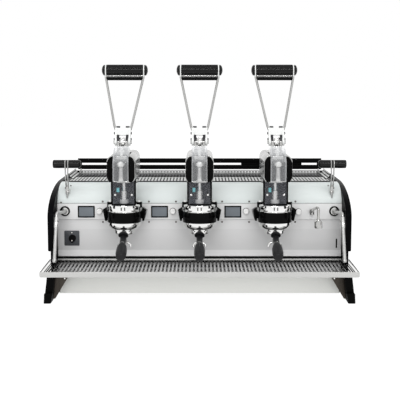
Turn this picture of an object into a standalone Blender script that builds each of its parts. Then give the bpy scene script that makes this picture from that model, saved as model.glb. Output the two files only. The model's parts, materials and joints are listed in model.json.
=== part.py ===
"""Three-group lever espresso machine at its real size.

Metres, +Z up. The operator stands at -Y, and the origin lies on the counter under the middle of the
machine. Each group lifts its piston with a toothed sector on the lever and a rack on the piston rod.
"""

import math

import bmesh
import bpy
from mathutils import Matrix, Vector

# Shared fits
GAP = 0.0003
RUNNING_GAP = 0.0005
OVERRUN = 0.010
INSET = 0.001
SHEET = 0.0015
FLANGE = 0.012

# Segment counts of round pieces
LARGE_SEGMENTS = 20
MIDDLE_SEGMENTS = 14
SMALL_SEGMENTS = 8
ARC_STEPS = 3

# Distance at which vertices are one
WELD = 0.000002
FLAT_ANGLE = math.radians(0.2)

# Groups
GROUP_COUNT = 3
GROUP_PITCH = 0.260
LAST_GROUP_X = (GROUP_COUNT - 1) / 2 * GROUP_PITCH
END_BAY = 0.245
GROUP_AXIS_Y = -0.188

# Casing planes
PANEL_FACE_Y = -0.087
CONTROL_PROUD = 0.004
CONTROL_FACE_Y = PANEL_FACE_Y - CONTROL_PROUD
CASING_HALF_WIDTH = LAST_GROUP_X + END_BAY
CASING_BACK_Y = 0.375
PANEL_HALF_WIDTH = CASING_HALF_WIDTH - GAP

# Heights of the casing
FRAME_TOP_Z = 0.1077
LOWER_PANEL_BOTTOM_Z = 0.1355
LOWER_PANEL_TOP_Z = 0.2687
CONTROL_TOP_Z = 0.3268
SHOULDER_Z = 0.386

# Leg frames
LEG_PROUD = 0.019
LEG_OUTER_X = CASING_HALF_WIDTH + LEG_PROUD
LEG_WIDTH = 0.0275
LEG_DEPTH = 0.070
LEG_SPLAY = 0.013
FRONT_LEG_Y = -0.230
REAR_LEG_Y = 0.240
RAIL_HEIGHT = 0.020
BOOT_HEIGHT = 0.035
BOOT_PROUD = 0.0015
GUSSET_REACH = 0.038
GUSSET_KNEE_Z = 0.065
GUSSET_FOOT_Z = 0.006
GUSSET_FOOT_REACH = 0.006
GUSSET_THICKNESS = 0.004
GUSSET_ROUND = 0.010

# Base frame
TUBE = 0.020
FRAME_HALF_WIDTH = LEG_OUTER_X - LEG_WIDTH - GAP
FRAME_FRONT_Y = -0.1382
FRAME_BACK_Y = 0.345
CROSS_RAIL_FROM_SIDE = 0.255
CROSS_RAIL_X = CASING_HALF_WIDTH - CROSS_RAIL_FROM_SIDE
BEAM_FRONT_Y = PANEL_FACE_Y + FLANGE + GAP
BEAM_BOTTOM_Z = 0.272
BEAM_TOP_Z = 0.324
SIDE_RAIL_Z = 0.300
UPPER_RING_FRONT_Y = 0.031

# Boiler
BOILER_RADIUS = 0.075
BOILER_FROM_SIDE = 0.125
BOILER_HALF_LENGTH = CASING_HALF_WIDTH - BOILER_FROM_SIDE
BOILER_DOME = 0.030
BOILER_WALL = 0.003
BOILER_PORT_RADIUS = 0.008
BOILER_Y = 0.160
BOILER_Z = 0.235
SADDLE_HALF_WIDTH = 0.015
SADDLE_HALF_DEPTH = 0.050

# Kick panel
KICK_FACE_Y = -0.140
KICK_BOTTOM_Z = 0.019
KICK_HALF_WIDTH = LEG_OUTER_X - LEG_WIDTH - INSET

# Drip tray and grate
TRAY_OVERHANG = 0.030
TRAY_HALF_WIDTH = CASING_HALF_WIDTH + TRAY_OVERHANG
TRAY_FRONT_Y = -0.330
TRAY_HEIGHT = 0.018
TRAY_WALL = 0.002
TRAY_RIB_WIDTH = 0.003
GRATE_FROM_SIDE = 0.003
GRATE_HALF_WIDTH = CASING_HALF_WIDTH - GRATE_FROM_SIDE
TRAY_RIB_MARGIN = 0.007
TRAY_RIB_PLACES = (-3, -1, 1, 3)
TRAY_RIB_X = (GRATE_HALF_WIDTH - TRAY_RIB_MARGIN) / TRAY_RIB_PLACES[-1]
GRATE_THICKNESS = 0.003
GRATE_SUNK = 0.0005
GRATE_COLUMN_COUNT = 24
GRATE_ROW_COUNT = 2
GRATE_SLOT_WIDTH = 0.012
GRATE_MARGIN = 0.014
GRATE_BRIDGE = 0.016

# Side panels
SIDE_THICKNESS = 0.020
SIDE_NECK_THICKNESS = 0.010
SIDE_FRONT_Y = -0.198
SIDE_NECK_TOP_Z = 0.173
SIDE_STRAIGHT_TOP_Z = 0.289
SIDE_TOP_Z = 0.380
SIDE_CROWN_Y = 0.114
SIDE_BACK_Y = 0.373
SIDE_BACK_ROUND = 0.030
SIDE_WALL = 0.004
SIDE_EDGE_ROUND = 0.004
SIDE_ARC_STEPS = 8

# Upper front panel and the steam lever brackets on it
UPPER_CURVE_BACK_Y = 0.0305
UPPER_CURVE_STEPS = 8
BRACKET_EAR_INNER = 0.008
BRACKET_EAR_OUTER = 0.011
BRACKET_FRONT_REACH = 0.006
BRACKET_BACK_REACH = 0.040
BRACKET_DROP = 0.0065

# Switch plate and knob
SWITCH_FROM_SIDE = 0.052
SWITCH_X = SWITCH_FROM_SIDE - CASING_HALF_WIDTH
SWITCH_Z = 0.2025
SWITCH_PLATE_HALF = 0.027
SWITCH_PLATE_PROUD = 0.0025
KNOB_RADIUS = 0.015
KNOB_DEPTH = 0.012
KNOB_BAR_HALF_WIDTH = 0.004
KNOB_BAR_PROUD = 0.004
KNOB_SPINDLE_RADIUS = 0.003
KNOB_SPINDLE_LENGTH = 0.012

# Displays and push buttons
DISPLAY_OFFSET_X = -0.142
DISPLAY_Z = 0.298
DISPLAY_HALF_WIDTH = 0.030
DISPLAY_HALF_HEIGHT = 0.021
DISPLAY_BEZEL = 0.003
DISPLAY_PROUD = 0.0025
DISPLAY_DEPTH = 0.011
BUTTON_OFFSET_X = -0.095
BUTTON_Z = 0.300
HOT_BUTTON_FROM_SIDE = 0.1545
HOT_BUTTON_X = CASING_HALF_WIDTH - HOT_BUTTON_FROM_SIDE
HOT_BUTTON_Z = 0.298
BUTTON_RADIUS = 0.011
BUTTON_TRAVEL = 0.003
BUTTON_LENGTH = 0.010
BUTTON_STEM_RADIUS = 0.004
BUTTON_FACE_SHARE = 0.6
BUTTON_STEM_LENGTH = 0.016

# Steam wands
WAND_BALL_FROM_SIDE = 0.027
WAND_BALL_X = CASING_HALF_WIDTH - WAND_BALL_FROM_SIDE
WAND_BALL_Z = 0.300
WAND_BALL_RADIUS = 0.011
WAND_BALL_FORWARD = 0.008
WAND_RING_RADIUS = 0.018
WAND_RING_PROUD = 0.013
WAND_RADIUS = 0.00575
WAND_DROP_OUTWARD = 0.013
WAND_DROP_X = WAND_BALL_X + WAND_DROP_OUTWARD
WAND_DROP_Y = -0.193
WAND_RISE = 0.006
WAND_TIP_Z = 0.1405
WAND_TIP_RADIUS = 0.007
WAND_TIP_LENGTH = 0.012
WAND_SLEEVE_RADIUS = 0.008
WAND_SLEEVE_TOP_Z = 0.290
WAND_SLEEVE_LENGTH = 0.038
WAND_BEND = 0.016

# Hot water spout
SPOUT_FROM_SIDE = 0.107
SPOUT_X = CASING_HALF_WIDTH - SPOUT_FROM_SIDE
SPOUT_Z = 0.2985
SPOUT_FLANGE_RADIUS = 0.012
SPOUT_FLANGE_PROUD = 0.0035
SPOUT_SWIVEL_RADIUS = 0.008
SPOUT_SWIVEL_HALF_HEIGHT = 0.010
SPOUT_RADIUS = 0.005
SPOUT_ELBOW_Y = -0.234
SPOUT_RISE = 0.031
SPOUT_NOZZLE_OUTWARD = 0.0065
SPOUT_NOZZLE_X = SPOUT_X + SPOUT_NOZZLE_OUTWARD
SPOUT_NOZZLE_RADIUS = 0.0135
SPOUT_NOZZLE_TOP_Z = 0.292
SPOUT_NOZZLE_BOTTOM_Z = 0.2605
SPOUT_NOZZLE_NECK = 0.0075
SPOUT_BORE_SHARE = 0.72

# Steam levers
STEAM_FROM_SIDE = 0.036
STEAM_X = CASING_HALF_WIDTH - STEAM_FROM_SIDE
STEAM_PIVOT_Y = -0.082
STEAM_PIVOT_Z = 0.369
STEAM_HUB_RADIUS = 0.006
STEAM_PIN_RADIUS = 0.003
STEAM_ROD_RADIUS = 0.0025
STEAM_ROD_SPREAD = 0.006
STEAM_TAIL_LENGTH = 0.028
STEAM_TAIL_TIP_RADIUS = 0.0015
STEAM_GRIP_Z = 0.467
STEAM_GRIP_FORWARD = 0.0015
STEAM_GRIP_RADIUS = 0.014
STEAM_GRIP_HALF_LENGTH = 0.0495
STEAM_GRIP_ROUND = 0.006
STEAM_ROD_KNEE_SHARE = 0.62
STEAM_ROD_ROOT_SPREAD = 0.0035
STEAM_ROD_TOP_SHARE = 0.6

# Cup tray and rail
CUP_TRAY_FROM_SIDE = 0.007
CUP_TRAY_HALF_WIDTH = CASING_HALF_WIDTH - CUP_TRAY_FROM_SIDE
CUP_TRAY_BACK_Y = 0.352
CUP_TRAY_LIP = 0.012
CUP_TRAY_END_HEIGHT = 0.026
CUP_TRAY_END_ROUND = 0.022
CUP_TRAY_COLUMN_COUNT = 14
CUP_TRAY_ROW_COUNT = 2
CUP_TRAY_MARGIN = 0.030
CUP_TRAY_BRIDGE = 0.012
CUP_TRAY_SLOT_WIDTH = 0.010
RAIL_Y = 0.330
RAIL_THICKNESS = 0.004
RAIL_BOTTOM_Z = 0.410
RAIL_TOP_Z = 0.451
RAIL_FROM_SIDE = 0.025
RAIL_HALF_WIDTH = CASING_HALF_WIDTH - RAIL_FROM_SIDE
RAIL_SLOT_HEIGHT = 0.014
RAIL_SLOT_SHARES = ((-0.969, -0.573), (-0.510, -0.031), (0.031, 0.341), (0.838, 0.963))
POST_HALF_WIDTH = 0.006
POST_PROUD = 0.001
POST_X_SHARES = (-0.975, -0.5417, 0.5417, 0.975)

# Rear casing
REAR_BOTTOM_Z = 0.080
REAR_FLANGE_Y = 0.3525
VENT_COUNT = 6
VENT_HEIGHT = 0.006
VENT_PITCH = 0.014
VENT_HALF_WIDTH = 0.090
VENT_FROM_SIDE = 0.225
VENT_X = CASING_HALF_WIDTH - VENT_FROM_SIDE
VENT_LOWEST_Z = 0.200

# Group body, from the top down
BARREL_TOP_Z = 0.339
BARREL_EDGE = 0.003
RING_RADIUS = 0.060
RING_BOTTOM_Z = 0.3143
RING_OVER_CORE = 0.004
CORE_RADIUS = RING_RADIUS - RING_OVER_CORE
CORE_BOTTOM_Z = 0.2775
BELL_TAPER = 0.0072
BELL_WAIST_RADIUS = CORE_RADIUS - BELL_TAPER
BELL_WAIST_Z = 0.262
SKIRT_RADIUS = 0.040
SKIRT_BOTTOM_Z = 0.2475
GASKET_Z = 0.2575
BORE_RADIUS = 0.0293
BORE_TOP_Z = 0.325
GLAND_RADIUS = 0.013
GLAND_TOP_Z = 0.385
NECK_HALF_WIDTH = 0.040
NECK_BOTTOM_Z = 0.2755
NECK_TOP_Z = 0.3225
NECK_FRONT_Y = -0.150

# Guard ring
GUARD_WALL = 0.0052
GUARD_BOTTOM_Z = 0.278
GUARD_TOP_Z = 0.314
CHEEK_TOP_REACH = 0.016
CHEEK_FOOT_REACH = 0.008
CHEEK_OUTER_X = RING_RADIUS + CHEEK_TOP_REACH
CHEEK_FOOT_X = RING_RADIUS + CHEEK_FOOT_REACH
CHEEK_BOTTOM_Z = 0.284
CHEEK_FRONT_TOP_Z = 0.325
CHEEK_BACK_TOP_Z = 0.348
CHEEK_FRONT_REACH = 0.008

# Piston, rod and rack
PISTON_RADIUS = BORE_RADIUS - RUNNING_GAP
PISTON_BOTTOM_Z = 0.262
PISTON_THICKNESS = 0.015
ROD_RADIUS = 0.009
COLLAR_RADIUS = 0.0165
COLLAR_THICKNESS = 0.0035

# Lever pivot and gear
PIVOT_Y = -0.232
PIVOT_Z = 0.554
LEVER_LEAN = math.radians(28.8)
LEVER_THROW = math.radians(120.0)
MODULE = 0.002
TEETH = 16
PRESSURE_ANGLE = math.radians(20.0)
BACKLASH = 0.00025
ADDENDUM_SHARE = 0.9
DEDENDUM_SHARE = 1.25
SECTOR_FIRST_TOOTH = -7
SECTOR_LAST_TOOTH = 1
SECTOR_HUB_RADIUS = 0.011
SECTOR_HALF_WIDTH = 0.007
RACK_TOP_ABOVE_PIVOT = 0.008
RACK_LENGTH = 0.054
RACK_TEETH = 8
PITCH_RADIUS = MODULE * TEETH / 2
TOOTH_PITCH = math.pi * MODULE
STROKE = PITCH_RADIUS * LEVER_THROW

# Lever housing: column, tunnel, spring seat and pivot lugs
COLUMN_HALF_WIDTH = 0.043
COLUMN_CHEEK = 0.0075
COLUMN_WINDOW_HALF = COLUMN_HALF_WIDTH - COLUMN_CHEEK
COLUMN_FRONT_Y = -0.218
COLUMN_BACK_Y = -0.095
COLUMN_WALL = 0.005
TUNNEL_HALF_WIDTH = 0.0465
TUNNEL_BOTTOM_Z = 0.4277
TUNNEL_TOP_Z = 0.516
TUNNEL_FRONT_Y = -0.330
TUNNEL_BACK_Y = -0.050
TUNNEL_WALL = 0.003
TUNNEL_TOP_ROUND = 0.022
TUNNEL_BOTTOM_ROUND = 0.012
SEAT_BOTTOM_Z = 0.5005
SEAT_THICKNESS = 0.005
SEAT_HALF_WIDTH = 0.0415
SEAT_FRONT_Y = -0.245
SEAT_BACK_Y = -0.160
LUG_INNER_X = 0.010
LUG_OUTER_X = 0.018
LUG_BOSS_RADIUS = 0.011
LUG_BACK_Y = -0.172
LUG_SHOULDER_Z = 0.530
DAMPER_RADIUS = 0.012
DAMPER_Y = -0.318
DAMPER_TOP_Z = 0.490

# Clear cover
COVER_HALF_WIDTH = 0.027
COVER_FRONT_Y = -0.345
COVER_BEND_Z = 0.4945
COVER_CREST_Y = -0.262
COVER_CREST_Z = 0.5435
COVER_WALL = 0.002
COVER_EDGE_ROUND = 0.005

# Spring
SPRING_TURNS = 5
SPRING_POINTS_PER_TURN = 8
SPRING_WIRE_RADIUS = 0.0024
SPRING_MEAN_RADIUS = 0.0145

# Lever fork
PIN_RADIUS = 0.005
PIN_HEAD_RADIUS = 0.007
PIN_HEAD_THICKNESS = 0.004
CHEEK_PLATE_INNER = 0.019
YOKE_HALF_WIDTH = 0.027
YOKE_FOOT = 0.012
YOKE_TOP = 0.052
YOKE_FRONT = 0.007
YOKE_BACK = 0.005
YOKE_PLATE_BOTTOM = 0.021
YOKE_PLATE_TOP = 0.051
YOKE_PLATE_THICKNESS = 0.004
ARM_LENGTH = 0.276
ARM_RADIUS = 0.004
ARM_ROOT_X = 0.0235
ARM_ROOT = 0.044
ARM_KNEE_X = 0.0285
ARM_KNEE = 0.058
ARM_END_BELOW = 0.0235
ARM_END = ARM_LENGTH - ARM_END_BELOW
TIE_BAR_BELOW = 0.033
TIE_BAR_RADIUS = 0.006
END_PLATE_X = 0.066
END_PLATE_THICKNESS = 0.004
END_PLATE_RADIUS = 0.0195
END_PLATE_TAIL = 0.028
SPINDLE_RADIUS = 0.006

# Lever grip
GRIP_RADIUS = 0.0197
GRIP_FLUTES = 9
GRIP_FLUTE_DEPTH = 0.002
GRIP_CAP_LENGTH = 0.012
GRIP_CAP_RADIUS = 0.0185

# Portafilter
RIM_RADIUS = 0.034
RIM_BOTTOM_Z = 0.240
BASKET_TOP_RADIUS = 0.0305
BASKET_FOOT_RADIUS = 0.029
BASKET_FLOOR_Z = 0.233
BOWL_FOOT_RADIUS = 0.016
BOWL_WAIST_RADIUS = 0.030
BOWL_WAIST_Z = 0.228
BOWL_FOOT_Z = 0.220
BOWL_BOTTOM_Z = 0.214
SPOUT_BLOCK_RADIUS = 0.009
SPOUT_BLOCK_Z = 0.204
SPOUT_ARM_RADIUS = 0.0045
SPOUT_ARM_SPREAD = 0.020
SPOUT_ARM_END_Z = 0.188
ARM_BEND_SHARE = 0.92
HANDLE_TILT = math.radians(15.8)
HANDLE_ROOT_Z = 0.2435
STEM_START = 0.0322
STEM_RADIUS = 0.005
STEM_LENGTH = 0.036
BOSS_RADIUS = 0.0095
BOSS_LENGTH = 0.0075
HANDLE_LENGTH = 0.1615
HANDLE_BORE_DEPTH = 0.030
HANDLE_FERRULE_RADIUS = 0.013
HANDLE_COLLAR_RADIUS = 0.0185
HANDLE_NECK_RADIUS = 0.0125
HANDLE_BULB_RADIUS = 0.0185
HANDLE_END_RADIUS = 0.0135
HANDLE_TIP_RADIUS = 0.0081

# Lengths along the portafilter handle, as shares of its length
HANDLE_COLLAR_SHARES = (0.06, 0.15)
HANDLE_NECK_SHARE = 0.25
HANDLE_BULB_SHARE = 0.60
HANDLE_TAPER_SHARE = 0.86
HANDLE_TIP_SHARE = 0.97

# Plane of an outline: its x and y axes in the world, and the way that it is thickened
FACE_YZ = Matrix(((0, 0, 1, 0), (1, 0, 0, 0), (0, 1, 0, 0), (0, 0, 0, 1)))
FACE_XZ = Matrix(((1, 0, 0, 0), (0, 0, -1, 0), (0, 1, 0, 0), (0, 0, 0, 1)))
FACE_XY = Matrix.Identity(4)


def clear_scene():
    for item in list(bpy.data.objects):
        bpy.data.objects.remove(item, do_unlink=True)


def make_collection(name):
    collection = bpy.data.collections.new(name)
    bpy.context.scene.collection.children.link(collection)
    return collection


clear_scene()
MACHINE = make_collection("lever_espresso_machine")
WORKSHOP = make_collection("workshop")


def finish(name, colour, roughness, metallic):
    """A Principled material with one colour."""
    material = bpy.data.materials.new(name)
    material.use_nodes = True
    shader = material.node_tree.nodes["Principled BSDF"]
    shader.inputs["Base Color"].default_value = (*colour, 1.0)
    shader.inputs["Roughness"].default_value = roughness
    shader.inputs["Metallic"].default_value = metallic
    material.diffuse_color = (*colour, 1.0)
    return material


def new_object(name, data, matrix=FACE_XY):
    item = bpy.data.objects.new(name, data)
    item.matrix_world = matrix
    WORKSHOP.objects.link(item)
    return item


def baked(item, weld=0.0):
    """The object's evaluated mesh in world space, as a new plain mesh object."""
    bpy.context.view_layer.update()
    depsgraph = bpy.context.evaluated_depsgraph_get()
    evaluated = item.evaluated_get(depsgraph)
    mesh = bpy.data.meshes.new_from_object(evaluated)
    mesh.transform(item.matrix_world)
    shape = bmesh.new()
    shape.from_mesh(mesh)
    if weld:
        bmesh.ops.remove_doubles(shape, verts=shape.verts, dist=weld)
    if shape.calc_volume(signed=True) < 0:
        bmesh.ops.reverse_faces(shape, faces=shape.faces)
    shape.to_mesh(mesh)
    shape.free()
    name = item.name
    bpy.data.objects.remove(item, do_unlink=True)
    return new_object(name, mesh)


def combined(body, tools, operation):
    """The body after a union or a difference with each tool in turn."""
    for tool in tools:
        modifier = body.modifiers.new(operation.lower(), "BOOLEAN")
        modifier.operation = operation
        modifier.solver = "EXACT"
        modifier.object = tool
        tool.hide_render = True
        tool.display_type = "WIRE"
        body = baked(body)
        bpy.data.objects.remove(tool, do_unlink=True)
    return body


def joined(body, *tools):
    return combined(body, tools, "UNION")


def cut(body, *tools):
    return combined(body, tools, "DIFFERENCE")


def box(name, x, y, z):
    """A block between three spans."""
    spans = (x, y, z)
    centre = Vector([(low + high) / 2 for low, high in spans])
    size = Vector([high - low for low, high in spans])
    shape = bmesh.new()
    bmesh.ops.create_cube(shape, size=1.0)
    bmesh.ops.scale(shape, vec=size, verts=shape.verts)
    bmesh.ops.translate(shape, vec=centre, verts=shape.verts)
    mesh = bpy.data.meshes.new(name)
    shape.to_mesh(mesh)
    shape.free()
    return new_object(name, mesh)


def tapered_box(name, foot_x, top_x, y, z, back_top=None):
    """A block whose X span runs from foot_x to top_x, and whose top may rise to back_top behind."""
    item = box(name, top_x, y, z)
    for vertex in item.data.vertices:
        left = vertex.co.x < sum(top_x) / 2
        back = vertex.co.y > sum(y) / 2
        if vertex.co.z < sum(z) / 2:
            vertex.co.x = foot_x[0] if left else foot_x[1]
        elif back_top is not None and back:
            vertex.co.z = back_top
    return item


def cylinder(name, radius, start, end, segments=MIDDLE_SEGMENTS, end_radius=None):
    """A cylinder or cone from one centre point to another."""
    start, end = Vector(start), Vector(end)
    axis = end - start
    turn = axis.to_track_quat("Z", "Y").to_matrix().to_4x4()
    place = Matrix.Translation((start + end) / 2) @ turn
    shape = bmesh.new()
    bmesh.ops.create_cone(
        shape,
        cap_ends=True,
        segments=segments,
        radius1=radius,
        radius2=radius if end_radius is None else end_radius,
        depth=axis.length,
        matrix=place,
    )
    mesh = bpy.data.meshes.new(name)
    shape.to_mesh(mesh)
    shape.free()
    return new_object(name, mesh)


def turned(name, profile, place, segments=LARGE_SEGMENTS, ring=False):
    """A profile of (radius, height) points, outer side downwards, turned about the place's Z axis."""
    mesh = bpy.data.meshes.new(name)
    points = [(radius, 0.0, height) for radius, height in profile]
    edges = [(index, index + 1) for index in range(len(points) - 1)]
    if ring:
        edges.append((len(points) - 1, 0))
    mesh.from_pydata(points, edges, [])
    item = new_object(name, mesh, place)
    screw = item.modifiers.new("turn", "SCREW")
    screw.steps = segments
    screw.render_steps = segments
    screw.use_merge_vertices = True
    screw.merge_threshold = WELD
    return baked(item, WELD)


def prisms(name, outlines, thickness, place, offset):
    """Outlines thickened to one side from offset along the place's Z axis, as one mesh."""
    shape = bmesh.new()
    for outline in outlines:
        near = [shape.verts.new((x, y, offset)) for x, y in outline]
        far = [shape.verts.new((x, y, offset + thickness)) for x, y in outline]
        shape.faces.new(reversed(near))
        shape.faces.new(far)
        for index in range(len(outline)):
            shape.faces.new((near[index - 1], near[index], far[index], far[index - 1]))
    mesh = bpy.data.meshes.new(name)
    shape.to_mesh(mesh)
    shape.free()
    return baked(new_object(name, mesh, place), WELD)


def plate(name, outline, thickness, place, offset=0.0, holes=()):
    """A flat outline with holes, thickened to one side from offset along the place's Z axis."""
    body = prisms(name, [outline], thickness, place, offset)
    if not holes:
        return body
    reach = thickness + 2 * OVERRUN
    return cut(body, prisms("holes", holes, reach, place, offset - OVERRUN))


def tube(name, points, radius, resolution=2):
    """A round bar along a list of points."""
    curve = bpy.data.curves.new(name, "CURVE")
    curve.dimensions = "3D"
    curve.bevel_depth = radius
    curve.bevel_resolution = resolution
    curve.use_fill_caps = True
    spline = curve.splines.new("POLY")
    spline.points.add(len(points) - 1)
    for point, place in zip(spline.points, points):
        point.co = (*place, 1.0)
    return baked(new_object(name, curve), WELD)


def bent_sheet(name, path, half_width, thickness=SHEET):
    """A sheet folded along a path of (Y, Z) points whose left side is its outside."""
    shape = bmesh.new()
    left = [shape.verts.new((-half_width, y, z)) for y, z in path]
    right = [shape.verts.new((half_width, y, z)) for y, z in path]
    for index in range(len(path) - 1):
        shape.faces.new((left[index], left[index + 1], right[index + 1], right[index]))
    mesh = bpy.data.meshes.new(name)
    shape.to_mesh(mesh)
    shape.free()
    item = new_object(name, mesh)
    solid = item.modifiers.new("sheet", "SOLIDIFY")
    solid.thickness = thickness
    solid.offset = -1.0
    solid.use_even_offset = True
    return baked(item)


def arc(centre, radii, start, end, steps):
    """Points of an elliptic arc, with angles in degrees from the first axis to the second."""
    points = []
    for index in range(steps + 1):
        angle = math.radians(start + (end - start) * index / steps)
        points.append(
            (centre[0] + radii[0] * math.cos(angle), centre[1] + radii[1] * math.sin(angle))
        )
    return points


def ring_points(centre, radius, count):
    return arc(centre, (radius, radius), 0, 360 - 360 / count, count - 1)


def rectangle(centre, half_width, half_height):
    x, y = centre
    return [
        (x - half_width, y - half_height),
        (x + half_width, y - half_height),
        (x + half_width, y + half_height),
        (x - half_width, y + half_height),
    ]


def slots(columns, rows, half_width, front, back, slot_width, bridge):
    """Rows of oblong slots over a rectangle of the XY plane."""
    pitch = 2 * half_width / columns
    length = (back - front - bridge * (rows - 1)) / rows
    found = []
    for row in range(rows):
        middle = front + length / 2 + row * (length + bridge)
        for column in range(columns):
            x = -half_width + pitch * (column + 0.5)
            found.append(rectangle((x, middle), slot_width / 2, length / 2))
    return found


def mirrored(item, name):
    """The same piece on the other side of the machine."""
    mesh = item.data.copy()
    mesh.transform(Matrix.Diagonal((-1.0, 1.0, 1.0, 1.0)))
    mesh.flip_normals()
    return new_object(name, mesh)


def bevelled(item, width, segments, chosen):
    """The piece with the edges that chosen picks rounded."""
    shape = bmesh.new()
    shape.from_mesh(item.data)
    edges = [edge for edge in shape.edges if chosen(edge)]
    bmesh.ops.bevel(
        shape,
        geom=edges,
        offset=width,
        segments=segments,
        profile=0.5,
        affect="EDGES",
        clamp_overlap=True,
    )
    shape.to_mesh(item.data)
    shape.free()
    return item


def simplify(mesh):
    """Dissolve the needless edges that the booleans leave on flat faces."""
    shape = bmesh.new()
    shape.from_mesh(mesh)
    bmesh.ops.dissolve_limit(
        shape, angle_limit=FLAT_ANGLE, verts=shape.verts, edges=shape.edges, use_dissolve_boundaries=False
    )
    shape.to_mesh(mesh)
    shape.free()


def publish(name, item, material, origin=(0.0, 0.0, 0.0), parent=None, shift=(0.0, 0.0, 0.0)):
    """Put a finished piece in the machine's collection, with its origin on its axis."""
    if not item.data.get("placed"):
        item.name = "finished_shape"
        simplify(item.data)
        item.data.transform(Matrix.Translation(-Vector(origin)))
        item.data.shade_smooth()
        item.data.set_sharp_from_angle(angle=math.radians(35.0))
        item.data.materials.clear()
        item.data.materials.append(material)
        item.data["placed"] = True
    result = bpy.data.objects.new(name, item.data)
    result.location = Vector(origin) + Vector(shift)
    result.parent = parent
    MACHINE.objects.link(result)
    return result


def group_x(index):
    return (index - (GROUP_COUNT - 1) / 2) * GROUP_PITCH


def upright(x, y):
    """The place of a vertical axis through x and y."""
    return Matrix.Translation((x, y, 0.0))


def facing_front(x, y, z):
    """The place of an axis through a point, towards the operator."""
    return Matrix.Translation((x, y, z)) @ FACE_XZ


BLACK_PAINT = finish("black_paint", (0.012, 0.012, 0.012), 0.35, 0.0)
SATIN_STEEL = finish("satin_steel", (0.66, 0.67, 0.66), 0.30, 1.0)
POLISHED = finish("polished_steel", (0.78, 0.78, 0.77), 0.08, 1.0)
PALE_PANEL = finish("pale_panel", (0.70, 0.71, 0.70), 0.18, 0.6)
BLACK_PLASTIC = finish("black_plastic", (0.010, 0.010, 0.010), 0.45, 0.0)
DARK_GLASS = finish("dark_glass", (0.09, 0.10, 0.11), 0.15, 0.0)
CLEAR_PLASTIC = finish("clear_plastic", (0.80, 0.83, 0.84), 0.05, 0.0)
SPRING_STEEL = finish("spring_steel", (0.35, 0.36, 0.37), 0.35, 1.0)
BRASS = finish("boiler_brass", (0.60, 0.42, 0.20), 0.35, 1.0)
DARK_FRAME = finish("dark_frame", (0.05, 0.05, 0.05), 0.55, 0.3)


def leg(name, front_y):
    """A splayed leg with its rubber boot."""
    inner = LEG_OUTER_X - LEG_WIDTH
    back_y = front_y + LEG_DEPTH
    foot = (inner + LEG_SPLAY, LEG_OUTER_X + LEG_SPLAY)
    post = tapered_box(
        name, foot, (inner, LEG_OUTER_X), (front_y, back_y), (BOOT_HEIGHT / 2, FRAME_TOP_Z - INSET)
    )
    lean = LEG_SPLAY * BOOT_HEIGHT / FRAME_TOP_Z
    boot_foot = (foot[0] - BOOT_PROUD, foot[1])
    boot_top = (foot[0] - BOOT_PROUD - lean, foot[1] + BOOT_PROUD - lean)
    boot = tapered_box(
        "boot",
        boot_foot,
        boot_top,
        (front_y - BOOT_PROUD, back_y + BOOT_PROUD),
        (0.0, BOOT_HEIGHT),
    )
    return joined(post, boot)


def gusset(front_y, top):
    """The bracing plate between a leg and the frame."""
    inner = LEG_OUTER_X - LEG_WIDTH
    reach = inner - GUSSET_REACH
    middle = inner + LEG_WIDTH / 2
    corner = arc(
        (reach + GUSSET_ROUND, top - GUSSET_ROUND), (GUSSET_ROUND, GUSSET_ROUND), 90, 180, ARC_STEPS
    )
    outline = [
        (middle, top),
        *corner,
        (reach, GUSSET_KNEE_Z),
        (inner + GUSSET_FOOT_REACH, GUSSET_FOOT_Z),
        (middle + LEG_SPLAY, GUSSET_FOOT_Z),
    ]
    middle_y = front_y + (LEG_DEPTH + GUSSET_THICKNESS) / 2
    return plate("gusset", outline, GUSSET_THICKNESS, FACE_XZ, -middle_y)


def leg_frame():
    """One side's rail with a front and a rear leg."""
    inner = LEG_OUTER_X - LEG_WIDTH
    rail = box(
        "leg_rail",
        (inner + INSET, LEG_OUTER_X - INSET),
        (FRONT_LEG_Y + INSET, REAR_LEG_Y + LEG_DEPTH - INSET),
        (FRAME_TOP_Z - RAIL_HEIGHT, FRAME_TOP_Z),
    )
    return joined(
        rail,
        leg("front_leg", FRONT_LEG_Y),
        leg("rear_leg", REAR_LEG_Y),
        gusset(FRONT_LEG_Y, FRAME_TOP_Z - INSET / 2),
        gusset(REAR_LEG_Y, FRAME_TOP_Z - TUBE - GAP),
    )


def frame_tube(x, y, z):
    """One square tube of the base frame."""
    return box("frame_tube", x, y, z)


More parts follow.
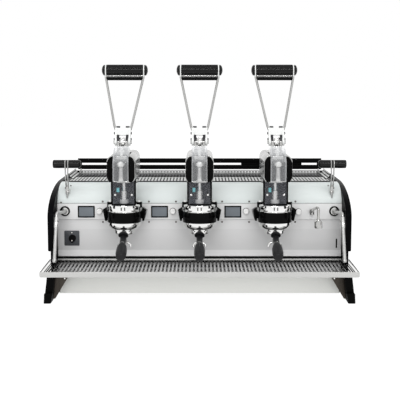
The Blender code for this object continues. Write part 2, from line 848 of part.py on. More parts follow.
def base_frame():
    """Welded ring, six uprights, the beam that carries the groups, and the upper ring."""
    ring_z = (FRAME_TOP_Z - TUBE, FRAME_TOP_Z)
    inner_x = FRAME_HALF_WIDTH - TUBE
    front = (FRAME_FRONT_Y, FRAME_FRONT_Y + TUBE)
    back = (FRAME_BACK_Y - TUBE, FRAME_BACK_Y)
    full = (-FRAME_HALF_WIDTH, FRAME_HALF_WIDTH)
    body = frame_tube(full, front, ring_z)
    tools = [frame_tube(full, back, ring_z)]
    upper_x = (PANEL_HALF_WIDTH - TUBE, PANEL_HALF_WIDTH)
    upper_front = (UPPER_RING_FRONT_Y, UPPER_RING_FRONT_Y + TUBE)
    upper_z = (SHOULDER_Z - TUBE, SHOULDER_Z)
    beam_y = (BEAM_FRONT_Y, BEAM_FRONT_Y + TUBE)
    for side in (-1, 1):
        ring_x = sorted((side * (inner_x + INSET), side * (FRAME_HALF_WIDTH - INSET)))
        tools.append(
            frame_tube(
                ring_x,
                (FRAME_FRONT_Y + INSET, FRAME_BACK_Y - INSET),
                (ring_z[0] + INSET, ring_z[1] - INSET),
            )
        )
        cross_x = (side * CROSS_RAIL_X - TUBE / 2, side * CROSS_RAIL_X + TUBE / 2)
        tools.append(
            frame_tube(
                cross_x,
                (FRAME_FRONT_Y + INSET, FRAME_BACK_Y - INSET),
                (ring_z[0] + INSET, ring_z[1] - INSET / 2),
            )
        )
        post_x = sorted((side * (upper_x[0] + INSET), side * (upper_x[1] - INSET)))
        outer_foot_x = sorted((side * (inner_x + 2 * INSET), side * upper_x[1]))
        tops = (
            (beam_y, BEAM_TOP_Z - INSET),
            (upper_front, SHOULDER_Z - INSET),
            (back, SHOULDER_Z - INSET),
        )
        for span_y, top in tops:
            span = (span_y[0] + INSET, span_y[1] - INSET)
            tools.append(frame_tube(post_x, span, (FRAME_TOP_Z + TUBE / 2, top)))
        tools.append(
            frame_tube(
                outer_foot_x, (beam_y[0], FRAME_BACK_Y), (FRAME_TOP_Z + GAP, FRAME_TOP_Z + TUBE)
            )
        )
        riser_x = sorted((side * (inner_x + 3 * INSET), side * (FRAME_HALF_WIDTH - 3 * INSET)))
        tools.append(
            frame_tube(
                riser_x,
                (beam_y[0] + 2 * INSET, FRAME_BACK_Y - 3 * INSET),
                (FRAME_TOP_Z - TUBE / 2, FRAME_TOP_Z + TUBE / 2),
            )
        )
        side_x = sorted((side * (upper_x[0] + 2 * INSET), side * (upper_x[1] - 2 * INSET)))
        tools.append(
            frame_tube(
                side_x,
                (beam_y[0] + INSET, FRAME_BACK_Y - 2 * INSET),
                (SIDE_RAIL_Z, SIDE_RAIL_Z + TUBE),
            )
        )
        tools.append(
            frame_tube(
                side_x,
                (upper_front[0] + 2 * INSET, FRAME_BACK_Y - 2 * INSET),
                (upper_z[0] + INSET, upper_z[1] - 2 * INSET),
            )
        )
    upper_full = (-PANEL_HALF_WIDTH, PANEL_HALF_WIDTH)
    sill_y = (beam_y[0] + INSET / 2, beam_y[1] - INSET / 2)
    sill_half = PANEL_HALF_WIDTH - INSET / 2
    sill_top = LOWER_PANEL_BOTTOM_Z + INSET
    tools.append(frame_tube((-sill_half, sill_half), sill_y, (FRAME_TOP_Z + 2 * GAP, sill_top)))
    tools.append(frame_tube(upper_full, beam_y, (BEAM_BOTTOM_Z, BEAM_TOP_Z)))
    tools.append(frame_tube(upper_full, upper_front, upper_z))
    tools.append(frame_tube(upper_full, back, upper_z))
    return joined(body, *tools)


def steam_boiler():
    """A domed cylinder lying on two saddles."""
    shoulder = BOILER_HALF_LENGTH - BOILER_DOME
    profile = []
    for wall in (0.0, BOILER_WALL):
        radii = (BOILER_RADIUS - wall, BOILER_DOME - wall)
        dome = arc((0.0, shoulder), radii, 90, 0, ARC_STEPS)
        dome[0] = (BOILER_PORT_RADIUS, shoulder + radii[1])
        side = dome + [(radius, -height) for radius, height in reversed(dome)]
        profile += reversed(side) if wall else side
    place = Matrix.Translation((0.0, BOILER_Y, BOILER_Z)) @ FACE_YZ
    body = turned("steam_boiler", profile, place, MIDDLE_SEGMENTS, ring=True)
    saddles = []
    for side in (-1, 1):
        centre = side * CROSS_RAIL_X
        saddles.append(
            box(
                "saddle",
                (centre - SADDLE_HALF_WIDTH, centre + SADDLE_HALF_WIDTH),
                (BOILER_Y - SADDLE_HALF_DEPTH, BOILER_Y + SADDLE_HALF_DEPTH),
                (FRAME_TOP_Z + GAP, BOILER_Z - BOILER_RADIUS / 2),
            )
        )
    bay = cylinder(
        "bay",
        BOILER_RADIUS - BOILER_WALL / 2,
        (-shoulder, BOILER_Y, BOILER_Z),
        (shoulder, BOILER_Y, BOILER_Z),
        MIDDLE_SEGMENTS,
    )
    saddles = joined(*saddles)
    return joined(body, cut(saddles, bay))


def kick_panel():
    """The plain sheet under the drip tray, with a return at its foot."""
    path = [
        (KICK_FACE_Y, FRAME_TOP_Z),
        (KICK_FACE_Y, KICK_BOTTOM_Z),
        (KICK_FACE_Y + FLANGE, KICK_BOTTOM_Z),
    ]
    return bent_sheet("kick_panel", path, KICK_HALF_WIDTH)


def tray_levels():
    bottom = FRAME_TOP_Z + GAP
    top = bottom + TRAY_HEIGHT
    grate_top = top - GRATE_SUNK
    return bottom, top, grate_top


def drip_tray():
    """A shallow pan with ribs under the grate and hollow ends."""
    bottom, top, grate_top = tray_levels()
    back_y = PANEL_FACE_Y - GAP
    pocket_half = GRATE_HALF_WIDTH + GAP
    pan = box(
        "drip_tray", (-TRAY_HALF_WIDTH, TRAY_HALF_WIDTH), (TRAY_FRONT_Y, back_y), (bottom, top)
    )
    pocket = box(
        "pocket",
        (-pocket_half, pocket_half),
        (TRAY_FRONT_Y + TRAY_WALL, back_y - TRAY_WALL),
        (bottom + TRAY_WALL, top + OVERRUN),
    )
    pan = cut(pan, pocket)
    end_hollows = []
    for side in (-1, 1):
        span = sorted((side * (pocket_half + TRAY_WALL), side * (TRAY_HALF_WIDTH - TRAY_WALL)))
        end_hollows.append(
            box(
                "end_hollow",
                span,
                (TRAY_FRONT_Y + TRAY_WALL, back_y - TRAY_WALL),
                (bottom - OVERRUN, top - TRAY_WALL),
            )
        )
    pan = cut(pan, *end_hollows)
    ribs = []
    rib_top = grate_top - GRATE_THICKNESS - GAP
    for place in TRAY_RIB_PLACES:
        middle = place * TRAY_RIB_X - math.copysign(TRAY_RIB_WIDTH, place) * (abs(place) - 1)
        ribs.append(
            box(
                "rib",
                (middle - TRAY_RIB_WIDTH / 2, middle + TRAY_RIB_WIDTH / 2),
                (TRAY_FRONT_Y + TRAY_WALL / 2, back_y - TRAY_WALL / 2),
                (bottom + TRAY_WALL / 2, rib_top),
            )
        )
    return joined(pan, *ribs)


def drip_grate():
    """The slotted plate that drops into the tray."""
    grate_top = tray_levels()[2]
    front = TRAY_FRONT_Y + TRAY_WALL + GAP
    back = PANEL_FACE_Y - TRAY_WALL - 2 * GAP
    outline = rectangle((0.0, (front + back) / 2), GRATE_HALF_WIDTH, (back - front) / 2)
    holes = slots(
        GRATE_COLUMN_COUNT,
        GRATE_ROW_COUNT,
        GRATE_HALF_WIDTH - GRATE_MARGIN,
        front + GRATE_MARGIN,
        back - GRATE_MARGIN,
        GRATE_SLOT_WIDTH,
        GRATE_BRIDGE,
    )
    return plate(
        "drip_grate", outline, GRATE_THICKNESS, FACE_XY, grate_top - GRATE_THICKNESS, holes
    )


def side_outline(wall):
    """The side panel's outline in Y and Z, drawn in by wall."""
    front = SIDE_FRONT_Y + wall
    top = SIDE_TOP_Z - wall
    back = SIDE_BACK_Y - wall
    sweep = arc(
        (SIDE_CROWN_Y, SIDE_STRAIGHT_TOP_Z),
        (SIDE_CROWN_Y - front, top - SIDE_STRAIGHT_TOP_Z),
        180,
        90,
        SIDE_ARC_STEPS,
    )
    round_back = SIDE_BACK_ROUND - wall
    corner = arc((back - round_back, top - round_back), (round_back, round_back), 90, 0, ARC_STEPS)
    return front, back, sweep, corner


def side_panel():
    """The right side panel: a thick moulded panel over a thinner neck, open on its inner side."""
    tray_top = tray_levels()[1]
    front, back, sweep, corner = side_outline(0.0)
    outline = [
        (front, SIDE_NECK_TOP_Z),
        *sweep,
        *corner,
        (back, SIDE_NECK_TOP_Z),
    ]
    outer = CASING_HALF_WIDTH + SIDE_THICKNESS
    panel = plate("side_panel", outline, SIDE_THICKNESS, FACE_YZ, CASING_HALF_WIDTH)

    def on_outer_face(edge):
        return all(abs(vertex.co.x - outer) < WELD for vertex in edge.verts)

    panel = bevelled(panel, SIDE_EDGE_ROUND, 1, on_outer_face)
    step_y = PANEL_FACE_Y + GAP
    neck_outline = [
        (SIDE_FRONT_Y + INSET, tray_top + GAP),
        (step_y, tray_top + GAP),
        (step_y, FRAME_TOP_Z + GAP),
        (SIDE_BACK_Y - INSET, FRAME_TOP_Z + GAP),
        (SIDE_BACK_Y - INSET, SIDE_NECK_TOP_Z + SIDE_WALL),
        (SIDE_FRONT_Y + INSET, SIDE_NECK_TOP_Z + SIDE_WALL),
    ]
    neck = plate("neck", neck_outline, SIDE_NECK_THICKNESS, FACE_YZ, CASING_HALF_WIDTH + INSET / 2)
    panel = joined(panel, neck)
    front, back, sweep, corner = side_outline(2 * SIDE_WALL)
    pocket_floor = SIDE_NECK_TOP_Z + 2 * SIDE_WALL
    hollow = [(front, pocket_floor), *sweep, *corner, (back, pocket_floor)]
    depth = SIDE_THICKNESS - SIDE_WALL + OVERRUN
    pocket = plate("pocket", hollow, depth, FACE_YZ, CASING_HALF_WIDTH - OVERRUN)
    return cut(panel, pocket)


def lower_front_panel():
    """A folded sheet with the raised switch plate."""
    back = PANEL_FACE_Y + FLANGE
    path = [
        (back, LOWER_PANEL_TOP_Z),
        (PANEL_FACE_Y, LOWER_PANEL_TOP_Z),
        (PANEL_FACE_Y, LOWER_PANEL_BOTTOM_Z),
        (back, LOWER_PANEL_BOTTOM_Z),
    ]
    panel = bent_sheet("lower_front_panel", path, PANEL_HALF_WIDTH)
    switch_plate = box(
        "switch_plate",
        (SWITCH_X - SWITCH_PLATE_HALF, SWITCH_X + SWITCH_PLATE_HALF),
        (PANEL_FACE_Y - SWITCH_PLATE_PROUD, PANEL_FACE_Y + SHEET / 2),
        (SWITCH_Z - SWITCH_PLATE_HALF, SWITCH_Z + SWITCH_PLATE_HALF),
    )
    panel = joined(panel, switch_plate)
    hole = cylinder(
        "spindle_hole",
        KNOB_SPINDLE_RADIUS + RUNNING_GAP,
        (SWITCH_X, PANEL_FACE_Y - OVERRUN, SWITCH_Z),
        (SWITCH_X, PANEL_FACE_Y + OVERRUN, SWITCH_Z),
        SMALL_SEGMENTS,
    )
    return cut(panel, hole)


def front_hole(radius, x, z, segments=SMALL_SEGMENTS):
    """A cutter through the control panel."""
    return cylinder(
        "front_hole",
        radius,
        (x, CONTROL_FACE_Y - 2 * OVERRUN, z),
        (x, CONTROL_FACE_Y + OVERRUN, z),
        segments,
    )


def front_disc(radius, proud, x, z, segments=MIDDLE_SEGMENTS):
    """A round boss on the control panel."""
    return cylinder(
        "front_disc",
        radius,
        (x, CONTROL_FACE_Y + SHEET / 2, z),
        (x, CONTROL_FACE_Y - proud, z),
        segments,
    )


def control_panel():
    """The strip with the displays, buttons, wand sockets and the openings for the group necks."""
    back = PANEL_FACE_Y + FLANGE
    bottom = LOWER_PANEL_TOP_Z + GAP
    path = [
        (back, CONTROL_TOP_Z),
        (CONTROL_FACE_Y, CONTROL_TOP_Z),
        (CONTROL_FACE_Y, bottom),
        (back, bottom),
    ]
    panel = bent_sheet("control_panel", path, PANEL_HALF_WIDTH)
    bosses = [front_disc(SPOUT_FLANGE_RADIUS, SPOUT_FLANGE_PROUD, SPOUT_X, SPOUT_Z)]
    for side in (-1, 1):
        bosses.append(
            front_disc(WAND_RING_RADIUS, WAND_RING_PROUD, side * WAND_BALL_X, WAND_BALL_Z)
        )
    panel = joined(panel, *bosses)
    openings = [front_hole(BUTTON_STEM_RADIUS + RUNNING_GAP, HOT_BUTTON_X, HOT_BUTTON_Z)]
    for side in (-1, 1):
        openings.append(
            front_hole(
                WAND_BALL_RADIUS + RUNNING_GAP, side * WAND_BALL_X, WAND_BALL_Z, MIDDLE_SEGMENTS
            )
        )
    depth = (CONTROL_FACE_Y - OVERRUN, CONTROL_FACE_Y + OVERRUN)
    for index in range(GROUP_COUNT):
        middle = group_x(index)
        openings.append(front_hole(BUTTON_STEM_RADIUS + RUNNING_GAP, middle + BUTTON_OFFSET_X, BUTTON_Z))
        display_x = middle + DISPLAY_OFFSET_X
        display_half = DISPLAY_HALF_WIDTH - DISPLAY_BEZEL + GAP
        display_height = DISPLAY_HALF_HEIGHT - DISPLAY_BEZEL + GAP
        openings.append(
            box(
                "display_opening",
                (display_x - display_half, display_x + display_half),
                depth,
                (DISPLAY_Z - display_height, DISPLAY_Z + display_height),
            )
        )
        openings.append(
            box(
                "neck_opening",
                (middle - NECK_HALF_WIDTH - GAP, middle + NECK_HALF_WIDTH + GAP),
                depth,
                (NECK_BOTTOM_Z - GAP, NECK_TOP_Z + GAP),
            )
        )
    return cut(panel, *openings)


def upper_curve():
    """The quarter ellipse from the control panel up to the cup tray, front to back."""
    bottom = CONTROL_TOP_Z + GAP
    radii = (UPPER_CURVE_BACK_Y - PANEL_FACE_Y, SHOULDER_Z - bottom)
    return arc((UPPER_CURVE_BACK_Y, bottom), radii, 180, 90, UPPER_CURVE_STEPS)


def upper_front_panel():
    """The curved sheet above the control panel, with the steam lever brackets."""
    bottom = CONTROL_TOP_Z + GAP
    path = [*reversed(upper_curve()), (PANEL_FACE_Y + FLANGE, bottom)]
    panel = bent_sheet("upper_front_panel", path, PANEL_HALF_WIDTH)
    ears = []
    holes = []
    for side in (-1, 1):
        middle = side * STEAM_X
        for ear in (-1, 1):
            span = sorted((middle + ear * BRACKET_EAR_INNER, middle + ear * BRACKET_EAR_OUTER))
            ears.append(
                box(
                    "bracket_ear",
                    span,
                    (STEAM_PIVOT_Y - BRACKET_FRONT_REACH, STEAM_PIVOT_Y + BRACKET_BACK_REACH),
                    (STEAM_PIVOT_Z - BRACKET_DROP, STEAM_PIVOT_Z + BRACKET_DROP),
                )
            )
        holes.append(
            cylinder(
                "pivot_hole",
                STEAM_PIN_RADIUS + GAP,
                (middle - OVERRUN - BRACKET_EAR_OUTER, STEAM_PIVOT_Y, STEAM_PIVOT_Z),
                (middle + OVERRUN + BRACKET_EAR_OUTER, STEAM_PIVOT_Y, STEAM_PIVOT_Z),
                SMALL_SEGMENTS,
            )
        )
    return cut(joined(panel, *ears), *holes)


def rear_casing():
    """The back sheet, folded forward at its top and foot, with two banks of vents."""
    path = [
        (REAR_FLANGE_Y, REAR_BOTTOM_Z),
        (CASING_BACK_Y, REAR_BOTTOM_Z),
        (CASING_BACK_Y, SHOULDER_Z),
        (REAR_FLANGE_Y, SHOULDER_Z),
    ]
    casing = bent_sheet("rear_casing", path, PANEL_HALF_WIDTH)
    vents = []
    for side in (-1, 1):
        for row in range(VENT_COUNT):
            bottom = VENT_LOWEST_Z + row * VENT_PITCH
            middle = side * VENT_X
            vents.append(
                box(
                    "vent",
                    (middle - VENT_HALF_WIDTH, middle + VENT_HALF_WIDTH),
                    (CASING_BACK_Y - OVERRUN, CASING_BACK_Y + OVERRUN),
                    (bottom, bottom + VENT_HEIGHT),
                )
            )
    return cut(casing, *vents)


def cup_tray():
    """The slotted tray for warming cups, with a low lip and higher curved ends."""
    bottom = SHOULDER_Z + GAP
    floor_top = bottom + SHEET
    front = UPPER_RING_FRONT_Y
    outline = rectangle(
        (0.0, (front + CUP_TRAY_BACK_Y) / 2), CUP_TRAY_HALF_WIDTH, (CUP_TRAY_BACK_Y - front) / 2
    )
    holes = slots(
        CUP_TRAY_COLUMN_COUNT,
        CUP_TRAY_ROW_COUNT,
        CUP_TRAY_HALF_WIDTH - CUP_TRAY_MARGIN,
        front + CUP_TRAY_MARGIN,
        CUP_TRAY_BACK_Y - CUP_TRAY_MARGIN,
        CUP_TRAY_SLOT_WIDTH,
        CUP_TRAY_BRIDGE,
    )
    tray = plate("cup_tray", outline, SHEET, FACE_XY, bottom, holes)
    lips = []
    for face_y in (front, CUP_TRAY_BACK_Y - SHEET):
        lips.append(
            box(
                "lip",
                (-CUP_TRAY_HALF_WIDTH + INSET, CUP_TRAY_HALF_WIDTH - INSET),
                (face_y + INSET / 10, face_y + SHEET),
                (bottom + INSET / 2, bottom + CUP_TRAY_LIP),
            )
        )
    for side in (-1, 1):
        edge = CUP_TRAY_HALF_WIDTH
        end_top = bottom + CUP_TRAY_END_HEIGHT
        centre = (edge - CUP_TRAY_END_ROUND, floor_top + CUP_TRAY_END_ROUND)
        inner = arc(centre, (CUP_TRAY_END_ROUND - SHEET,) * 2, -90, 0, ARC_STEPS)
        profile = [
            (edge - CUP_TRAY_END_ROUND, bottom + SHEET / 2),
            (edge - INSET / 2, bottom + SHEET / 2),
            (edge - INSET / 2, end_top),
            (edge - SHEET, end_top),
            *reversed([(x, z + SHEET / 2) for x, z in inner]),
        ]
        points = [(side * x, z) for x, z in profile]
        depth = CUP_TRAY_BACK_Y - front - 2 * INSET
        lips.append(plate("end", points, depth, FACE_XZ, -CUP_TRAY_BACK_Y + INSET))
    return joined(tray, *lips)


def cup_rail():
    """The slotted bar behind the cups on four posts."""
    middle = (RAIL_BOTTOM_Z + RAIL_TOP_Z) / 2
    outline = rectangle((0.0, middle), RAIL_HALF_WIDTH, (RAIL_TOP_Z - RAIL_BOTTOM_Z) / 2)
    holes = []
    for start_share, end_share in RAIL_SLOT_SHARES:
        start, end = start_share * RAIL_HALF_WIDTH, end_share * RAIL_HALF_WIDTH
        holes.append(
            rectangle(((start + end) / 2, middle), (end - start) / 2, RAIL_SLOT_HEIGHT / 2)
        )
    front_y = RAIL_Y - RAIL_THICKNESS / 2
    bar = plate("cup_rail", outline, RAIL_THICKNESS, FACE_XZ, -RAIL_Y - RAIL_THICKNESS / 2, holes)
    posts = []
    floor = SHOULDER_Z + GAP + SHEET + GAP
    top = RAIL_BOTTOM_Z + (RAIL_TOP_Z - RAIL_BOTTOM_Z - RAIL_SLOT_HEIGHT) / 4
    for share in POST_X_SHARES:
        x = share * RAIL_HALF_WIDTH
        posts.append(
            box(
                "post",
                (x - POST_HALF_WIDTH, x + POST_HALF_WIDTH),
                (front_y - POST_PROUD, front_y + RAIL_THICKNESS + POST_PROUD),
                (floor, top),
            )
        )
    return joined(bar, *posts)


def steam_lever():
    """The right steam lever: hub on its pin, tail, and two rods that hook over the grip."""
    pivot = (STEAM_X, STEAM_PIVOT_Y, STEAM_PIVOT_Z)
    hub_half = BRACKET_EAR_INNER - RUNNING_GAP
    hub = cylinder(
        "steam_lever",
        STEAM_HUB_RADIUS,
        (STEAM_X - hub_half, *pivot[1:]),
        (STEAM_X + hub_half, *pivot[1:]),
        SMALL_SEGMENTS,
    )
    pin_half = BRACKET_EAR_OUTER + RUNNING_GAP
    pin = cylinder(
        "pin",
        STEAM_PIN_RADIUS,
        (STEAM_X - pin_half, *pivot[1:]),
        (STEAM_X + pin_half, *pivot[1:]),
        SMALL_SEGMENTS,
    )
    tail = cylinder(
        "tail",
        STEAM_HUB_RADIUS - INSET,
        pivot,
        (STEAM_X, STEAM_PIVOT_Y - STEAM_HUB_RADIUS / 2, STEAM_PIVOT_Z - STEAM_TAIL_LENGTH),
        SMALL_SEGMENTS,
        STEAM_TAIL_TIP_RADIUS,
    )
    grip_y = STEAM_PIVOT_Y - STEAM_GRIP_FORWARD
    stand_off = STEAM_GRIP_RADIUS + STEAM_ROD_RADIUS + GAP
    knee_z = STEAM_PIVOT_Z + STEAM_ROD_KNEE_SHARE * (STEAM_GRIP_Z - STEAM_PIVOT_Z)
    rods = []
    for side in (-1, 1):
        root_x = STEAM_X + side * STEAM_ROD_ROOT_SPREAD
        top_x = STEAM_X + side * STEAM_ROD_SPREAD
        path = [
            (root_x, STEAM_PIVOT_Y, STEAM_PIVOT_Z + STEAM_ROD_RADIUS),
            (top_x - side * STEAM_ROD_RADIUS / 2, grip_y - stand_off, knee_z),
            (top_x, grip_y - stand_off, STEAM_GRIP_Z + STEAM_GRIP_RADIUS * STEAM_ROD_TOP_SHARE),
            (top_x, grip_y - stand_off * STEAM_ROD_TOP_SHARE, STEAM_GRIP_Z + stand_off),
            (top_x, grip_y + STEAM_ROD_RADIUS, STEAM_GRIP_Z + stand_off),
        ]
        rods.append(tube("rod", path, STEAM_ROD_RADIUS, 1))
    return joined(hub, pin, tail, *rods)


def steam_grip():
    """The black bar grip of the right steam lever."""
    half = STEAM_GRIP_HALF_LENGTH
    edge = half - STEAM_GRIP_ROUND
    profile = [
        (0.0, half),
        (STEAM_GRIP_RADIUS - STEAM_GRIP_ROUND, half),
        (STEAM_GRIP_RADIUS, edge),
        (STEAM_GRIP_RADIUS, -edge),
        (STEAM_GRIP_RADIUS - STEAM_GRIP_ROUND, -half),
        (0.0, -half),
    ]
    grip_y = STEAM_PIVOT_Y - STEAM_GRIP_FORWARD
    place = Matrix.Translation((STEAM_X, grip_y, STEAM_GRIP_Z)) @ FACE_YZ
    return turned("steam_grip", profile, place, MIDDLE_SEGMENTS)


def steam_wand():
    """The right steam wand: ball, bent pipe, sleeve and nozzle."""
    ball_y = CONTROL_FACE_Y - WAND_BALL_FORWARD
    profile = arc((0.0, 0.0), (WAND_BALL_RADIUS,) * 2, 90, -90, 6)
    profile[0] = (0.0, WAND_BALL_RADIUS)
    profile[-1] = (0.0, -WAND_BALL_RADIUS)
    ball = turned(
        "steam_wand",
        profile,
        Matrix.Translation((WAND_BALL_X, ball_y, WAND_BALL_Z)) @ FACE_XZ,
        SMALL_SEGMENTS,
    )
    elbow_z = WAND_BALL_Z + WAND_RISE
    bend = WAND_BEND
    path = [
        (WAND_BALL_X, ball_y, WAND_BALL_Z),
        (WAND_BALL_X, ball_y - bend, WAND_BALL_Z),
        (WAND_DROP_X - INSET, WAND_DROP_Y + bend, elbow_z),
        (WAND_DROP_X, WAND_DROP_Y + bend / 3, elbow_z - bend / 5),
        (WAND_DROP_X, WAND_DROP_Y, elbow_z - bend),
        (WAND_DROP_X, WAND_DROP_Y, WAND_TIP_Z + WAND_TIP_LENGTH / 2),
    ]
    pipe = tube("pipe", path, WAND_RADIUS)
    sleeve = cylinder(
        "sleeve",
        WAND_SLEEVE_RADIUS,
        (WAND_DROP_X, WAND_DROP_Y, WAND_SLEEVE_TOP_Z - WAND_SLEEVE_LENGTH),
        (WAND_DROP_X, WAND_DROP_Y, WAND_SLEEVE_TOP_Z),
        SMALL_SEGMENTS,
    )
    tip = cylinder(
        "tip",
        WAND_RADIUS - INSET,
        (WAND_DROP_X, WAND_DROP_Y, WAND_TIP_Z),
        (WAND_DROP_X, WAND_DROP_Y, WAND_TIP_Z + WAND_TIP_LENGTH),
        SMALL_SEGMENTS,
        WAND_TIP_RADIUS,
    )
    return joined(ball, pipe, sleeve, tip)


def hot_water_spout():
    """The swivelling hot water spout with its bell nozzle."""
    swivel_y = CONTROL_FACE_Y - SPOUT_FLANGE_PROUD - RUNNING_GAP - SPOUT_SWIVEL_RADIUS
    swivel = cylinder(
        "hot_water_spout",
        SPOUT_SWIVEL_RADIUS,
        (SPOUT_X, swivel_y, SPOUT_Z - SPOUT_SWIVEL_HALF_HEIGHT),
        (SPOUT_X, swivel_y, SPOUT_Z + SPOUT_SWIVEL_HALF_HEIGHT),
    )
    elbow_z = SPOUT_Z + SPOUT_RISE
    nozzle_y = SPOUT_ELBOW_Y - SPOUT_RADIUS
    path = [
        (SPOUT_X, swivel_y, SPOUT_Z),
        (SPOUT_X, (2 * swivel_y + SPOUT_ELBOW_Y) / 3, SPOUT_Z + SPOUT_RISE / 2),
        ((SPOUT_X + SPOUT_NOZZLE_X) / 2, SPOUT_ELBOW_Y + SPOUT_RADIUS, elbow_z),
        (SPOUT_NOZZLE_X, nozzle_y, elbow_z - 2 * SPOUT_RADIUS),
        (SPOUT_NOZZLE_X, nozzle_y, SPOUT_NOZZLE_TOP_Z - SPOUT_RADIUS / 2),
    ]
    pipe = tube("pipe", path, SPOUT_RADIUS)
    shoulder = SPOUT_NOZZLE_RADIUS - SPOUT_NOZZLE_NECK
    profile = [
        (0.0, SPOUT_NOZZLE_TOP_Z),
        (SPOUT_NOZZLE_NECK, SPOUT_NOZZLE_TOP_Z),
        (SPOUT_NOZZLE_RADIUS, SPOUT_NOZZLE_TOP_Z - shoulder),
        (SPOUT_NOZZLE_RADIUS, SPOUT_NOZZLE_BOTTOM_Z),
        (SPOUT_NOZZLE_RADIUS * SPOUT_BORE_SHARE, SPOUT_NOZZLE_BOTTOM_Z),
        (0.0, SPOUT_NOZZLE_BOTTOM_Z + shoulder / 2),
    ]
    nozzle = turned("nozzle", profile, upright(SPOUT_NOZZLE_X, nozzle_y), MIDDLE_SEGMENTS)
    return joined(swivel, pipe, nozzle)


def push_button(x, z):
    """A domed round button on its stem."""
    back_y = CONTROL_FACE_Y - BUTTON_TRAVEL - RUNNING_GAP
    dome = BUTTON_LENGTH / 3
    profile = [
        (0.0, BUTTON_LENGTH),
        (BUTTON_RADIUS * BUTTON_FACE_SHARE, BUTTON_LENGTH - dome / 4),
        (BUTTON_RADIUS, BUTTON_LENGTH - dome),
        (BUTTON_RADIUS, 0.0),
        (BUTTON_STEM_RADIUS, 0.0),
        (BUTTON_STEM_RADIUS, -BUTTON_STEM_LENGTH),
        (0.0, -BUTTON_STEM_LENGTH),
    ]
    return turned("button", profile, facing_front(x, back_y, z), SMALL_SEGMENTS + 2)


def power_switch_knob():
    """The rotary switch knob with its pointer bar and spindle."""
    face_y = PANEL_FACE_Y - SWITCH_PLATE_PROUD - GAP
    profile = [
        (0.0, KNOB_DEPTH),
        (KNOB_RADIUS - INSET, KNOB_DEPTH),
        (KNOB_RADIUS, KNOB_DEPTH - INSET),
        (KNOB_RADIUS, 0.0),
        (KNOB_SPINDLE_RADIUS, 0.0),
        (KNOB_SPINDLE_RADIUS, -KNOB_SPINDLE_LENGTH),
        (0.0, -KNOB_SPINDLE_LENGTH),
    ]
    knob = turned(
        "power_switch_knob", profile, facing_front(SWITCH_X, face_y, SWITCH_Z), MIDDLE_SEGMENTS
    )
    bar = box(
        "pointer_bar",
        (SWITCH_X - KNOB_BAR_HALF_WIDTH, SWITCH_X + KNOB_BAR_HALF_WIDTH),
        (face_y - KNOB_DEPTH - KNOB_BAR_PROUD, face_y - KNOB_DEPTH / 2),
        (SWITCH_Z - KNOB_RADIUS + INSET, SWITCH_Z + KNOB_RADIUS - INSET),
    )
    return joined(knob, bar)


def display():
    """A small screen: bezel in front of the panel, body through it."""
    x = DISPLAY_OFFSET_X
    bezel_y = CONTROL_FACE_Y - GAP
    bezel = box(
        "display",
        (x - DISPLAY_HALF_WIDTH, x + DISPLAY_HALF_WIDTH),
        (bezel_y - DISPLAY_PROUD, bezel_y),
        (DISPLAY_Z - DISPLAY_HALF_HEIGHT, DISPLAY_Z + DISPLAY_HALF_HEIGHT),
    )
    half_width = DISPLAY_HALF_WIDTH - DISPLAY_BEZEL
    half_height = DISPLAY_HALF_HEIGHT - DISPLAY_BEZEL
    body = box(
        "display_body",
        (x - half_width, x + half_width),
        (bezel_y - INSET, bezel_y + DISPLAY_DEPTH),
        (DISPLAY_Z - half_height, DISPLAY_Z + half_height),
    )
    return joined(bezel, body)


def group_body():
    """The group casting: gland, polished ring, core, bell, gasket seat, bore, and neck to the frame."""
    rod_hole = ROD_RADIUS + GAP
    profile = [
        (GLAND_RADIUS, GLAND_TOP_Z),
        (GLAND_RADIUS, BARREL_TOP_Z),
        (RING_RADIUS - BARREL_EDGE, BARREL_TOP_Z),
        (RING_RADIUS, BARREL_TOP_Z - BARREL_EDGE),
        (RING_RADIUS, RING_BOTTOM_Z),
        (CORE_RADIUS, RING_BOTTOM_Z),
        (CORE_RADIUS, CORE_BOTTOM_Z),
        (BELL_WAIST_RADIUS, BELL_WAIST_Z),
        (SKIRT_RADIUS, SKIRT_BOTTOM_Z),
        (RIM_RADIUS + INSET, SKIRT_BOTTOM_Z),
        (RIM_RADIUS + INSET, GASKET_Z),
        (BORE_RADIUS, GASKET_Z),
        (BORE_RADIUS, BORE_TOP_Z),
        (rod_hole, BORE_TOP_Z),
        (rod_hole, GLAND_TOP_Z),
    ]
    barrel = turned("group_body", profile, upright(0.0, GROUP_AXIS_Y), LARGE_SEGMENTS, ring=True)
    neck = box(
        "neck",
        (-NECK_HALF_WIDTH, NECK_HALF_WIDTH),
        (NECK_FRONT_Y, BEAM_FRONT_Y - GAP),
        (NECK_BOTTOM_Z, NECK_TOP_Z),
    )
    return joined(barrel, neck)


